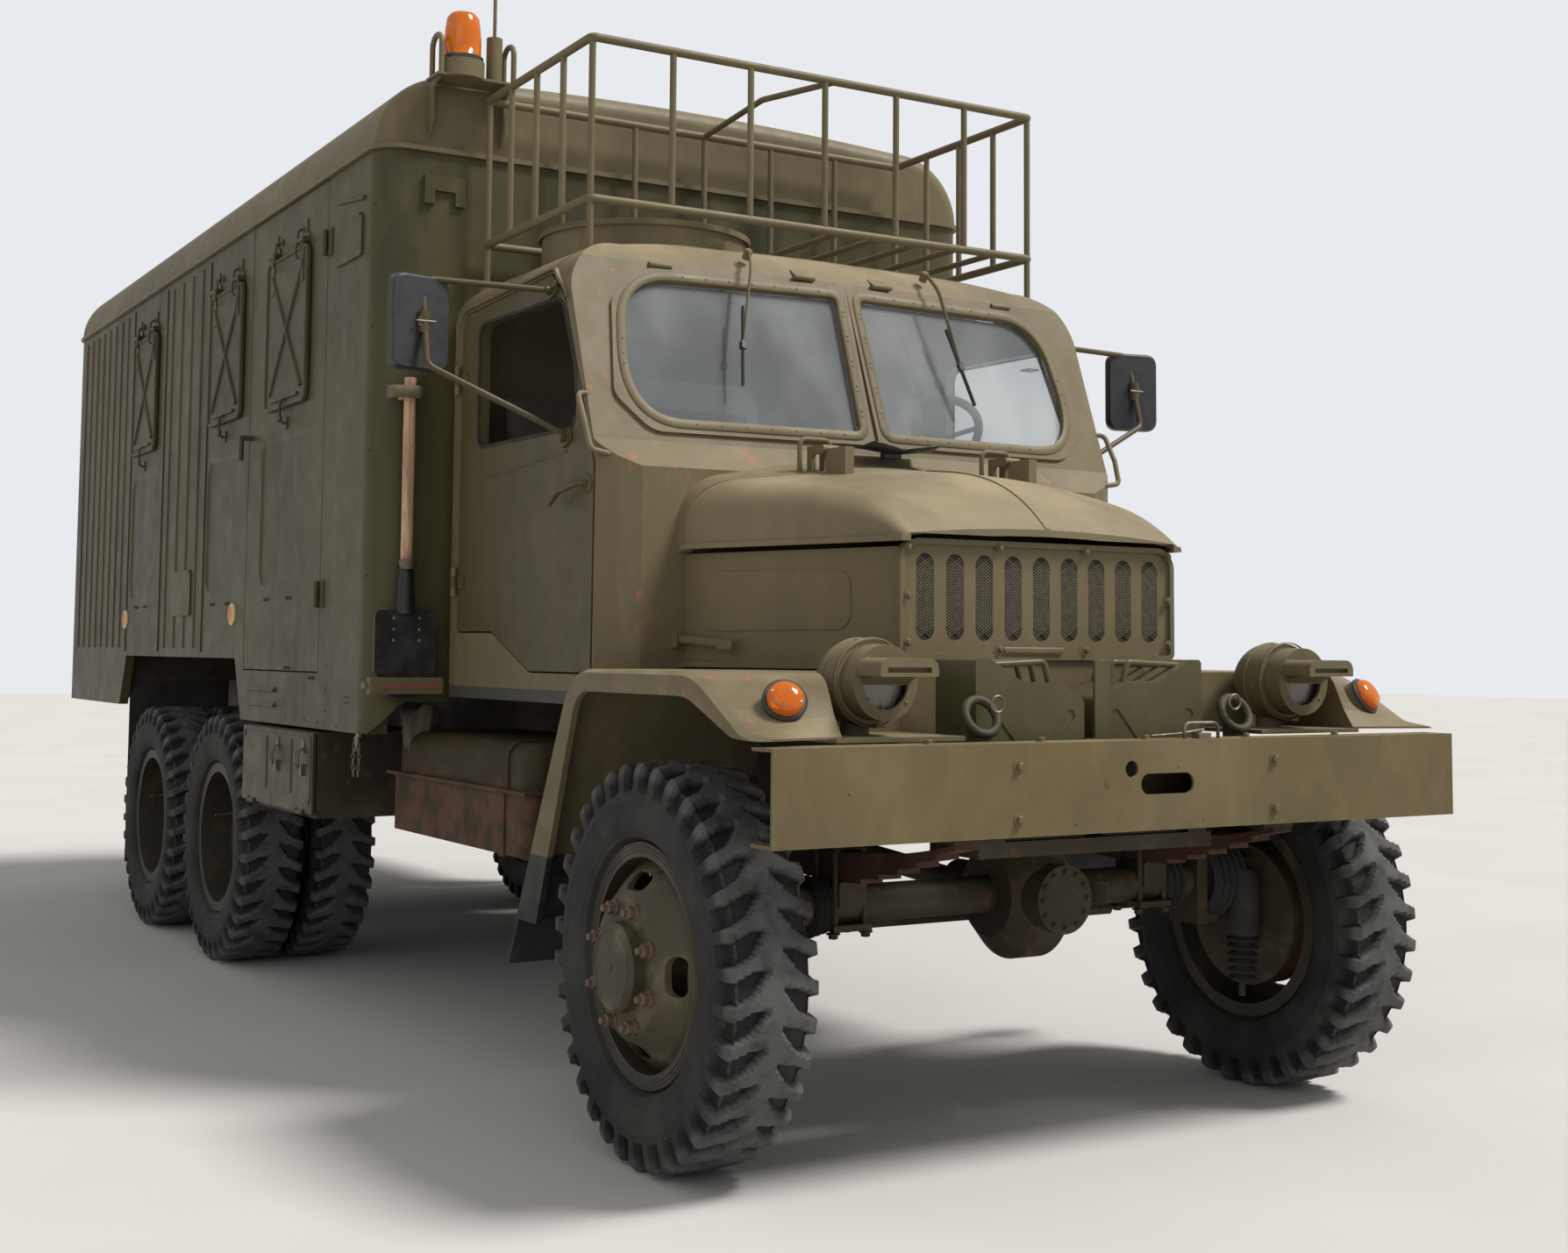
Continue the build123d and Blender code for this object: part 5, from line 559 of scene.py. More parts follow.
def shovel_mixed(name):
    """Spade: wooden shaft above, black blade and socket below."""
    s = Shader(name)
    above = s.step(s.axis("Z"), SOCKET_TOP - 0.002, SOCKET_TOP + 0.002)
    grain = s.noise(16.0, 6.0, (6, 6, 0.25))
    shaft = s.mix(s.step(grain, 0.35, 0.65), (0.60, 0.385, 0.250), (0.33, 0.200, 0.125))
    stain = s.mul(s.cloud(60.0, 0.55, 0.70, 5.0, (4, 4, 0.4), (1, 2, 3)), 0.6)
    s.color = s.mix(s.cloud(14.0, 0.40, 0.70), (0.012, 0.012, 0.013), (0.034, 0.034, 0.036))
    s.coat(above, s.mix(stain, shaft, (0.05, 0.032, 0.024)))
    s.bump((grain, 0.2, 0.002), (s.noise(60.0, 4.0), 0.10, 0.002))
    return s.finish(s.math("ADD", 0.42, s.mul(above, 0.28)), Specular_IOR_Level=0.4)


def lens(name, color, transmission=0.55, rough=0.12):
    """Moulded lens with faint dirt."""
    s = Shader(name)
    s.color = s.mix(s.mul(s.cloud(30.0, 0.50, 0.75), 0.25), color, tinted(color, 0.45))
    s.bump((s.noise(90.0, 3.0), 0.06, 0.002))
    return s.finish(rough, Transmission_Weight=transmission, IOR=1.49)


def window_glass(name):
    """Clear flat glass with a film of dust in patches."""
    s = Shader(name)
    film = s.cloud(3.0, 0.35, 0.80, stretch=(1, 1, 0.45))
    s.color = s.mix(s.mul(film, 0.6), (0.70, 0.76, 0.80), (0.92, 0.95, 0.97))
    s.link(s.math("SUBTRACT", 0.93, s.mul(film, 0.13)), s.main.inputs["Transmission Weight"])
    s.bump((s.noise(1.5, 2.0), 0.02, 0.01))
    return s.finish(0.02, IOR=1.55, Specular_IOR_Level=0.8, Coat_Weight=0.6)


def cloth(name, base=(0.075, 0.062, 0.048)):
    """Coarse woven cover with a fine thread bump."""
    s = Shader(name)
    s.color = s.mix(s.cloud(8.0, 0.35, 0.68), base, tinted(base, 0.6))
    threads = s.node("ShaderNodeTexWave", Vector=s.coords, Scale=420.0).outputs["Fac"]
    s.bump((threads, 0.25, 0.001), (s.noise(160.0, 4.0), 0.25, 0.002))
    return s.finish(0.78, Sheen_Weight=0.15)


# Camera at the photograph's viewing angle
CAMERA_AT = (4.1515, -3.1304, 1.2201)
CAMERA_YAW, CAMERA_PITCH, CAMERA_ROLL = 148.87, 4.23, 0.42
FOCAL_PIXELS, CENTRE_PIXEL = 2200.59, (911.66, 580.14)
IMAGE = (1788.0, 1429.0)
SENSOR = 36.0


def make_camera():
    yaw, pitch, roll = (math.radians(v) for v in (CAMERA_YAW, CAMERA_PITCH, CAMERA_ROLL))
    forward = Vector((math.cos(yaw) * math.cos(pitch), math.sin(yaw) * math.cos(pitch), math.sin(pitch)))
    level = forward.cross(Vector(UP)).normalized()
    above = level.cross(forward)
    right = level * math.cos(roll) + above * math.sin(roll)
    up = above * math.cos(roll) - level * math.sin(roll)
    data = bpy.data.cameras.new("camera")
    data.sensor_width = SENSOR
    data.lens = FOCAL_PIXELS / IMAGE[0] * SENSOR
    data.shift_x = (IMAGE[0] / 2 - CENTRE_PIXEL[0]) / IMAGE[0]
    data.shift_y = (CENTRE_PIXEL[1] - IMAGE[1] / 2) / IMAGE[0]
    data.clip_end = 200.0
    camera = bpy.data.objects.new("camera", data)
    turn = Matrix((right, up, -forward)).transposed().to_4x4()
    camera.matrix_world = Matrix.Translation(at(*CAMERA_AT)) @ turn
    bpy.context.scene.collection.objects.link(camera)
    bpy.context.scene.camera = camera


# Studio
FLOOR_HALF = 45.0
KEY_FROM, KEY_POWER, KEY_SPREAD = (0.44, 0.56, 1.0), 3.9, 16
FILL_AT, FILL_AIM = Vector((9.0, -9.0, 6.0)), Vector((0.5, 0, 1.2))
FILL_POWER, FILL_SIZE = 110.0, 7.0
WORLD_COLOR, WORLD_POWER = (1.0, 0.99, 0.97, 1.0), 0.56
BACKDROP = (0.80, 0.83, 0.86, 1.0)


def make_floor():
    mesh = bpy.data.meshes.new("floor")
    corners = [(x * FLOOR_HALF, y * FLOOR_HALF, 0) for x, y in ((-1, -1), (1, -1), (1, 1), (-1, 1))]
    mesh.from_pydata(corners, [], [(0, 1, 2, 3)])
    floor = bpy.data.objects.new("floor", mesh)
    bpy.context.scene.collection.objects.link(floor)
    s = Shader("floor_pale")
    s.color = s.mix(s.cloud(0.8, 0.3, 0.7, 3.0), (0.52, 0.51, 0.495), (0.495, 0.485, 0.47))
    s.bump((s.noise(40.0, 4.0), 0.08, 0.01))
    mesh.materials.append(s.finish(0.9, Specular_IOR_Level=0.1))


def make_world():
    """Even light; the camera sees a pale backdrop."""
    world = bpy.data.worlds.new("studio")
    world.use_nodes = True
    bpy.context.scene.world = world
    tree = world.node_tree
    light = tree.nodes["Background"]
    light.inputs["Color"].default_value = WORLD_COLOR
    light.inputs["Strength"].default_value = WORLD_POWER
    seen = tree.nodes.new("ShaderNodeBackground")
    seen.inputs["Color"].default_value = BACKDROP
    path = tree.nodes.new("ShaderNodeLightPath")
    mix = tree.nodes.new("ShaderNodeMixShader")
    tree.links.new(path.outputs["Is Camera Ray"], mix.inputs[0])
    tree.links.new(light.outputs[0], mix.inputs[1])
    tree.links.new(seen.outputs[0], mix.inputs[2])
    tree.links.new(mix.outputs[0], tree.nodes["World Output"].inputs["Surface"])


def add_lamp(name, kind, energy, towards):
    data = bpy.data.lights.new(name, kind)
    data.energy = energy
    lamp = bpy.data.objects.new(name, data)
    lamp.rotation_euler = Vector(towards).to_track_quat("Z", "Y").to_euler()
    bpy.context.scene.collection.objects.link(lamp)
    return lamp


def make_studio():
    make_floor()
    make_world()
    key = add_lamp("key", "SUN", KEY_POWER, KEY_FROM)
    key.data.angle = math.radians(KEY_SPREAD)
    key.data.color = (1.0, 0.975, 0.94)
    fill = add_lamp("fill", "AREA", FILL_POWER, FILL_AT - FILL_AIM)
    fill.data.size = FILL_SIZE
    fill.location = FILL_AT
    bpy.context.scene.view_settings.view_transform = "Standard"


# Tyres with deep cross-country lugs
TYRE_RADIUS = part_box("front_tyre_left")[1][2] - HUB_Z
TYRE_HALF = 0.120
LUGS = 34
STEPS_PER_LUG = 12
LUG_DEPTH = 0.025
NOTCH_FOOT, NOTCH_FULL = 0.400, 0.424
SHOULDER_RADIUS = 0.470
CROWN_HALF, CROWN_DROP, CROWN_POINTS = 0.096, 0.0035, 22
HALF_PROFILE = [
    # radius, height over the tyre's middle plane, from the bead over the wall to the shoulder
    (0.264, 0.0800), (0.289, 0.0812), (0.3005, 0.104), (0.312, 0.1085), (0.3155, 0.1112), (0.3195, 0.1112),
    (0.323, 0.1130), (0.352, 0.1178), (0.378, 0.1180), (0.3835, 0.1200), (0.3885, 0.1200), (0.3925, 0.1182),
    (0.404, 0.1186), (0.424, 0.1176),
    (0.434, 0.1170), (0.444, 0.1160), (0.453, 0.1145), (0.461, 0.1120), (0.468, 0.1085), (0.4735, 0.1030),
]


def smooth(value, low, high):
    t = min(1.0, max(0.0, (value - low) / (high - low)))
    return t * t * (3 - 2 * t)


def groove(turn, across, side):
    """Depth share of the groove at a turn counted in lugs and a share of the half width."""
    shift = 0.0 if side > 0 else 0.5
    bow = 0.75 * (1 - min(across, 1.0)) ** 1.5
    half = 0.285 * smooth(across, 0.04, 0.62)
    if half < 0.01:
        return 0.0
    off = abs((turn + shift + bow) % 1.0 - 0.5)
    return smooth(off, half + 0.045, half - 0.045) * smooth(half, 0.01, 0.08)


def tyre_profile():
    """Section from one bead to the other."""
    heights = [CROWN_HALF - 2 * CROWN_HALF * i / (CROWN_POINTS - 1) for i in range(CROWN_POINTS)]
    crown = [(TYRE_RADIUS - CROWN_DROP * (z / 0.1) ** 2, z) for z in heights]
    return HALF_PROFILE + crown + [(r, -z) for r, z in reversed(HALF_PROFILE)]


def tyre(middle, outward):
    """One tyre as a displaced ring about the wheel's axis, and each point's groove share."""
    profile = tyre_profile()
    count = LUGS * STEPS_PER_LUG
    rows, shares = [], []
    for j, (r, z) in enumerate(profile):
        before, after = profile[max(j - 1, 0)], profile[min(j + 1, len(profile) - 1)]
        dr, dz = after[0] - before[0], after[1] - before[1]
        size = math.hypot(dr, dz)
        on_wall = r < SHOULDER_RADIUS
        across = 1.0 + (SHOULDER_RADIUS - r) / 0.15 if on_wall else abs(z) / 0.112
        deep = 1.0 if across <= 1.0 else smooth(r, NOTCH_FOOT, NOTCH_FULL)
        row = []
        for i in range(count):
            turn = i / STEPS_PER_LUG
            share = deep * groove(turn, across, z) if deep > 0 else 0.0
            drop = LUG_DEPTH * share
            radius, height = r + drop * dz / size, z - drop * dr / size
            angle = 2 * math.pi * turn / LUGS
            row.append((middle[0] + radius * math.sin(angle), middle[1] + outward * height,
                        middle[2] + radius * math.cos(angle)))
            shares.append(share)
        rows.append(row + row[:1])
        shares.append(shares[-count])
    return grid(rows), shares


def tread(name, body, replaced, places, side):
    """Tyres on one body, with the groove share kept for the material's painted shade in the grooves."""
    made = [tyre((x, y, HUB_Z), side) for x, y in places]
    obj = piece(name, [shape for shape, _ in made], "tyre_rubber", body, angle=30)
    marks = obj.data.attributes.new("groove", "FLOAT", "POINT")
    marks.data.foreach_set("value", [share for _, shares in made for share in shares])
    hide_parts(replaced)


def make_tyres():
    for side, name in NAMED_SIDES:
        front = [(FRONT_AXLE, side * FRONT_TRACK)]
        tread(f"front_tread_{name}", f"front_wheel_{name}", f"front_tyre_{name}", front, side)
        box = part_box(f"rear_tyres_{name}_1")
        gap = (box[1][1] - box[0][1] - 2 * TYRE_HALF) / 2
        for i, x in enumerate(REAR_AXLES, 1):
            pair = [(x, side * (REAR_TRACK + s * gap)) for s in SIDES]
            tread(f"rear_tread_{name}_{i}", f"rear_wheels_{name}_{i}", f"rear_tyres_{name}_{i}", pair, side)


# Wheel nuts, caps and valves
NUTS = 8
NUT_CIRCLE = 0.1425
NUT = [(0.021, -0.002), (0.021, 0.004), (0.0165, 0.005), (0.0165, 0.021), (0.0125, 0.024)]
STUD = [(0.0092, 0.0), (0.0092, 0.034), (0.007, 0.036)]
DISC_FACE, REAR_DISC_FACE = 0.140, 0.0105
CAP_FACE = FRONT_TRACK + DISC_FACE + 0.036
RIM_FACE, RIM_RINGS = FRONT_TRACK + 0.0915, (0.266, 0.276, 0.285)
VALVE_STEM = 0.0045
FRONT_VALVE = [(0.060, 0.060, 0.236), (0.058, 0.085, 0.222), (0.056, 0.105, 0.218)]
REAR_VALVE = [(-0.170, 0.075, 0.080), (-0.165, 0.130, 0.075), (-0.160, 0.200, 0.070)]


def on_wheel(x, y, radius, turn):
    """Point of a wheel at a radius and a turn from upright."""
    return Vector((x + radius * math.sin(turn), y, HUB_Z + radius * math.cos(turn)))


def wheel_nuts(name, body, x, y, out):
    """Studs with nuts in a circle on a disc's outer face."""
    shapes = []
    for i in range(NUTS):
        spot = on_wheel(x, y, NUT_CIRCLE, 2 * math.pi * (i + 0.5) / NUTS)
        shapes += [disc(NUT, spot, out, 6), disc(STUD, spot, out, 12)]
    piece(name, shapes, "nut_rust", body, 0.0008)


def valve(name, body, x, side, track, points, cut):
    path = [(x + dx, side * (track + dy), HUB_Z + dz) for dx, dy, dz in points]
    piece(name, [bar(bend(path, cut), VALVE_STEM)], "bare_steel", body)


def front_cap(name, side, out):
    """Rolled edge and screws of the hub cap, and the rings of the rim."""
    cap = [wire_ring(0.088, 0.0025, (FRONT_AXLE, side * CAP_FACE, HUB_Z), out, 32)]
    cap += screw((FRONT_AXLE, side * CAP_FACE, HUB_Z), out, 0.007)
    for radius in RIM_RINGS:
        cap.append(wire_ring(radius, 0.0028, (FRONT_AXLE, side * RIM_FACE, HUB_Z), out, 72))
    for i in range(3):
        cap += screw(on_wheel(FRONT_AXLE, side * CAP_FACE, 0.062, 2.1 * i + 0.4), out, 0.005)
    piece(f"front_cap_{name}", cap, "rim_paint", f"front_wheel_{name}")


def make_wheel_trim():
    for side, name in NAMED_SIDES:
        out = (0, side, 0)
        body = f"front_wheel_{name}"
        wheel_nuts(f"front_nuts_{name}", body, FRONT_AXLE, side * (FRONT_TRACK + DISC_FACE), out)
        front_cap(name, side, out)
        valve(f"front_valve_{name}", body, FRONT_AXLE, side, FRONT_TRACK, FRONT_VALVE, 0.01)
        for i, x in enumerate(REAR_AXLES, 1):
            body = f"rear_wheels_{name}_{i}"
            wheel_nuts(f"rear_nuts_{name}_{i}", body, x, side * (REAR_TRACK + REAR_DISC_FACE), out)
            valve(f"rear_valve_{name}_{i}", body, x, side, REAR_TRACK, REAR_VALVE, 0.02)


# Grille: wire mesh behind nine slots, dark sheets of painted shade behind the mesh, bolts round the border
SLOTS = 9
SLOT_PITCH = 0.0918
SLOT_WIDE, SLOT_TALL, SLOT_Z = 0.056, 0.218, 1.359
WIRE_PITCH, WIRE_HALF, WIRE_SLANT, WIRE_DEPTH = 0.0080, 0.0009, 0.7, 0.0105
BACK_DEPTH = 0.0136
BORDER_BOLTS = [(y, z) for y in (-0.425, 0.425) for z in (1.245, 1.362, 1.482)]
BORDER_BOLTS += [(y, z) for y in (-0.141, 0.141) for z in (1.229, 1.488)]


def slot_wires(y):
    """Crossing wires over one slot, cut to its size."""
    shapes = []
    half_w, half_t = SLOT_WIDE / 2 + 0.004, SLOT_TALL / 2 + 0.004
    reach = half_w * WIRE_SLANT + half_t
    for lean in SIDES:
        along = Vector((0, 2 * half_w, 2 * half_w * WIRE_SLANT * lean))
        for i in range(int(reach * 2 / WIRE_PITCH)):
            middle = i * WIRE_PITCH - reach
            if abs(middle) + half_w * WIRE_SLANT > half_t:
                continue
            spot = (GRILLE_FACE - WIRE_DEPTH, y, SLOT_Z + middle)
            shapes.append(block((WIRE_HALF, WIRE_HALF, along.length / 2), spot, along, AHEAD))
    return shapes


def make_grille():
    wires, backs, bolts = [], [], []
    # Near black sheet behind each slot: painted shade in the hollow behind the mesh.
    panel = plate(rounded(SLOT_TALL + 0.006, SLOT_WIDE + 0.006, 0.028), 0.001)
    for i in range(SLOTS):
        y = (i - (SLOTS - 1) / 2) * SLOT_PITCH
        wires += slot_wires(y)
        backs.append(put(panel, (GRILLE_FACE - BACK_DEPTH, y, SLOT_Z), AHEAD, UP))
    piece("grille_wires", wires, "wire_dark")
    piece("grille_backs", backs, "grille_hollow")
    for y, z in BORDER_BOLTS:
        bolts += bolt((GRILLE_FACE + 0.001, y, z), AHEAD, 0.0075, y)
    pressing = [(GRILLE_FACE + 0.003, -0.13, 1.226), (GRILLE_FACE + 0.004, 0.06, 1.226)]
    bolts.append(bar(pressing, 0.009, 8, 0.35))
    piece("grille_bolts", bolts, "olive_plain", bevel=0.0006)


# Bumper
BUMPER_BOLTS = [(y, z) for y in (0.40, -0.40) for z in (0.961, 0.840)]
TOP_BOLTS, TOP_BOLT_Z = (-0.62, -0.30, 0.02, 0.35, 0.66), 1.0142
SMALL_HOLES = ((-0.235, 0.826), (0.165, 0.822), (0.085, 0.951), (-0.86, 0.915))
PIN_LOOP = [(0.135, 1.012), (0.135, 1.052), (0.245, 1.052), (0.245, 1.012)]
PIN_PATH = [(0.040, 0.03, 1.022), (0.038, 0.12, 1.026), (0.036, 0.20, 1.036)]


def make_bumper():
    shapes = []
    for y, z in BUMPER_BOLTS:
        shapes += bolt((BUMPER_FACE, y, z), AHEAD, 0.0105, y * z)
    for y in TOP_BOLTS:
        shapes += bolt((BUMPER_FACE - 0.045, y, TOP_BOLT_Z), UP, 0.009, y)
    for y, z in SMALL_HOLES:
        shapes += screw((BUMPER_FACE, y, z), AHEAD, 0.004)
    piece("bumper_bolts", shapes, "olive_bumper", bevel=0.0008)
    loop = bend([(BUMPER_FACE - 0.035, y, z) for y, z in PIN_LOOP], 0.018)
    pin = bend([(BUMPER_FACE - x, y, z) for x, y, z in PIN_PATH], 0.02)
    foot = block((0.014, 0.020, 0.007), (BUMPER_FACE - 0.035, 0.19, 1.021))
    piece("bumper_pin", [bar(loop, 0.0045), foot, bar(pin, 0.0035)], "bare_steel", bevel=0.001)
    wires = []
    for side in SIDES:
        wire = oval(at(0.498, side * 0.376, 1.100), (0, 0.019, 0), (0, 0, 0.019), 19)
        wires.append(bar(wire, 0.0032, 6))
    piece("shackle_wires", wires, "bare_steel")


# Headlamps
LAMP_Y, LAMP_Z = 0.664, 1.150
LAMP_SEAT, LAMP_FACE, LAMP_BODY = 0.426, 0.456, 0.368
LENS_RADIUS, LENS_CROWN = 0.0745, 0.009
FLUTES, FLUTE_DEPTH = 8, 0.0022
LENS_ROWS, LENS_COLUMNS = 25, 61
LAMP_BOWL = [(0.072, 0.0), (0.055, -0.02), (0.02, -0.032)]
LAMP_BAND = [(0.1015, -0.004), (0.104, -0.002), (0.104, 0.002), (0.1015, 0.004)]


def ribbed_lens(spot):
    """Headlamp glass: low dome with upright flutes."""
    rows = []
    for i in range(LENS_ROWS):
        v = -1 + 2 * i / (LENS_ROWS - 1)
        row = []
        for k in range(LENS_COLUMNS):
            u = -1 + 2 * k / (LENS_COLUMNS - 1)
            across, up = u * math.sqrt(1 - v * v / 2), v * math.sqrt(1 - u * u / 2)
            reach = across * across + up * up
            flute = FLUTE_DEPTH * abs(math.sin(u * math.pi * FLUTES)) * (reach < 0.97)
            row.append((spot.x + LENS_CROWN * (1 - reach) + flute, spot.y + LENS_RADIUS * across,
                        spot.z + LENS_RADIUS * up))
        rows.append(row)
    return grid(rows)


def make_headlamps():
    glass, bowls, rings = [], [], []
    for side in SIDES:
        y = side * LAMP_Y
        glass.append(ribbed_lens(at(LAMP_SEAT + 0.004, y, LAMP_Z)))
        bowls.append(disc(LAMP_BOWL, at(LAMP_SEAT + 0.002, y, LAMP_Z), AHEAD, 32))
        for angle in (0.6, 2.3, 4.1, 5.6):
            out = Vector((0, math.cos(angle), math.sin(angle)))
            rings += screw(at(LAMP_FACE, y, LAMP_Z) + out * 0.073, AHEAD, 0.005)
        for x in (LAMP_BODY - 0.030, LAMP_BODY + 0.030):
            rings.append(hoop(LAMP_BAND, at(x, y, LAMP_Z), AHEAD, 48))
        for angle in (0.2, 1.8, 3.3, 4.9):
            out = Vector((0, math.cos(angle), math.sin(angle)))
            rings += screw(at(LAMP_BODY, y, LAMP_Z) + out * 0.101, out, 0.0055)
        rings.append(block((0.03, 0.012, 0.004), at(LAMP_BODY + 0.007, y + 0.02, LAMP_Z - 0.102)))
    lenses = piece("headlamp_glass", glass, "lens_clear", angle=70)
    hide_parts("lamp_lenses")
    piece("headlamp_bowls", bowls, "reflector_bright")
    piece("headlamp_screws", rings, "olive_plain")


# Turn lamps, rear lamps and beacon
TURN_AT, TURN_AXIS, TURN_BASE = (0.407, 0.910, 1.096), (0.82, 0.28, 0.48), 0.027
TURN_RADIUS, TURN_EDGE, TURN_HEIGHT = 0.043, 0.010, 0.024
TURN_SEAT = [(0.0435, -0.001), (0.052, -0.001), (0.052, 0.005), (0.048, 0.009), (0.0435, 0.009)]
TAIL_AT = (0.980, 1.060)
TAIL_DOME = [(0.043, 0.0003), (0.043, 0.022), (0.038, 0.030), (0.026, 0.0335), (0.010, 0.034)]
TAIL_RIM = [(0.044, 0.0), (0.052, 0.0), (0.052, 0.010), (0.044, 0.014)]
BEACON_AT = (-1.680, -0.900, 3.1183)
BEACON_DOME = [
    (0.066, 0.0), (0.066, 0.012), (0.060, 0.016), (0.0605, 0.060),
    (0.057, 0.110), (0.052, 0.145), (0.040, 0.160), (0.015, 0.1675),
]
BEACON_LAMP = [(0.022, 0.0), (0.022, 0.045), (0.012, 0.05), (0.012, 0.07)]
BEACON_MIRROR = [(-0.030, 0.0), (0.030, 0.0), (0.026, 0.075), (-0.026, 0.075)]
BEACON_BAND = [(0.0615, 0.0), (0.068, 0.0), (0.068, 0.013), (0.0615, 0.015)]


def turn_dome():
    profile = [(TURN_RADIUS, 0.0), (TURN_RADIUS, TURN_EDGE)]
    for i in range(1, 9):
        angle = math.pi / 2 * i / 9
        wave = 0.0010 * (i % 2)
        radius = TURN_RADIUS * math.cos(angle) ** 0.75 + wave
        profile.append((radius, TURN_EDGE + TURN_HEIGHT * math.sin(angle)))
    return profile


def make_turn_lamps():
    domes, seats, screws = [], [], []
    for side in SIDES:
        axis = Vector((TURN_AXIS[0], side * TURN_AXIS[1], TURN_AXIS[2])).normalized()
        base = at(TURN_AT[0], side * TURN_AT[1], TURN_AT[2]) + axis * TURN_BASE
        domes.append(disc(turn_dome(), base, axis, 40))
        seats.append(hoop(TURN_SEAT, base, axis, 40))
        across = axis.cross(Vector(UP)).normalized()
        out = across * math.cos(0.4) + across.cross(axis) * math.sin(0.4)
        for k in SIDES:
            screws += screw(base + out * 0.034 * k + axis * 0.026, axis, 0.004)
    piece("turn_domes", domes, "lens_amber", angle=60)
    piece("turn_seats", seats, "plastic_black")
    piece("turn_screws", screws, "reflector_bright")


def make_tail_lamps():
    domes, rims = [], []
    for side in SIDES:
        spot = (BOX_REAR, side * TAIL_AT[0], TAIL_AT[1])
        domes.append(disc(TAIL_DOME, spot, (-1, 0, 0), 36))
        rims.append(hoop(TAIL_RIM, spot, (-1, 0, 0), 36))
    piece("tail_domes", domes, "lens_red")
    piece("tail_rims", rims, "plastic_black")


def make_beacon():
    spot = at(*BEACON_AT)
    piece("beacon_dome", [disc(BEACON_DOME, spot, UP, 48)], "lens_amber", angle=60)
    mirror = put(plate(BEACON_MIRROR, 0.003), spot + Vector((0.006, 0, 0.050)), (-1, 0, 0.15), (0, 1, 0))
    piece("beacon_reflector", [disc(BEACON_LAMP, spot, UP, 20), mirror], "reflector_bright")
    piece("beacon_band", [hoop(BEACON_BAND, spot + Vector((0, 0, 0.001)), UP, 40)], "plastic_black")


# Windscreen trim
SCREEN_FOOT, SCREEN_HEAD = (-0.586, 1.800), (-0.786, 2.345)
SCREEN_RISE, SCREEN_LEAN = SCREEN_HEAD[1] - SCREEN_FOOT[1], SCREEN_FOOT[0] - SCREEN_HEAD[0]
SCREEN_NORMAL = Vector((SCREEN_RISE, 0, SCREEN_LEAN)).normalized()
SCREEN_SWEEP = math.radians(2.4)
FRAME_WIDTH, FRAME_PROUD = 0.028, 0.0135
FRAME_SECTION = [
    # distance outwards from the glass opening, height over the pane
    (0.0, -0.006), (0.0, 0.0115), (0.003, FRAME_PROUD), (0.025, FRAME_PROUD), (FRAME_WIDTH, 0.0115),
    (FRAME_WIDTH, 0.004),
]
FRAME_SCREW_PITCH, MIDDLE_POST = 0.085, 0.05
SCREEN_HINGES = [(-0.831, s * 0.616, 2.326) for s in SIDES] + [(-0.807, s * 0.140, 2.337) for s in SIDES]
WIPERS = [
    # pivot, elbow of the arm, tip
    ((-0.814, -0.321, 2.401), (-0.735, -0.352, 2.350), (-0.650, -0.425, 2.090)),
    ((-0.814, 0.321, 2.401), (-0.735, 0.322, 2.350), (-0.652, 0.352, 2.090)),
]
BLADE_HALF = 0.13


def screen_point(side, across, up, proud):
    """Point on one half of the windscreen, in metres across and up its slope."""
    slope = math.atan2(SCREEN_LEAN, SCREEN_RISE)
    x_dir = Vector((-math.sin(SCREEN_SWEEP), side * math.cos(SCREEN_SWEEP), 0))
    level = math.cos(slope)
    normal = Vector((level * math.cos(SCREEN_SWEEP), side * level * math.sin(SCREEN_SWEEP), math.sin(slope)))
    y_dir = normal.cross(x_dir) * side
    return at(SCREEN_FOOT[0], 0, SCREEN_FOOT[1]) + x_dir * across + y_dir * up + normal * proud


def pane_outline():
    """Inner edge of a windscreen frame: small radii at the middle, wide ones outside."""
    line = curve((0.050, 0.085), (0.050, 0.068), (0.070, 0.068), 3)
    line += curve((0.630, 0.068), (0.788, 0.070), (0.772, 0.280), 12)
    line += curve((0.766, 0.340), (0.757, 0.514), (0.600, 0.518), 12)
    line += curve((0.070, 0.522), (0.050, 0.522), (0.050, 0.505), 3)
    return line


def frame_screws(line):
    """Places along a frame's middle line, in pairs at the middle post."""
    spots = []
    for i, (x, y) in enumerate(line):
        bx, by = line[(i + 1) % len(line)]
        reach = math.hypot(bx - x, by - y)
        steps = int(reach / FRAME_SCREW_PITCH)
        for k in range(steps + (1 if reach > 0.03 else 0)):
            share = (k + 0.5) / (steps + 1)
            spots.append((x + (bx - x) * share, y + (by - y) * share))
    pairs = [(x, y + step) for x, y in spots if x < MIDDLE_POST for step in (-0.008, 0.008)]
    return pairs + [(x, y) for x, y in spots if x >= MIDDLE_POST]


def make_screen_frames():
    inner = pane_outline()
    spots = frame_screws(grown(inner, FRAME_WIDTH / 2))
    shapes, screws = [], []
    for side in SIDES:
        rows = []
        for width, proud in FRAME_SECTION:
            line = grown(inner, width)
            rows.append([tuple(screen_point(side, x, y, proud)) for x, y in line + line[:1]])
        shapes.append(grid(rows))
        normal = screen_point(side, 0, 0, 1.0) - screen_point(side, 0, 0, 0.0)
        for x, y in spots:
            screws += screw(screen_point(side, x, y, FRAME_PROUD), normal, 0.0036)
    piece("screen_frames", shapes, "olive_plain", angle=50)
    piece("screen_screws", screws, "olive_plain")


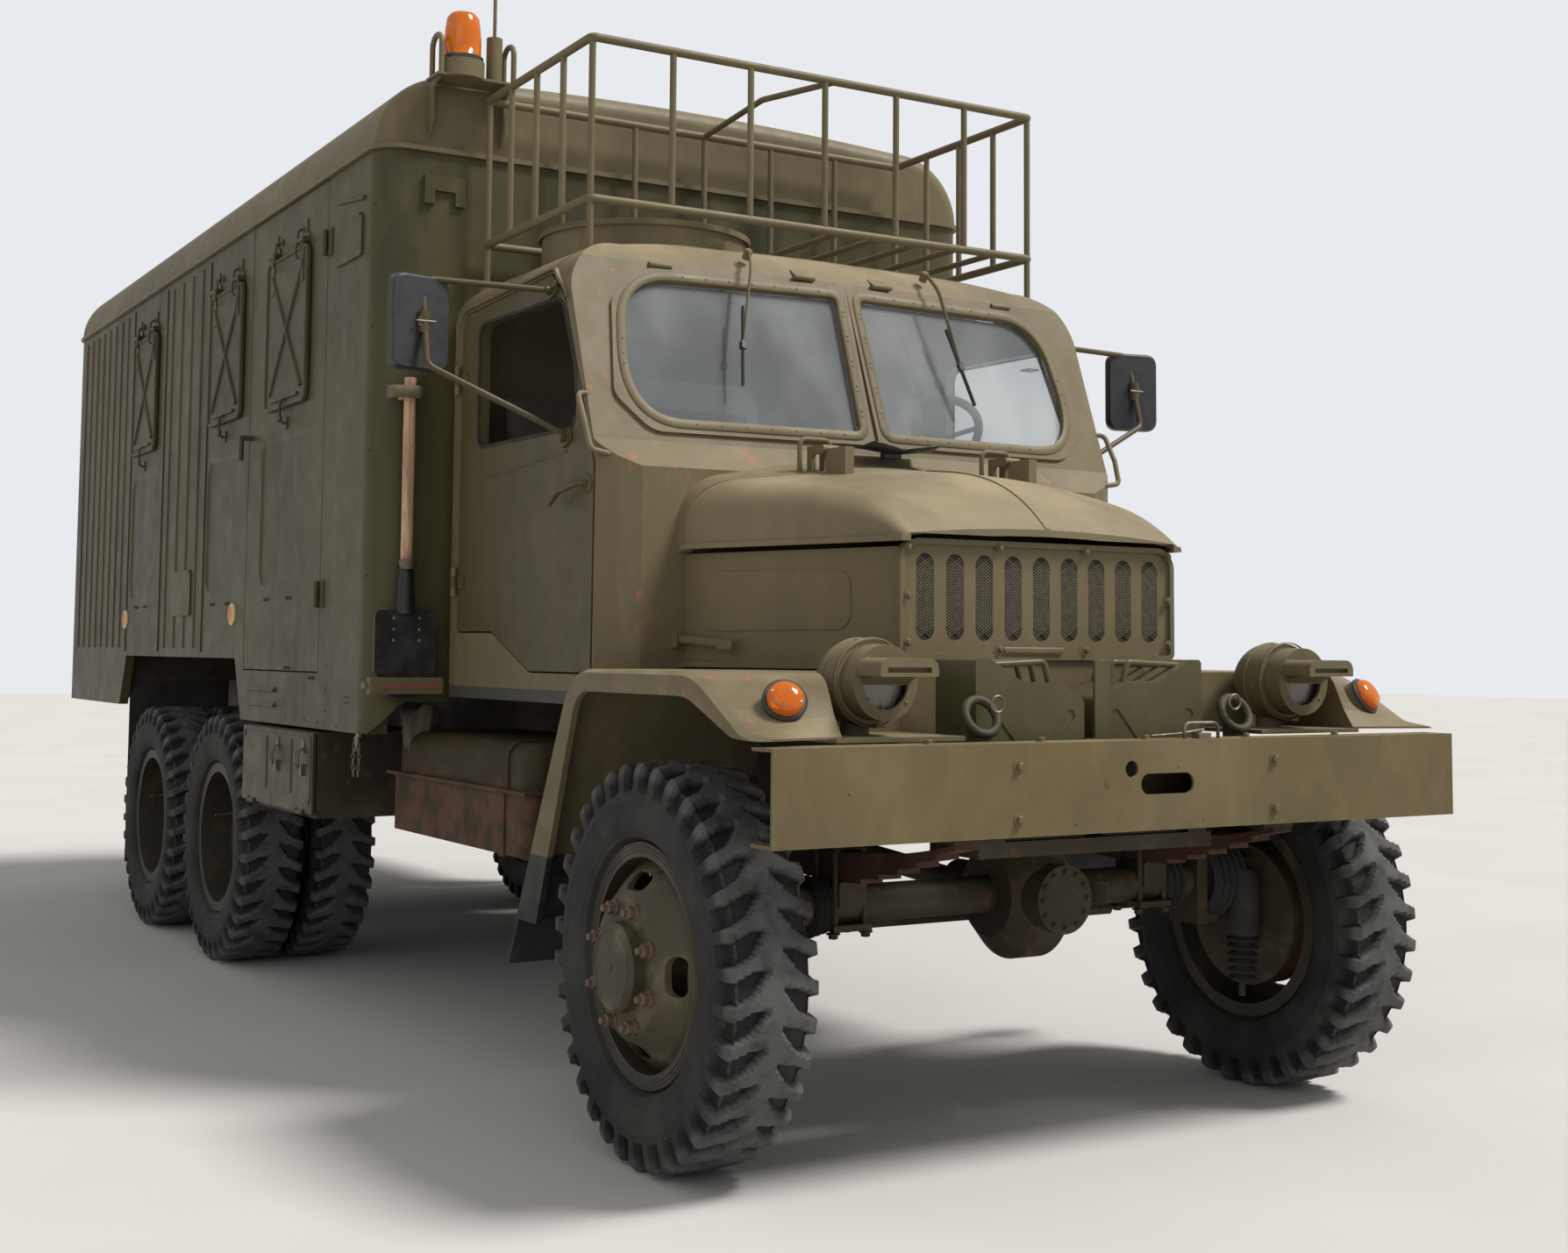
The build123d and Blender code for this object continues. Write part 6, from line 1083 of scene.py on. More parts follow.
def make_screen_hinges():
    shapes = []
    for x, y, z in SCREEN_HINGES:
        spot = at(x + 0.012, y, z)
        leaf_at = spot + Vector((0.006, 0, -0.022))
        shapes.append(block((0.030, 0.031, 0.004), leaf_at, SCREEN_NORMAL, (0, 0, -1)))
        shapes.append(bar([spot + Vector((0.012, 0.036 * k, 0.010)) for k in (-1, 1)], 0.009, 10))
        shapes.append(block((0.020, 0.030, 0.003), spot + Vector((-0.008, 0, 0.024)), (0.6, 0, 0.8), AHEAD))
        for k in SIDES:
            shapes += screw(spot + Vector((0.009, 0.014 * k, -0.024)), SCREEN_NORMAL, 0.0035)
    piece("screen_hinges", shapes, "olive_plain", bevel=0.0006)


def make_wipers():
    arms, blades = [], []
    for points in WIPERS:
        pivot, elbow, tip = (at(*point) for point in points)
        path = [pivot + Vector((-0.02, 0, 0.0)), pivot + Vector((0.01, 0, 0.012)), elbow, tip]
        arms.append(bar(bend(path, 0.03), 0.0075, 8, 0.55))
        arms.append(disc([(0.013, -0.012), (0.013, 0.016), (0.009, 0.020)], pivot, (0.6, 0, 0.8), 14))
        along = (tip - elbow).normalized()
        middle = tip - along * 0.01
        sweep = (along + Vector((0, 0.10, 0))).normalized()
        ends = [middle + sweep * BLADE_HALF * k for k in (-1, 1)]
        blades.append(bar(ends, 0.0055, 8, 0.6))
        blades.append(bar([end - SCREEN_NORMAL * 0.007 for end in ends], 0.0028, 6))
        blades.append(block((0.008, 0.008, 0.012), middle, sweep))
    piece("wiper_arms", arms, "olive_plain")
    piece("wiper_blades", blades, "plastic_black")


# Bonnet: rubber deflector before the windscreen, side latches
DEFLECTOR_ROWS = 9
DEFLECTOR_Y, DEFLECTOR_HALF = 0.005, 0.125
LATCH_PATH = [(-0.745, 0.747, 1.213), (-0.550, 0.690, 1.253), (-0.330, 0.626, 1.236)]


def make_deflector():
    rows = []
    for i in range(DEFLECTOR_ROWS):
        t = -1 + 2 * i / (DEFLECTOR_ROWS - 1)
        y = DEFLECTOR_Y + DEFLECTOR_HALF * t
        back = 0.02 * abs(t)
        rows.append([
            at(-0.575, y, 1.812 + 0.010 * abs(t)),
            at(-0.520 + back, y, 1.799 + 0.012 * abs(t)),
            at(-0.455 + back, y * 0.92, 1.808 + 0.016 * abs(t)),
        ])
    deflector = piece("screen_deflector", [grid(rows)], "plastic_black", angle=60)
    deflector.modifiers.new("thickness", "SOLIDIFY").thickness = 0.004
    foot = block((0.012, 0.030, 0.010), at(-0.525, DEFLECTOR_Y, 1.793))
    piece("deflector_foot", [foot], "plastic_black", bevel=0.002)


def make_hood_latches():
    shapes, pins = [], []
    for side in SIDES:
        path = [at(x, side * y, z) for x, y, z in LATCH_PATH]
        shapes.append(bar(path, 0.011, 8, 0.45))
        along = (1, -side * 0.3, 0)
        shapes.append(block((0.020, 0.006, 0.020), at(-0.545, side * 0.695, 1.248), UP, along))
        shapes.append(block((0.028, 0.005, 0.012), at(-0.350, side * 0.640, 1.236), UP, along))
        for spot in (path[0], path[2]):
            pins += screw(spot + Vector((0, side * 0.006, 0)), (0, side, 0), 0.006)
    piece("hood_latches", shapes, "olive_plain", bevel=0.001)
    piece("hood_latch_pins", pins, "bare_steel")


# Cab doors: mirror heads, window rubber, feet of the mirror arm, lock and crease
MIRROR_AT = (-0.948, 1.292, 2.124)
MIRROR_TURN = 0.25
MIRROR_WIDE, MIRROR_TALL = 0.184, 0.268
MIRROR_STEPS = [(1.0, -0.0165), (1.0, 0.007), (0.955, 0.0155), (0.50, 0.0172), (0.10, 0.0178)]
WINDOW_LINE = [(-0.742, 1.838), (-0.738, 1.985), (-0.845, 2.222), (-1.468, 2.228), (-1.468, 1.842)]
ARM_FEET = ((-0.905, 2.248), (-0.790, 1.812))
CREASE_LINE = ((-1.42, 1.748), (-1.2, 1.753), (-0.96, 1.768), (-0.80, 1.776))
DOOR_SKIN = 0.905


def make_mirror(side, name):
    """Rounded shell with four flats behind the clamp, its glass and the clamp."""
    body = f"cab_door_{name}"
    spot = at(MIRROR_AT[0], side * MIRROR_AT[1], MIRROR_AT[2])
    axis, across = (1, -side * MIRROR_TURN, 0), (MIRROR_TURN, side, 0)
    outline = rounded(MIRROR_WIDE, MIRROR_TALL, 0.034)
    shell = loft([[(x * share, y * share, height) for x, y in outline] for share, height in MIRROR_STEPS])
    piece(f"mirror_shell_{name}", [put(shell, spot, axis, across)], "plastic_black", body, 0.001, 20)
    face = plate(rounded(MIRROR_WIDE - 0.016, MIRROR_TALL - 0.016, 0.028), 0.001)
    behind = spot - Vector(axis).normalized() * 0.0185
    piece(f"mirror_glass_{name}", [put(face, behind, axis, across)], "mirror_silver", body)
    clamp = [disc([(0.0125, -0.014), (0.0125, 0.014)], spot + Vector((0.023, 0, 0)), UP, 14)]
    clamp.append(bar([spot + Vector((0.012, 0, 0)), spot + Vector((0.030, 0, 0))], 0.009, 10))
    clamp.append(bar([spot + Vector((0.037, side * y, 0)) for y in (-0.036, 0.020)], 0.0038))
    piece(f"mirror_clamp_{name}", clamp, "bare_steel", body, 0.0006)


def make_door_trim(side, name):
    body = f"cab_door_{name}"
    out = (0, side, 0)
    corners = [at(x, side * (DOOR_SKIN + 0.001), z) for x, z in WINDOW_LINE + WINDOW_LINE[:2]]
    line = bend(corners, 0.05)[1:-2]
    piece(f"window_rubber_{name}", [bar(line, 0.0052, 8, 0.6)], "flap_rubber", body)
    shapes = []
    for x, z in ARM_FEET:
        foot = at(x, side * (DOOR_SKIN + 0.004), z)
        shapes.append(block((0.030, 0.018, 0.004), foot, out, (1, 0, 0.35)))
        shapes.append(disc([(0.012, 0.0), (0.012, 0.022), (0.010, 0.024)], foot, out, 12))
        for k in SIDES:
            shapes += bolt(foot + Vector((0.020 * k, side * 0.003, 0.007 * k)), out, 0.0052)
    lock = at(-0.655, side * (DOOR_SKIN - 0.006), 1.675)
    shapes.append(disc([(0.026, 0.0), (0.026, 0.008), (0.019, 0.013)], lock, out, 20))
    piece(f"mirror_feet_{name}", shapes, "olive_door", body, 0.0006)
    crease = [at(x, side * (DOOR_SKIN + 0.0005), z) for x, z in CREASE_LINE]
    piece(f"door_crease_{name}", [bar(crease, 0.0045, 8, 0.5)], "olive_door", body)


# Box body trim
MIDDLE_WINDOW = (-3.765, -3.285, 2.105, 2.640)
REAR_WINDOW = (-5.160, -4.700, 2.100, 2.640)
WINDOWS = {
    # rear edge, front edge, low, high
    "right_front": (-2.940, -2.440, 2.080, 2.640),
    "right_middle": MIDDLE_WINDOW,
    "right_rear": REAR_WINDOW,
    "left_middle": MIDDLE_WINDOW,
    "left_rear": REAR_WINDOW,
}
HOOK_PATH = [
    # along the wall, out of it, above the cover's upper edge
    (0, 0.006, 0.060), (0, 0.024, 0.052), (0, 0.027, 0.010), (-0.010, 0.030, -0.030), (0, 0.022, -0.048),
]
HOOK_SEAT = [(0.015, 0.0), (0.015, 0.004), (0.009, 0.010)]
CATCH_PATH = [(0.006, -0.058), (0.026, -0.050), (0.028, 0.012), (0.018, 0.030)]
BOLT_PAIRS = [
    # place and height of the pairs of bolts below the pressings
    (-2.62, 1.395), (-2.90, 1.395), (-3.44, 1.39), (-3.66, 1.39),
    (-4.84, 1.40), (-5.02, 1.40), (-2.62, 1.150), (-2.33, 1.118),
]
SIDE_SCREWS = [
    (-1.93, 1.062), (-1.96, 1.062), (-1.93, 1.045), (-1.96, 1.045), (-2.17, 1.16), (-2.17, 1.085),
    (-2.17, 1.012), (-2.62, 0.985), (-2.40, 0.975), (-2.25, 0.972), (-2.05, 0.965),
]
CORNER_SCREWS = (1.10, 1.45, 1.85, 2.25, 2.65)
DOOR_REAR_EDGE, DOOR_BOLTS_ABOVE = -3.1, 1.15
REFLECTORS = [(-3.354, 1.347), (-5.226, 1.346)]
REFLECTOR_RIM = [(0.030, 0.0), (0.043, 0.0), (0.043, 0.006), (0.036, 0.010), (0.030, 0.010)]
REFLECTOR_DISC = [(0.031, 0.0), (0.031, 0.006), (0.020, 0.0085), (0.004, 0.0095)]


def window_hooks(name):
    """Swinging hooks over a cover's upper edge and the catch with its wing nut below it."""
    x0, x1, z0, z1 = WINDOWS[name]
    side = 1 if name.startswith("left") else -1
    out = (0, side, 0)
    shapes = []
    for x in (x0 + 0.13, x1 - 0.10):
        path = [on_box(side, x + dx, z1 + dz, proud) for dx, proud, dz in HOOK_PATH]
        shapes.append(bar(bend(path, 0.015), 0.0045))
        shapes.append(disc(HOOK_SEAT, on_box(side, x, z1 + 0.060), out, 12))
    x = (x0 + x1) / 2 - 0.01
    shapes.append(block((0.014, 0.022, 0.003), on_box(side, x, z0 - 0.055, 0.003), out, AHEAD))
    path = [on_box(side, x, z0 + dz, proud) for proud, dz in CATCH_PATH]
    shapes.append(bar(bend(path, 0.012), 0.0048))
    shapes.append(block((0.016, 0.004, 0.005), on_box(side, x, z0 - 0.042, 0.026), out, (1, 0, 0.5)))
    return shapes


def make_side_hooks():
    """Hooks and bolt pairs; those on the entrance door swing with it."""
    wall, door = [], []
    for name in WINDOWS:
        (door if name == "right_front" else wall).extend(window_hooks(name))
    for x, z in BOLT_PAIRS:
        for side in SIDES:
            on_door = side < 0 and x > DOOR_REAR_EDGE and z > DOOR_BOLTS_ABOVE
            for k in SIDES:
                pair = bolt(on_box(side, x + 0.018 * k, z), (0, side, 0), 0.0062, x)
                (door if on_door else wall).extend(pair)
    piece("side_hooks", wall, "olive_side", bevel=0.0005)
    piece("door_hooks", door, "olive_side", "box_side_door", 0.0005)


def make_reflectors():
    rims, discs = [], []
    for x, z in REFLECTORS:
        for side in SIDES:
            spot = on_box(side, x, z, 0.0005)
            rims.append(hoop(REFLECTOR_RIM, spot, (0, side, 0)))
            discs.append(disc(REFLECTOR_DISC, spot, (0, side, 0), 36))
    piece("reflector_rims", rims, "reflector_cream")
    piece("reflector_discs", discs, "lens_orange")


def make_side_screws():
    shapes = []
    for side in SIDES:
        for x, z in SIDE_SCREWS:
            shapes += screw(on_box(side, x, z), (0, side, 0), 0.005)
        for z in CORNER_SCREWS:
            shapes += screw(on_box(side, -1.80, z, -0.004), (0, side, 0), 0.004)
    piece("side_screws", shapes, "olive_side")


# Locker below the box
LOCKER_SKIN = -1.1465
LOCKER_FACE = LOCKER_SKIN - 0.0112
LOCKER_LOW, LOCKER_HIGH, LOCKER_REAR, LOCKER_FRONT = 0.700, 0.925, -3.085, -2.275
LATCH_LOOP = [(0.006, 0.880), (0.024, 0.862), (0.020, 0.815)]
CHAIN_LINKS = 7


def make_locker_latches():
    shapes = []
    for x in (-2.36, -2.66):
        shapes.append(block((0.022, 0.013, 0.004), at(x, LOCKER_FACE, 0.885), (0, -1, 0), UP))
        loop = [at(x - 0.012, LOCKER_FACE - out, z) for out, z in LATCH_LOOP]
        loop += [at(x + 0.012, LOCKER_FACE - out, z) for out, z in reversed(LATCH_LOOP)]
        shapes.append(bar(bend(loop, 0.012), 0.0042))
        shapes.append(block((0.020, 0.010, 0.006), at(x, LOCKER_FACE - 0.004, 0.806), (0, -1, 0), UP))
        shapes += screw(at(x, LOCKER_FACE - 0.004, 0.905), (0, -1, 0), 0.006)
    piece("locker_latches", shapes, "bare_steel", "locker_door", 0.0006)


def make_locker_ribs():
    """Rolled border and two upright ribs on the drop door."""
    corners = [(LOCKER_REAR, LOCKER_LOW), (LOCKER_FRONT, LOCKER_LOW), (LOCKER_FRONT, LOCKER_HIGH),
               (LOCKER_REAR, LOCKER_HIGH)]
    border = [at(x, LOCKER_FACE, z) for x, z in corners + corners[:2]]
    ribs = [bar(bend(border, 0.03)[2:-7], 0.006, 8, 0.7)]
    for x in (-2.50, -2.80):
        ends = [at(x, LOCKER_FACE, z) for z in (LOCKER_LOW + 0.02, LOCKER_HIGH - 0.02)]
        ribs.append(bar(ends, 0.009, 8, 0.5))
    piece("locker_ribs", ribs, "olive_side", "locker_door")


def make_locker_chain():
    top = at(-1.81, LOCKER_SKIN - 0.004, 0.945)
    shapes = []
    for side in SIDES:
        for i in range(CHAIN_LINKS):
            t = i / (CHAIN_LINKS - 1)
            spot = top + Vector((side * (0.016 + 0.012 * math.sin(t * 2.6)), -0.006, -0.014 - 0.105 * t))
            across = (0, 0.0045, 0) if i % 2 else (0.0045, 0, 0)
            shapes.append(bar(oval(spot, across, (0, 0, 0.0105), 11), 0.0013, 5))
    shapes.append(block((0.014, 0.004, 0.005), top))
    shapes.append(bar([top + Vector((0, -0.005, -0.004)), top + Vector((0, -0.006, -0.05))], 0.005))
    piece("locker_chain", shapes, "bare_steel")


# Cloth over the tank's filler neck
WRAP_ROWS, WRAP_COLUMNS = 15, 41
WRAP_NECK, WRAP_CLOSES = 0.058, 0.72


def make_filler_wrap():
    """Cloth in folds, drawn together above the cap."""
    centre = at(-1.86, -0.93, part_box("fuel_tank")[1][2] - 0.060)
    rows = []
    for i in range(WRAP_ROWS):
        t = i / (WRAP_ROWS - 1)
        row = []
        for k in range(WRAP_COLUMNS):
            a = 2 * math.pi * k / (WRAP_COLUMNS - 1)
            fold = 1 + 0.16 * math.sin(5 * a + 2.0 * t) * (0.3 + t) + 0.07 * math.sin(11 * a - 3 * t)
            radius = (WRAP_NECK - 0.010 * math.cos(math.pi * t)) * fold
            if t > WRAP_CLOSES:
                radius *= 1 - 0.93 * ((t - WRAP_CLOSES) / (1 - WRAP_CLOSES)) ** 1.4
            height = -0.085 + 0.140 * min(1.0, t / 0.8) + 0.012 * math.sin(3 * a + 1)
            row.append(centre + Vector((radius * math.cos(a), radius * math.sin(a), height)))
        rows.append(row)
    wrap = piece("filler_wrap", [grid(rows)], "rag_cloth", angle=70)


# Seats
SEATS = {"driver": (0.150, 0.760, 4), "bench": (-0.780, 0.090, 8)}
CUSHION = (-1.480, -1.040, 1.456, 1.560)
BACKREST = (-1.600, -1.500, 1.545, 2.018)
PAD_ROWS, PAD_COLUMNS = 34, 26
BASE_HALF, BASE_Z = 0.170, 1.285


def pad_point(u, v, ends, low, high, channels):
    """Place across the truck and half thickness at shares u and v of a crowned cushion."""
    crown = (1 - (2 * u - 1) ** 6) * (1 - (2 * v - 1) ** 6)
    seam = max(0.0, 1 - abs((v * channels) % 1.0 - 0.5) * 2 / 0.16)
    sewn = 1 - 0.16 * seam if 0.03 < v < 0.97 else 1
    pinch = 1 - 0.035 * math.sin(math.pi * u)
    y = sum(ends) / 2 + (ends[1] - ends[0]) / 2 * (2 * v - 1) * pinch
    return y, (high - low) / 2 * (0.45 + 0.55 * crown) * sewn


def pad(box, ends, channels, upright):
    """Crowned cushion with sewn channels along its length."""
    x0, x1, z0, z1 = box
    low, high = (x0, x1) if upright else (z0, z1)
    points, faces = [], []
    for top in SIDES:
        base = len(points)
        for i in range(PAD_ROWS):
            u = i / (PAD_ROWS - 1)
            for k in range(PAD_COLUMNS):
                y, half = pad_point(u, k / (PAD_COLUMNS - 1), ends, low, high, channels)
                proud = (low + high) / 2 + top * half
                along = z0 + (z1 - z0) * u if upright else x0 + (x1 - x0) * u
                points.append(at(proud, y, along) if upright else at(along, y, proud))
        for i in range(PAD_ROWS - 1):
            for k in range(PAD_COLUMNS - 1):
                a = base + i * PAD_COLUMNS + k
                faces.append((a, a + 1, a + PAD_COLUMNS + 1, a + PAD_COLUMNS))
    half = PAD_ROWS * PAD_COLUMNS
    rim = list(range(PAD_COLUMNS)) + [i * PAD_COLUMNS + PAD_COLUMNS - 1 for i in range(1, PAD_ROWS)]
    rim += [(PAD_ROWS - 1) * PAD_COLUMNS + k for k in range(PAD_COLUMNS - 2, -1, -1)]
    rim += [i * PAD_COLUMNS for i in range(PAD_ROWS - 2, 0, -1)]
    for a, b in zip(rim, rim[1:] + rim[:1]):
        faces.append((a, b, half + b, half + a))
    return points, faces


def make_seats():
    for name, (y0, y1, channels) in SEATS.items():
        for part, box, upright in (("cushion", CUSHION, False), ("back", BACKREST, True)):
            shape = pad(box, (y0, y1), channels, upright)
            obj = piece(f"{name}_{part}", [shape], "seat_cover", angle=80)
        half = (0.018, (y1 - y0) / 2 - 0.04, BASE_HALF)
        base = [block(half, at(x, (y0 + y1) / 2, BASE_Z)) for x in (-1.120, -1.442)]
        for y in (y0 + 0.05, y1 - 0.05):
            base.append(block((BASE_HALF, 0.010, BASE_HALF), at(-1.280, y, BASE_Z)))
            stay = [at(-1.45, y, 1.455), at(-1.555, y, 1.47), at(-1.575, y, 1.90)]
            base.append(bar(bend(stay, 0.05), 0.012))
        obj = piece(f"{name}_base", base, "chassis_paint", bevel=0.003)
        if name == "driver":
            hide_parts("seats")


# Front axle: boots, steering cylinders and bolts
TUBE_Z = HUB_Z + 0.108
PLATE_BOLTS = 12
CYLINDER_Y, CYLINDER_FOOT = 0.800, HUB_Z - 0.045
CYLINDER = [(0.044, 0.0), (0.046, 0.01), (0.046, 0.16), (0.034, 0.185)]


def bellows(start, end, small, large, folds, hollow=0.0):
    """Rubber boot of rounded folds between two ends; with a hollow it stays open inside."""
    start, end = Vector(start), Vector(end)
    length = (end - start).length
    profile = []
    count = folds * 6
    for i in range(count + 1):
        t = i / count
        wave = 0.010 * math.sin(2 * math.pi * folds * t - math.pi / 2)
        profile.append((small + (large - small) * t + wave, length * t))
    if hollow:
        return hoop(profile + [(hollow, length), (hollow, 0.0)], start, end - start, 32)
    return disc(profile, start, end - start, 32)


def make_axle_bolts():
    bolts = []
    for side in SIDES:
        for k in SIDES:
            for y in (-0.048, 0.048):
                bolts += bolt(at(0.044 * k, side * 0.495 + y, TUBE_Z - 0.064), (0, 0, -1), 0.012)
    for i in range(PLATE_BOLTS):
        a = 2 * math.pi * i / PLATE_BOLTS
        bolts += bolt(at(0.200, 0.065 + 0.072 * math.cos(a), TUBE_Z + 0.072 * math.sin(a)), AHEAD, 0.007, a)
    bolts.append(block((0.055, 0.006, 0.030), at(0.150, 0.178, TUBE_Z + 0.01), UP, (0.8, 0.5, 0)))
    piece("axle_bolts", bolts, "chassis_paint", bevel=0.0006)


def make_axle_boots():
    boots = [bellows(at(0, s * 0.545, TUBE_Z), at(0, s * 0.600, TUBE_Z), 0.058, 0.070, 3) for s in SIDES]
    piece("axle_boots", boots, "flap_rubber", angle=60)


def make_steer_boots():
    """Boot and cylinder at each steered end, and the open boot about the axle's joint."""
    for side, name in NAMED_SIDES:
        y = side * CYLINDER_Y
        low, top = at(0.075, y, HUB_Z - 0.175), at(0.080, y, CYLINDER_FOOT)
        inner, outer = [at(0, side * reach, TUBE_Z) for reach in (0.692, 0.798)]
        shapes = [bellows(low, top, 0.030, 0.038, 6)]
        shapes.append(bellows(inner, outer, 0.094, 0.106, 5, 0.082))
        shapes.append(disc(CYLINDER, top))
        shapes.append(disc([(0.010, -0.04), (0.010, 0.0)], low, UP, 10))
        piece(f"steer_boot_{name}", shapes, "flap_rubber", f"steer_{name}", angle=60)


# Shovel: holder across the blade, upper clamp and the socket's rivets
SHOVEL_X, SHOVEL_Y = BOX_FRONT + 0.042, -1.045
HOLDER_Z, HOLDER_HALF = 1.104, 0.116
CLAMP_Z = 2.030
CLAMP_PATH = [
    (-0.034, -0.070), (0.004, -0.060), (0.024, -0.020), (0.024, 0.020), (0.004, 0.040), (-0.030, 0.045),
]


def shovel_point(x, y, z):
    return Vector((SHOVEL_X + x, SHOVEL_Y + y, z))


def make_shovel_clamp():
    clamp = bend([shovel_point(x, y, CLAMP_Z) for x, y in CLAMP_PATH], 0.01)
    strip = grid([[p + Vector((0, 0, dz)) for p in clamp] for dz in (-0.020, 0.020)])
    band = piece("shovel_clamp", [strip], "olive_plain")
    band.modifiers.new("thickness", "SOLIDIFY").thickness = 0.003


def make_shovel_trim():
    """Holder of flat bars across the blade, its red strap's edge and the socket's rivets."""
    shapes = [block((0.004, HOLDER_HALF, 0.026), shovel_point(x, 0, HOLDER_Z)) for x in (0.013, -0.012)]
    for k in SIDES:
        shapes.append(block((0.016, 0.004, 0.026), shovel_point(0, HOLDER_HALF * k, HOLDER_Z)))
    shapes.append(block((0.020, 0.006, 0.010), shovel_point(-0.020, -0.124, HOLDER_Z)))
    piece("shovel_holder", shapes, "olive_plain", bevel=0.001)
    edge = [shovel_point(0.018, y, 1.100) for y in (-0.085, 0.112)]
    piece("shovel_strap_edge", [bar(edge, 0.004)], "strap_red")
    rivets = []
    for k in SIDES:
        for z in (1.315, 1.280, 1.245):
            rivets += screw(shovel_point(0.006, 0.042 * k, z), AHEAD, 0.006)
    rivets.append(disc([(0.022, 0.0), (0.030, 0.02), (0.026, 0.03)], shovel_point(0, 0, 1.470), UP, 20))
    piece("shovel_rivets", rivets, "bare_steel")


def make_rack_feet():
    low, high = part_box("roof_rack")
    places = [(high[0] - 0.020, y, low[2] + 0.004) for y in (low[1] + 0.020, high[1] - 0.020)]
    piece("rack_feet", [block((0.022, 0.022, 0.003), place) for place in places], "olive_plain", bevel=0.001)


# Materials of the frame's own nodes and of the trim
OLIVE_SLOT = "olive_paint"
SIDE_NODES = ["box_right_wall", "box_left_wall", "box_rear_wall", "box_front_wall", "box_side_door",
              "rear_door_left", "rear_door_right", "locker_door"]
ROOF_SPOTS = [(-0.83, y, 2.41) for y in (-0.78, -0.55, -0.02, 0.25, 0.55)]
PILLAR_SPOTS = [(-0.68, -0.86, z) for z in (2.2, 2.05, 1.9)]
COWL_SPOTS = [(-0.60, -0.80, 1.70), (-0.56, -0.45, 1.79), (-0.62, -0.86, 1.40), (-0.55, 0.6, 1.78)]
FENDER_SPOTS = [(-0.35, -1.0, 1.17), (0.1, -1.0, 1.16), (0.30, -1.0, 1.10)]
RUST_SPOTS = [(-0.150, 0.905), (-0.006, 0.915), (-1.03, 0.82)]


def spots(places, radius):
    """Balls about places given ahead of the front axle."""
    return [(tuple(at(*place)), radius) for place in places]


def repaint(node, material):
    mesh = nodes[node].data
    mesh.materials.clear()
    mesh.materials.append(material)


def add_look(material, slot=OLIVE_SLOT, painted=()):
    """Keep a material for the trim and put it on nodes of the frame."""
    LOOKS[material.name] = (material, slot)
    for node in painted:
        repaint(node, material)


def make_slot_looks():
    """The material that each slot of the frame starts with."""
    by_slot = {
        OLIVE_SLOT: paint("olive_plain"),
        "rim_paint": rim_paint("rim_dark"),
        "chassis_paint": chassis_paint("gear_dark"),
        "tyre_rubber": rubber("tyre_black", tread=True),
        "window_glass": window_glass("glass_flat"),
        "lamp_lens": lens("lens_amber", (0.80, 0.19, 0.004), 0.45),
        "flap_rubber": rubber("flap_black", RUBBER, 0.35),
        "seat_cover": cloth("seat_cloth"),
        "bare_steel": speckled("steel_worn", (0.20, 0.18, 0.15), (0.10, 0.075, 0.055), 0.45, Metallic=0.6),
    }
    for slot, material in by_slot.items():
        LOOKS[slot] = (material, slot)
        add_look(material, slot)
    for part in frame["record"]["subparts"]:
        repaint(part["node"], by_slot[part["material_slot"]])


def make_node_looks():
    """Paints of single nodes."""
    covers = [node for node in nodes if node.startswith("window_cover")]
    bumper_spots = [((BUMPER_FACE, y, z), 0.018) for y, z in RUST_SPOTS]
    # Darker olive on the box walls, doors and covers: their paint's tone with painted shade of the shaded side
    # walls.
    add_look(paint("olive_side", (0.074, 0.065, 0.029), (0.038, 0.037, 0.017), dust=0.12, grime=0.6,
                   chips=0.35, streaks=1.0, rough=0.44, waves=0.12), painted=SIDE_NODES + covers)
    # High dust here also paints a highlight on the cab roof.
    add_look(paint("olive_cab", primer_spots=spots(ROOF_SPOTS, 0.22) + spots(PILLAR_SPOTS, 0.10),
                   chips=0.8, dust=0.9), painted=["cab_shell"])
    add_look(paint("olive_cowl", primer_spots=spots(COWL_SPOTS, 0.20), chips=0.7), painted=["cab_scuttle"])
    # Full dust on the hood also paints a highlight on its top.
    add_look(paint("olive_hood", (0.165, 0.135, 0.078), (0.122, 0.101, 0.058), dust=1.0, chips=0.5,
                   rough=0.5), painted=["hood"])
    # High dust on the fenders also paints a highlight on their tops.
    add_look(paint("olive_fender", primer_spots=spots(FENDER_SPOTS, 0.22), rubber_below=0.68, chips=1.0,
                   dust=0.9, wear=0.9), painted=["front_fenders"])
    add_look(paint("olive_bumper", (0.136, 0.103, 0.047), (0.106, 0.082, 0.039), dust=0.45, grime=0.35,
                   chips=1.0, wear=1.0, rust_spots=bumper_spots), painted=["front_bumper"])
    # Cab doors: a darker copy of the cab's olive, painted shade.
    add_look(paint("olive_door", (0.082, 0.066, 0.032), (0.058, 0.048, 0.024), dust=0.22, chips=0.5,
                   rough=0.42, streaks=0.7), painted=["cab_door_left", "cab_door_right"])
    add_look(paint("olive_can", (0.086, 0.076, 0.034), (0.060, 0.055, 0.026), dust=0.25, chips=0.4,
                   rough=0.30, wear=0.8), painted=["jerrycans"])
    add_look(paint("olive_tank", (0.037, 0.026, 0.008), (0.027, 0.019, 0.007), rust_below=0.83, dust=0.05,
                   grime=0.4, chips=1.0, rough=0.66), painted=["fuel_tank"])
    # Dark grey cab floor: painted shade inside the cab.
    add_look(paint("olive_inside", (0.055, 0.055, 0.046), (0.035, 0.036, 0.032), dust=0.1, chips=0.1),
             painted=["cab_floor"])
    add_look(chassis_paint("spring_rusty", (0.085, 0.040, 0.024)), painted=["leaf_springs"])
    add_look(shovel_mixed("shovel_mixed"), painted=["shovel"])


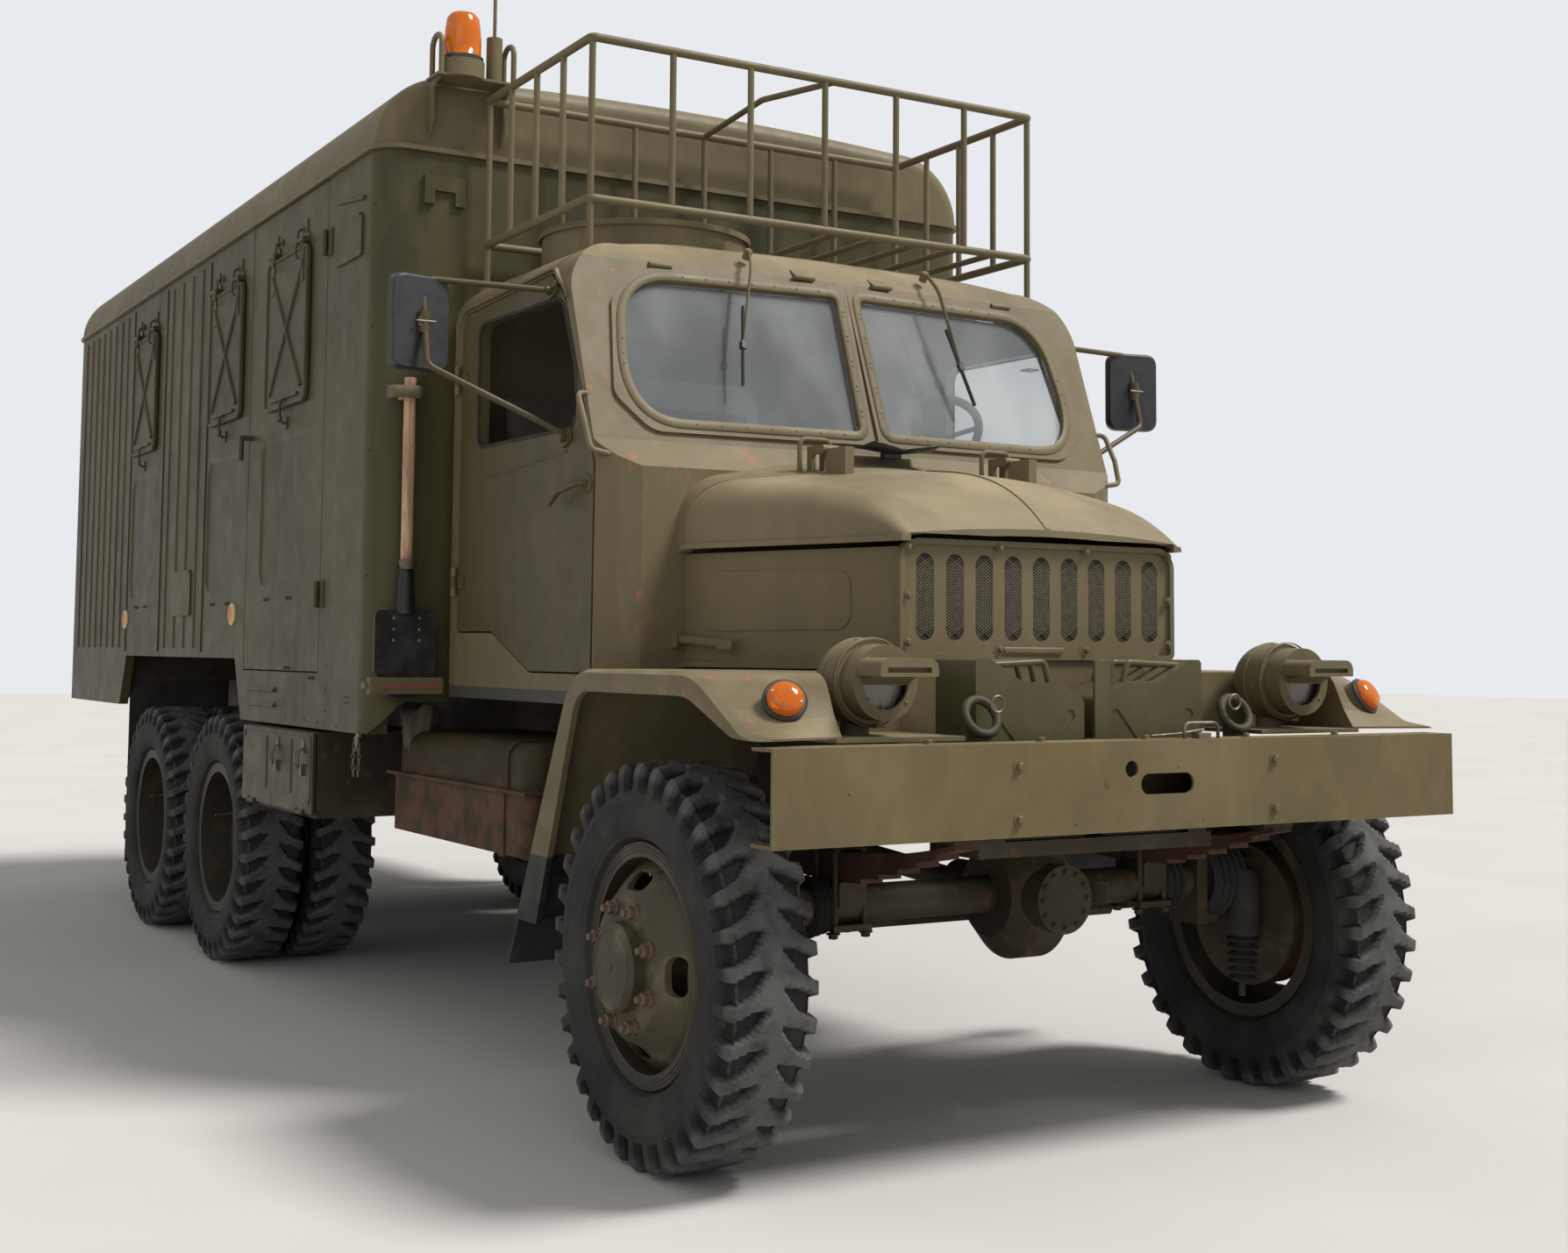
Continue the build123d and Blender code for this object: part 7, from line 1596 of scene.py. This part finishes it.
def make_trim_looks():
    add_look(speckled("nut_rust", (0.140, 0.086, 0.060), (0.075, 0.056, 0.040), 0.55, 60.0), "rim_paint")
    add_look(speckled("wire_dark", (0.135, 0.115, 0.075), (0.080, 0.070, 0.048), 0.5, 60.0))
    # Near black for the sheets behind the grille slots: painted shade.
    add_look(speckled("grille_hollow", (0.012, 0.011, 0.009), (0.020, 0.018, 0.014), 0.8, 14.0))
    add_look(speckled("plastic_black", (0.030, 0.032, 0.036), (0.022, 0.024, 0.027), 0.38, 30.0, 0.05),
             "flap_rubber")
    add_look(speckled("mirror_silver", (0.80, 0.82, 0.83), (0.76, 0.78, 0.80), 0.04, 3.0, 0.0, Metallic=1.0),
             "window_glass")
    add_look(speckled("reflector_bright", (0.62, 0.62, 0.60), (0.45, 0.45, 0.43), 0.16, 9.0, 0.03,
                      Metallic=1.0), "bare_steel")
    add_look(lens("lens_red", (0.55, 0.02, 0.012), 0.35, 0.2), "lamp_lens")
    add_look(lens("lens_clear", (0.30, 0.27, 0.235), 0.85, 0.10), "window_glass")
    add_look(lens("lens_orange", (0.80, 0.17, 0.010), 0.1, 0.25), "lamp_lens")
    add_look(speckled("reflector_cream", (0.62, 0.50, 0.26), (0.50, 0.38, 0.20), 0.35, 12.0), "lamp_lens")
    add_look(speckled("strap_red", (0.33, 0.075, 0.055), (0.13, 0.05, 0.04), 0.6, 18.0))
    add_look(cloth("rag_cloth", (0.095, 0.074, 0.050)), "seat_cover")


def make_all():
    make_camera()
    make_studio()
    make_slot_looks()
    make_node_looks()
    make_trim_looks()
    make_tyres()
    make_wheel_trim()
    make_grille()
    make_bumper()
    make_headlamps()
    make_turn_lamps()
    make_tail_lamps()
    make_beacon()
    make_screen_frames()
    make_screen_hinges()
    make_wipers()
    make_deflector()
    make_hood_latches()
    for side, name in NAMED_SIDES:
        make_mirror(side, name)
        make_door_trim(side, name)
    make_side_hooks()
    make_reflectors()
    make_side_screws()
    make_locker_latches()
    make_locker_ribs()
    make_locker_chain()
    make_filler_wrap()
    make_seats()
    make_axle_boots()
    make_axle_bolts()
    make_steer_boots()
    make_shovel_clamp()
    make_shovel_trim()
    make_rack_feet()


make_all()
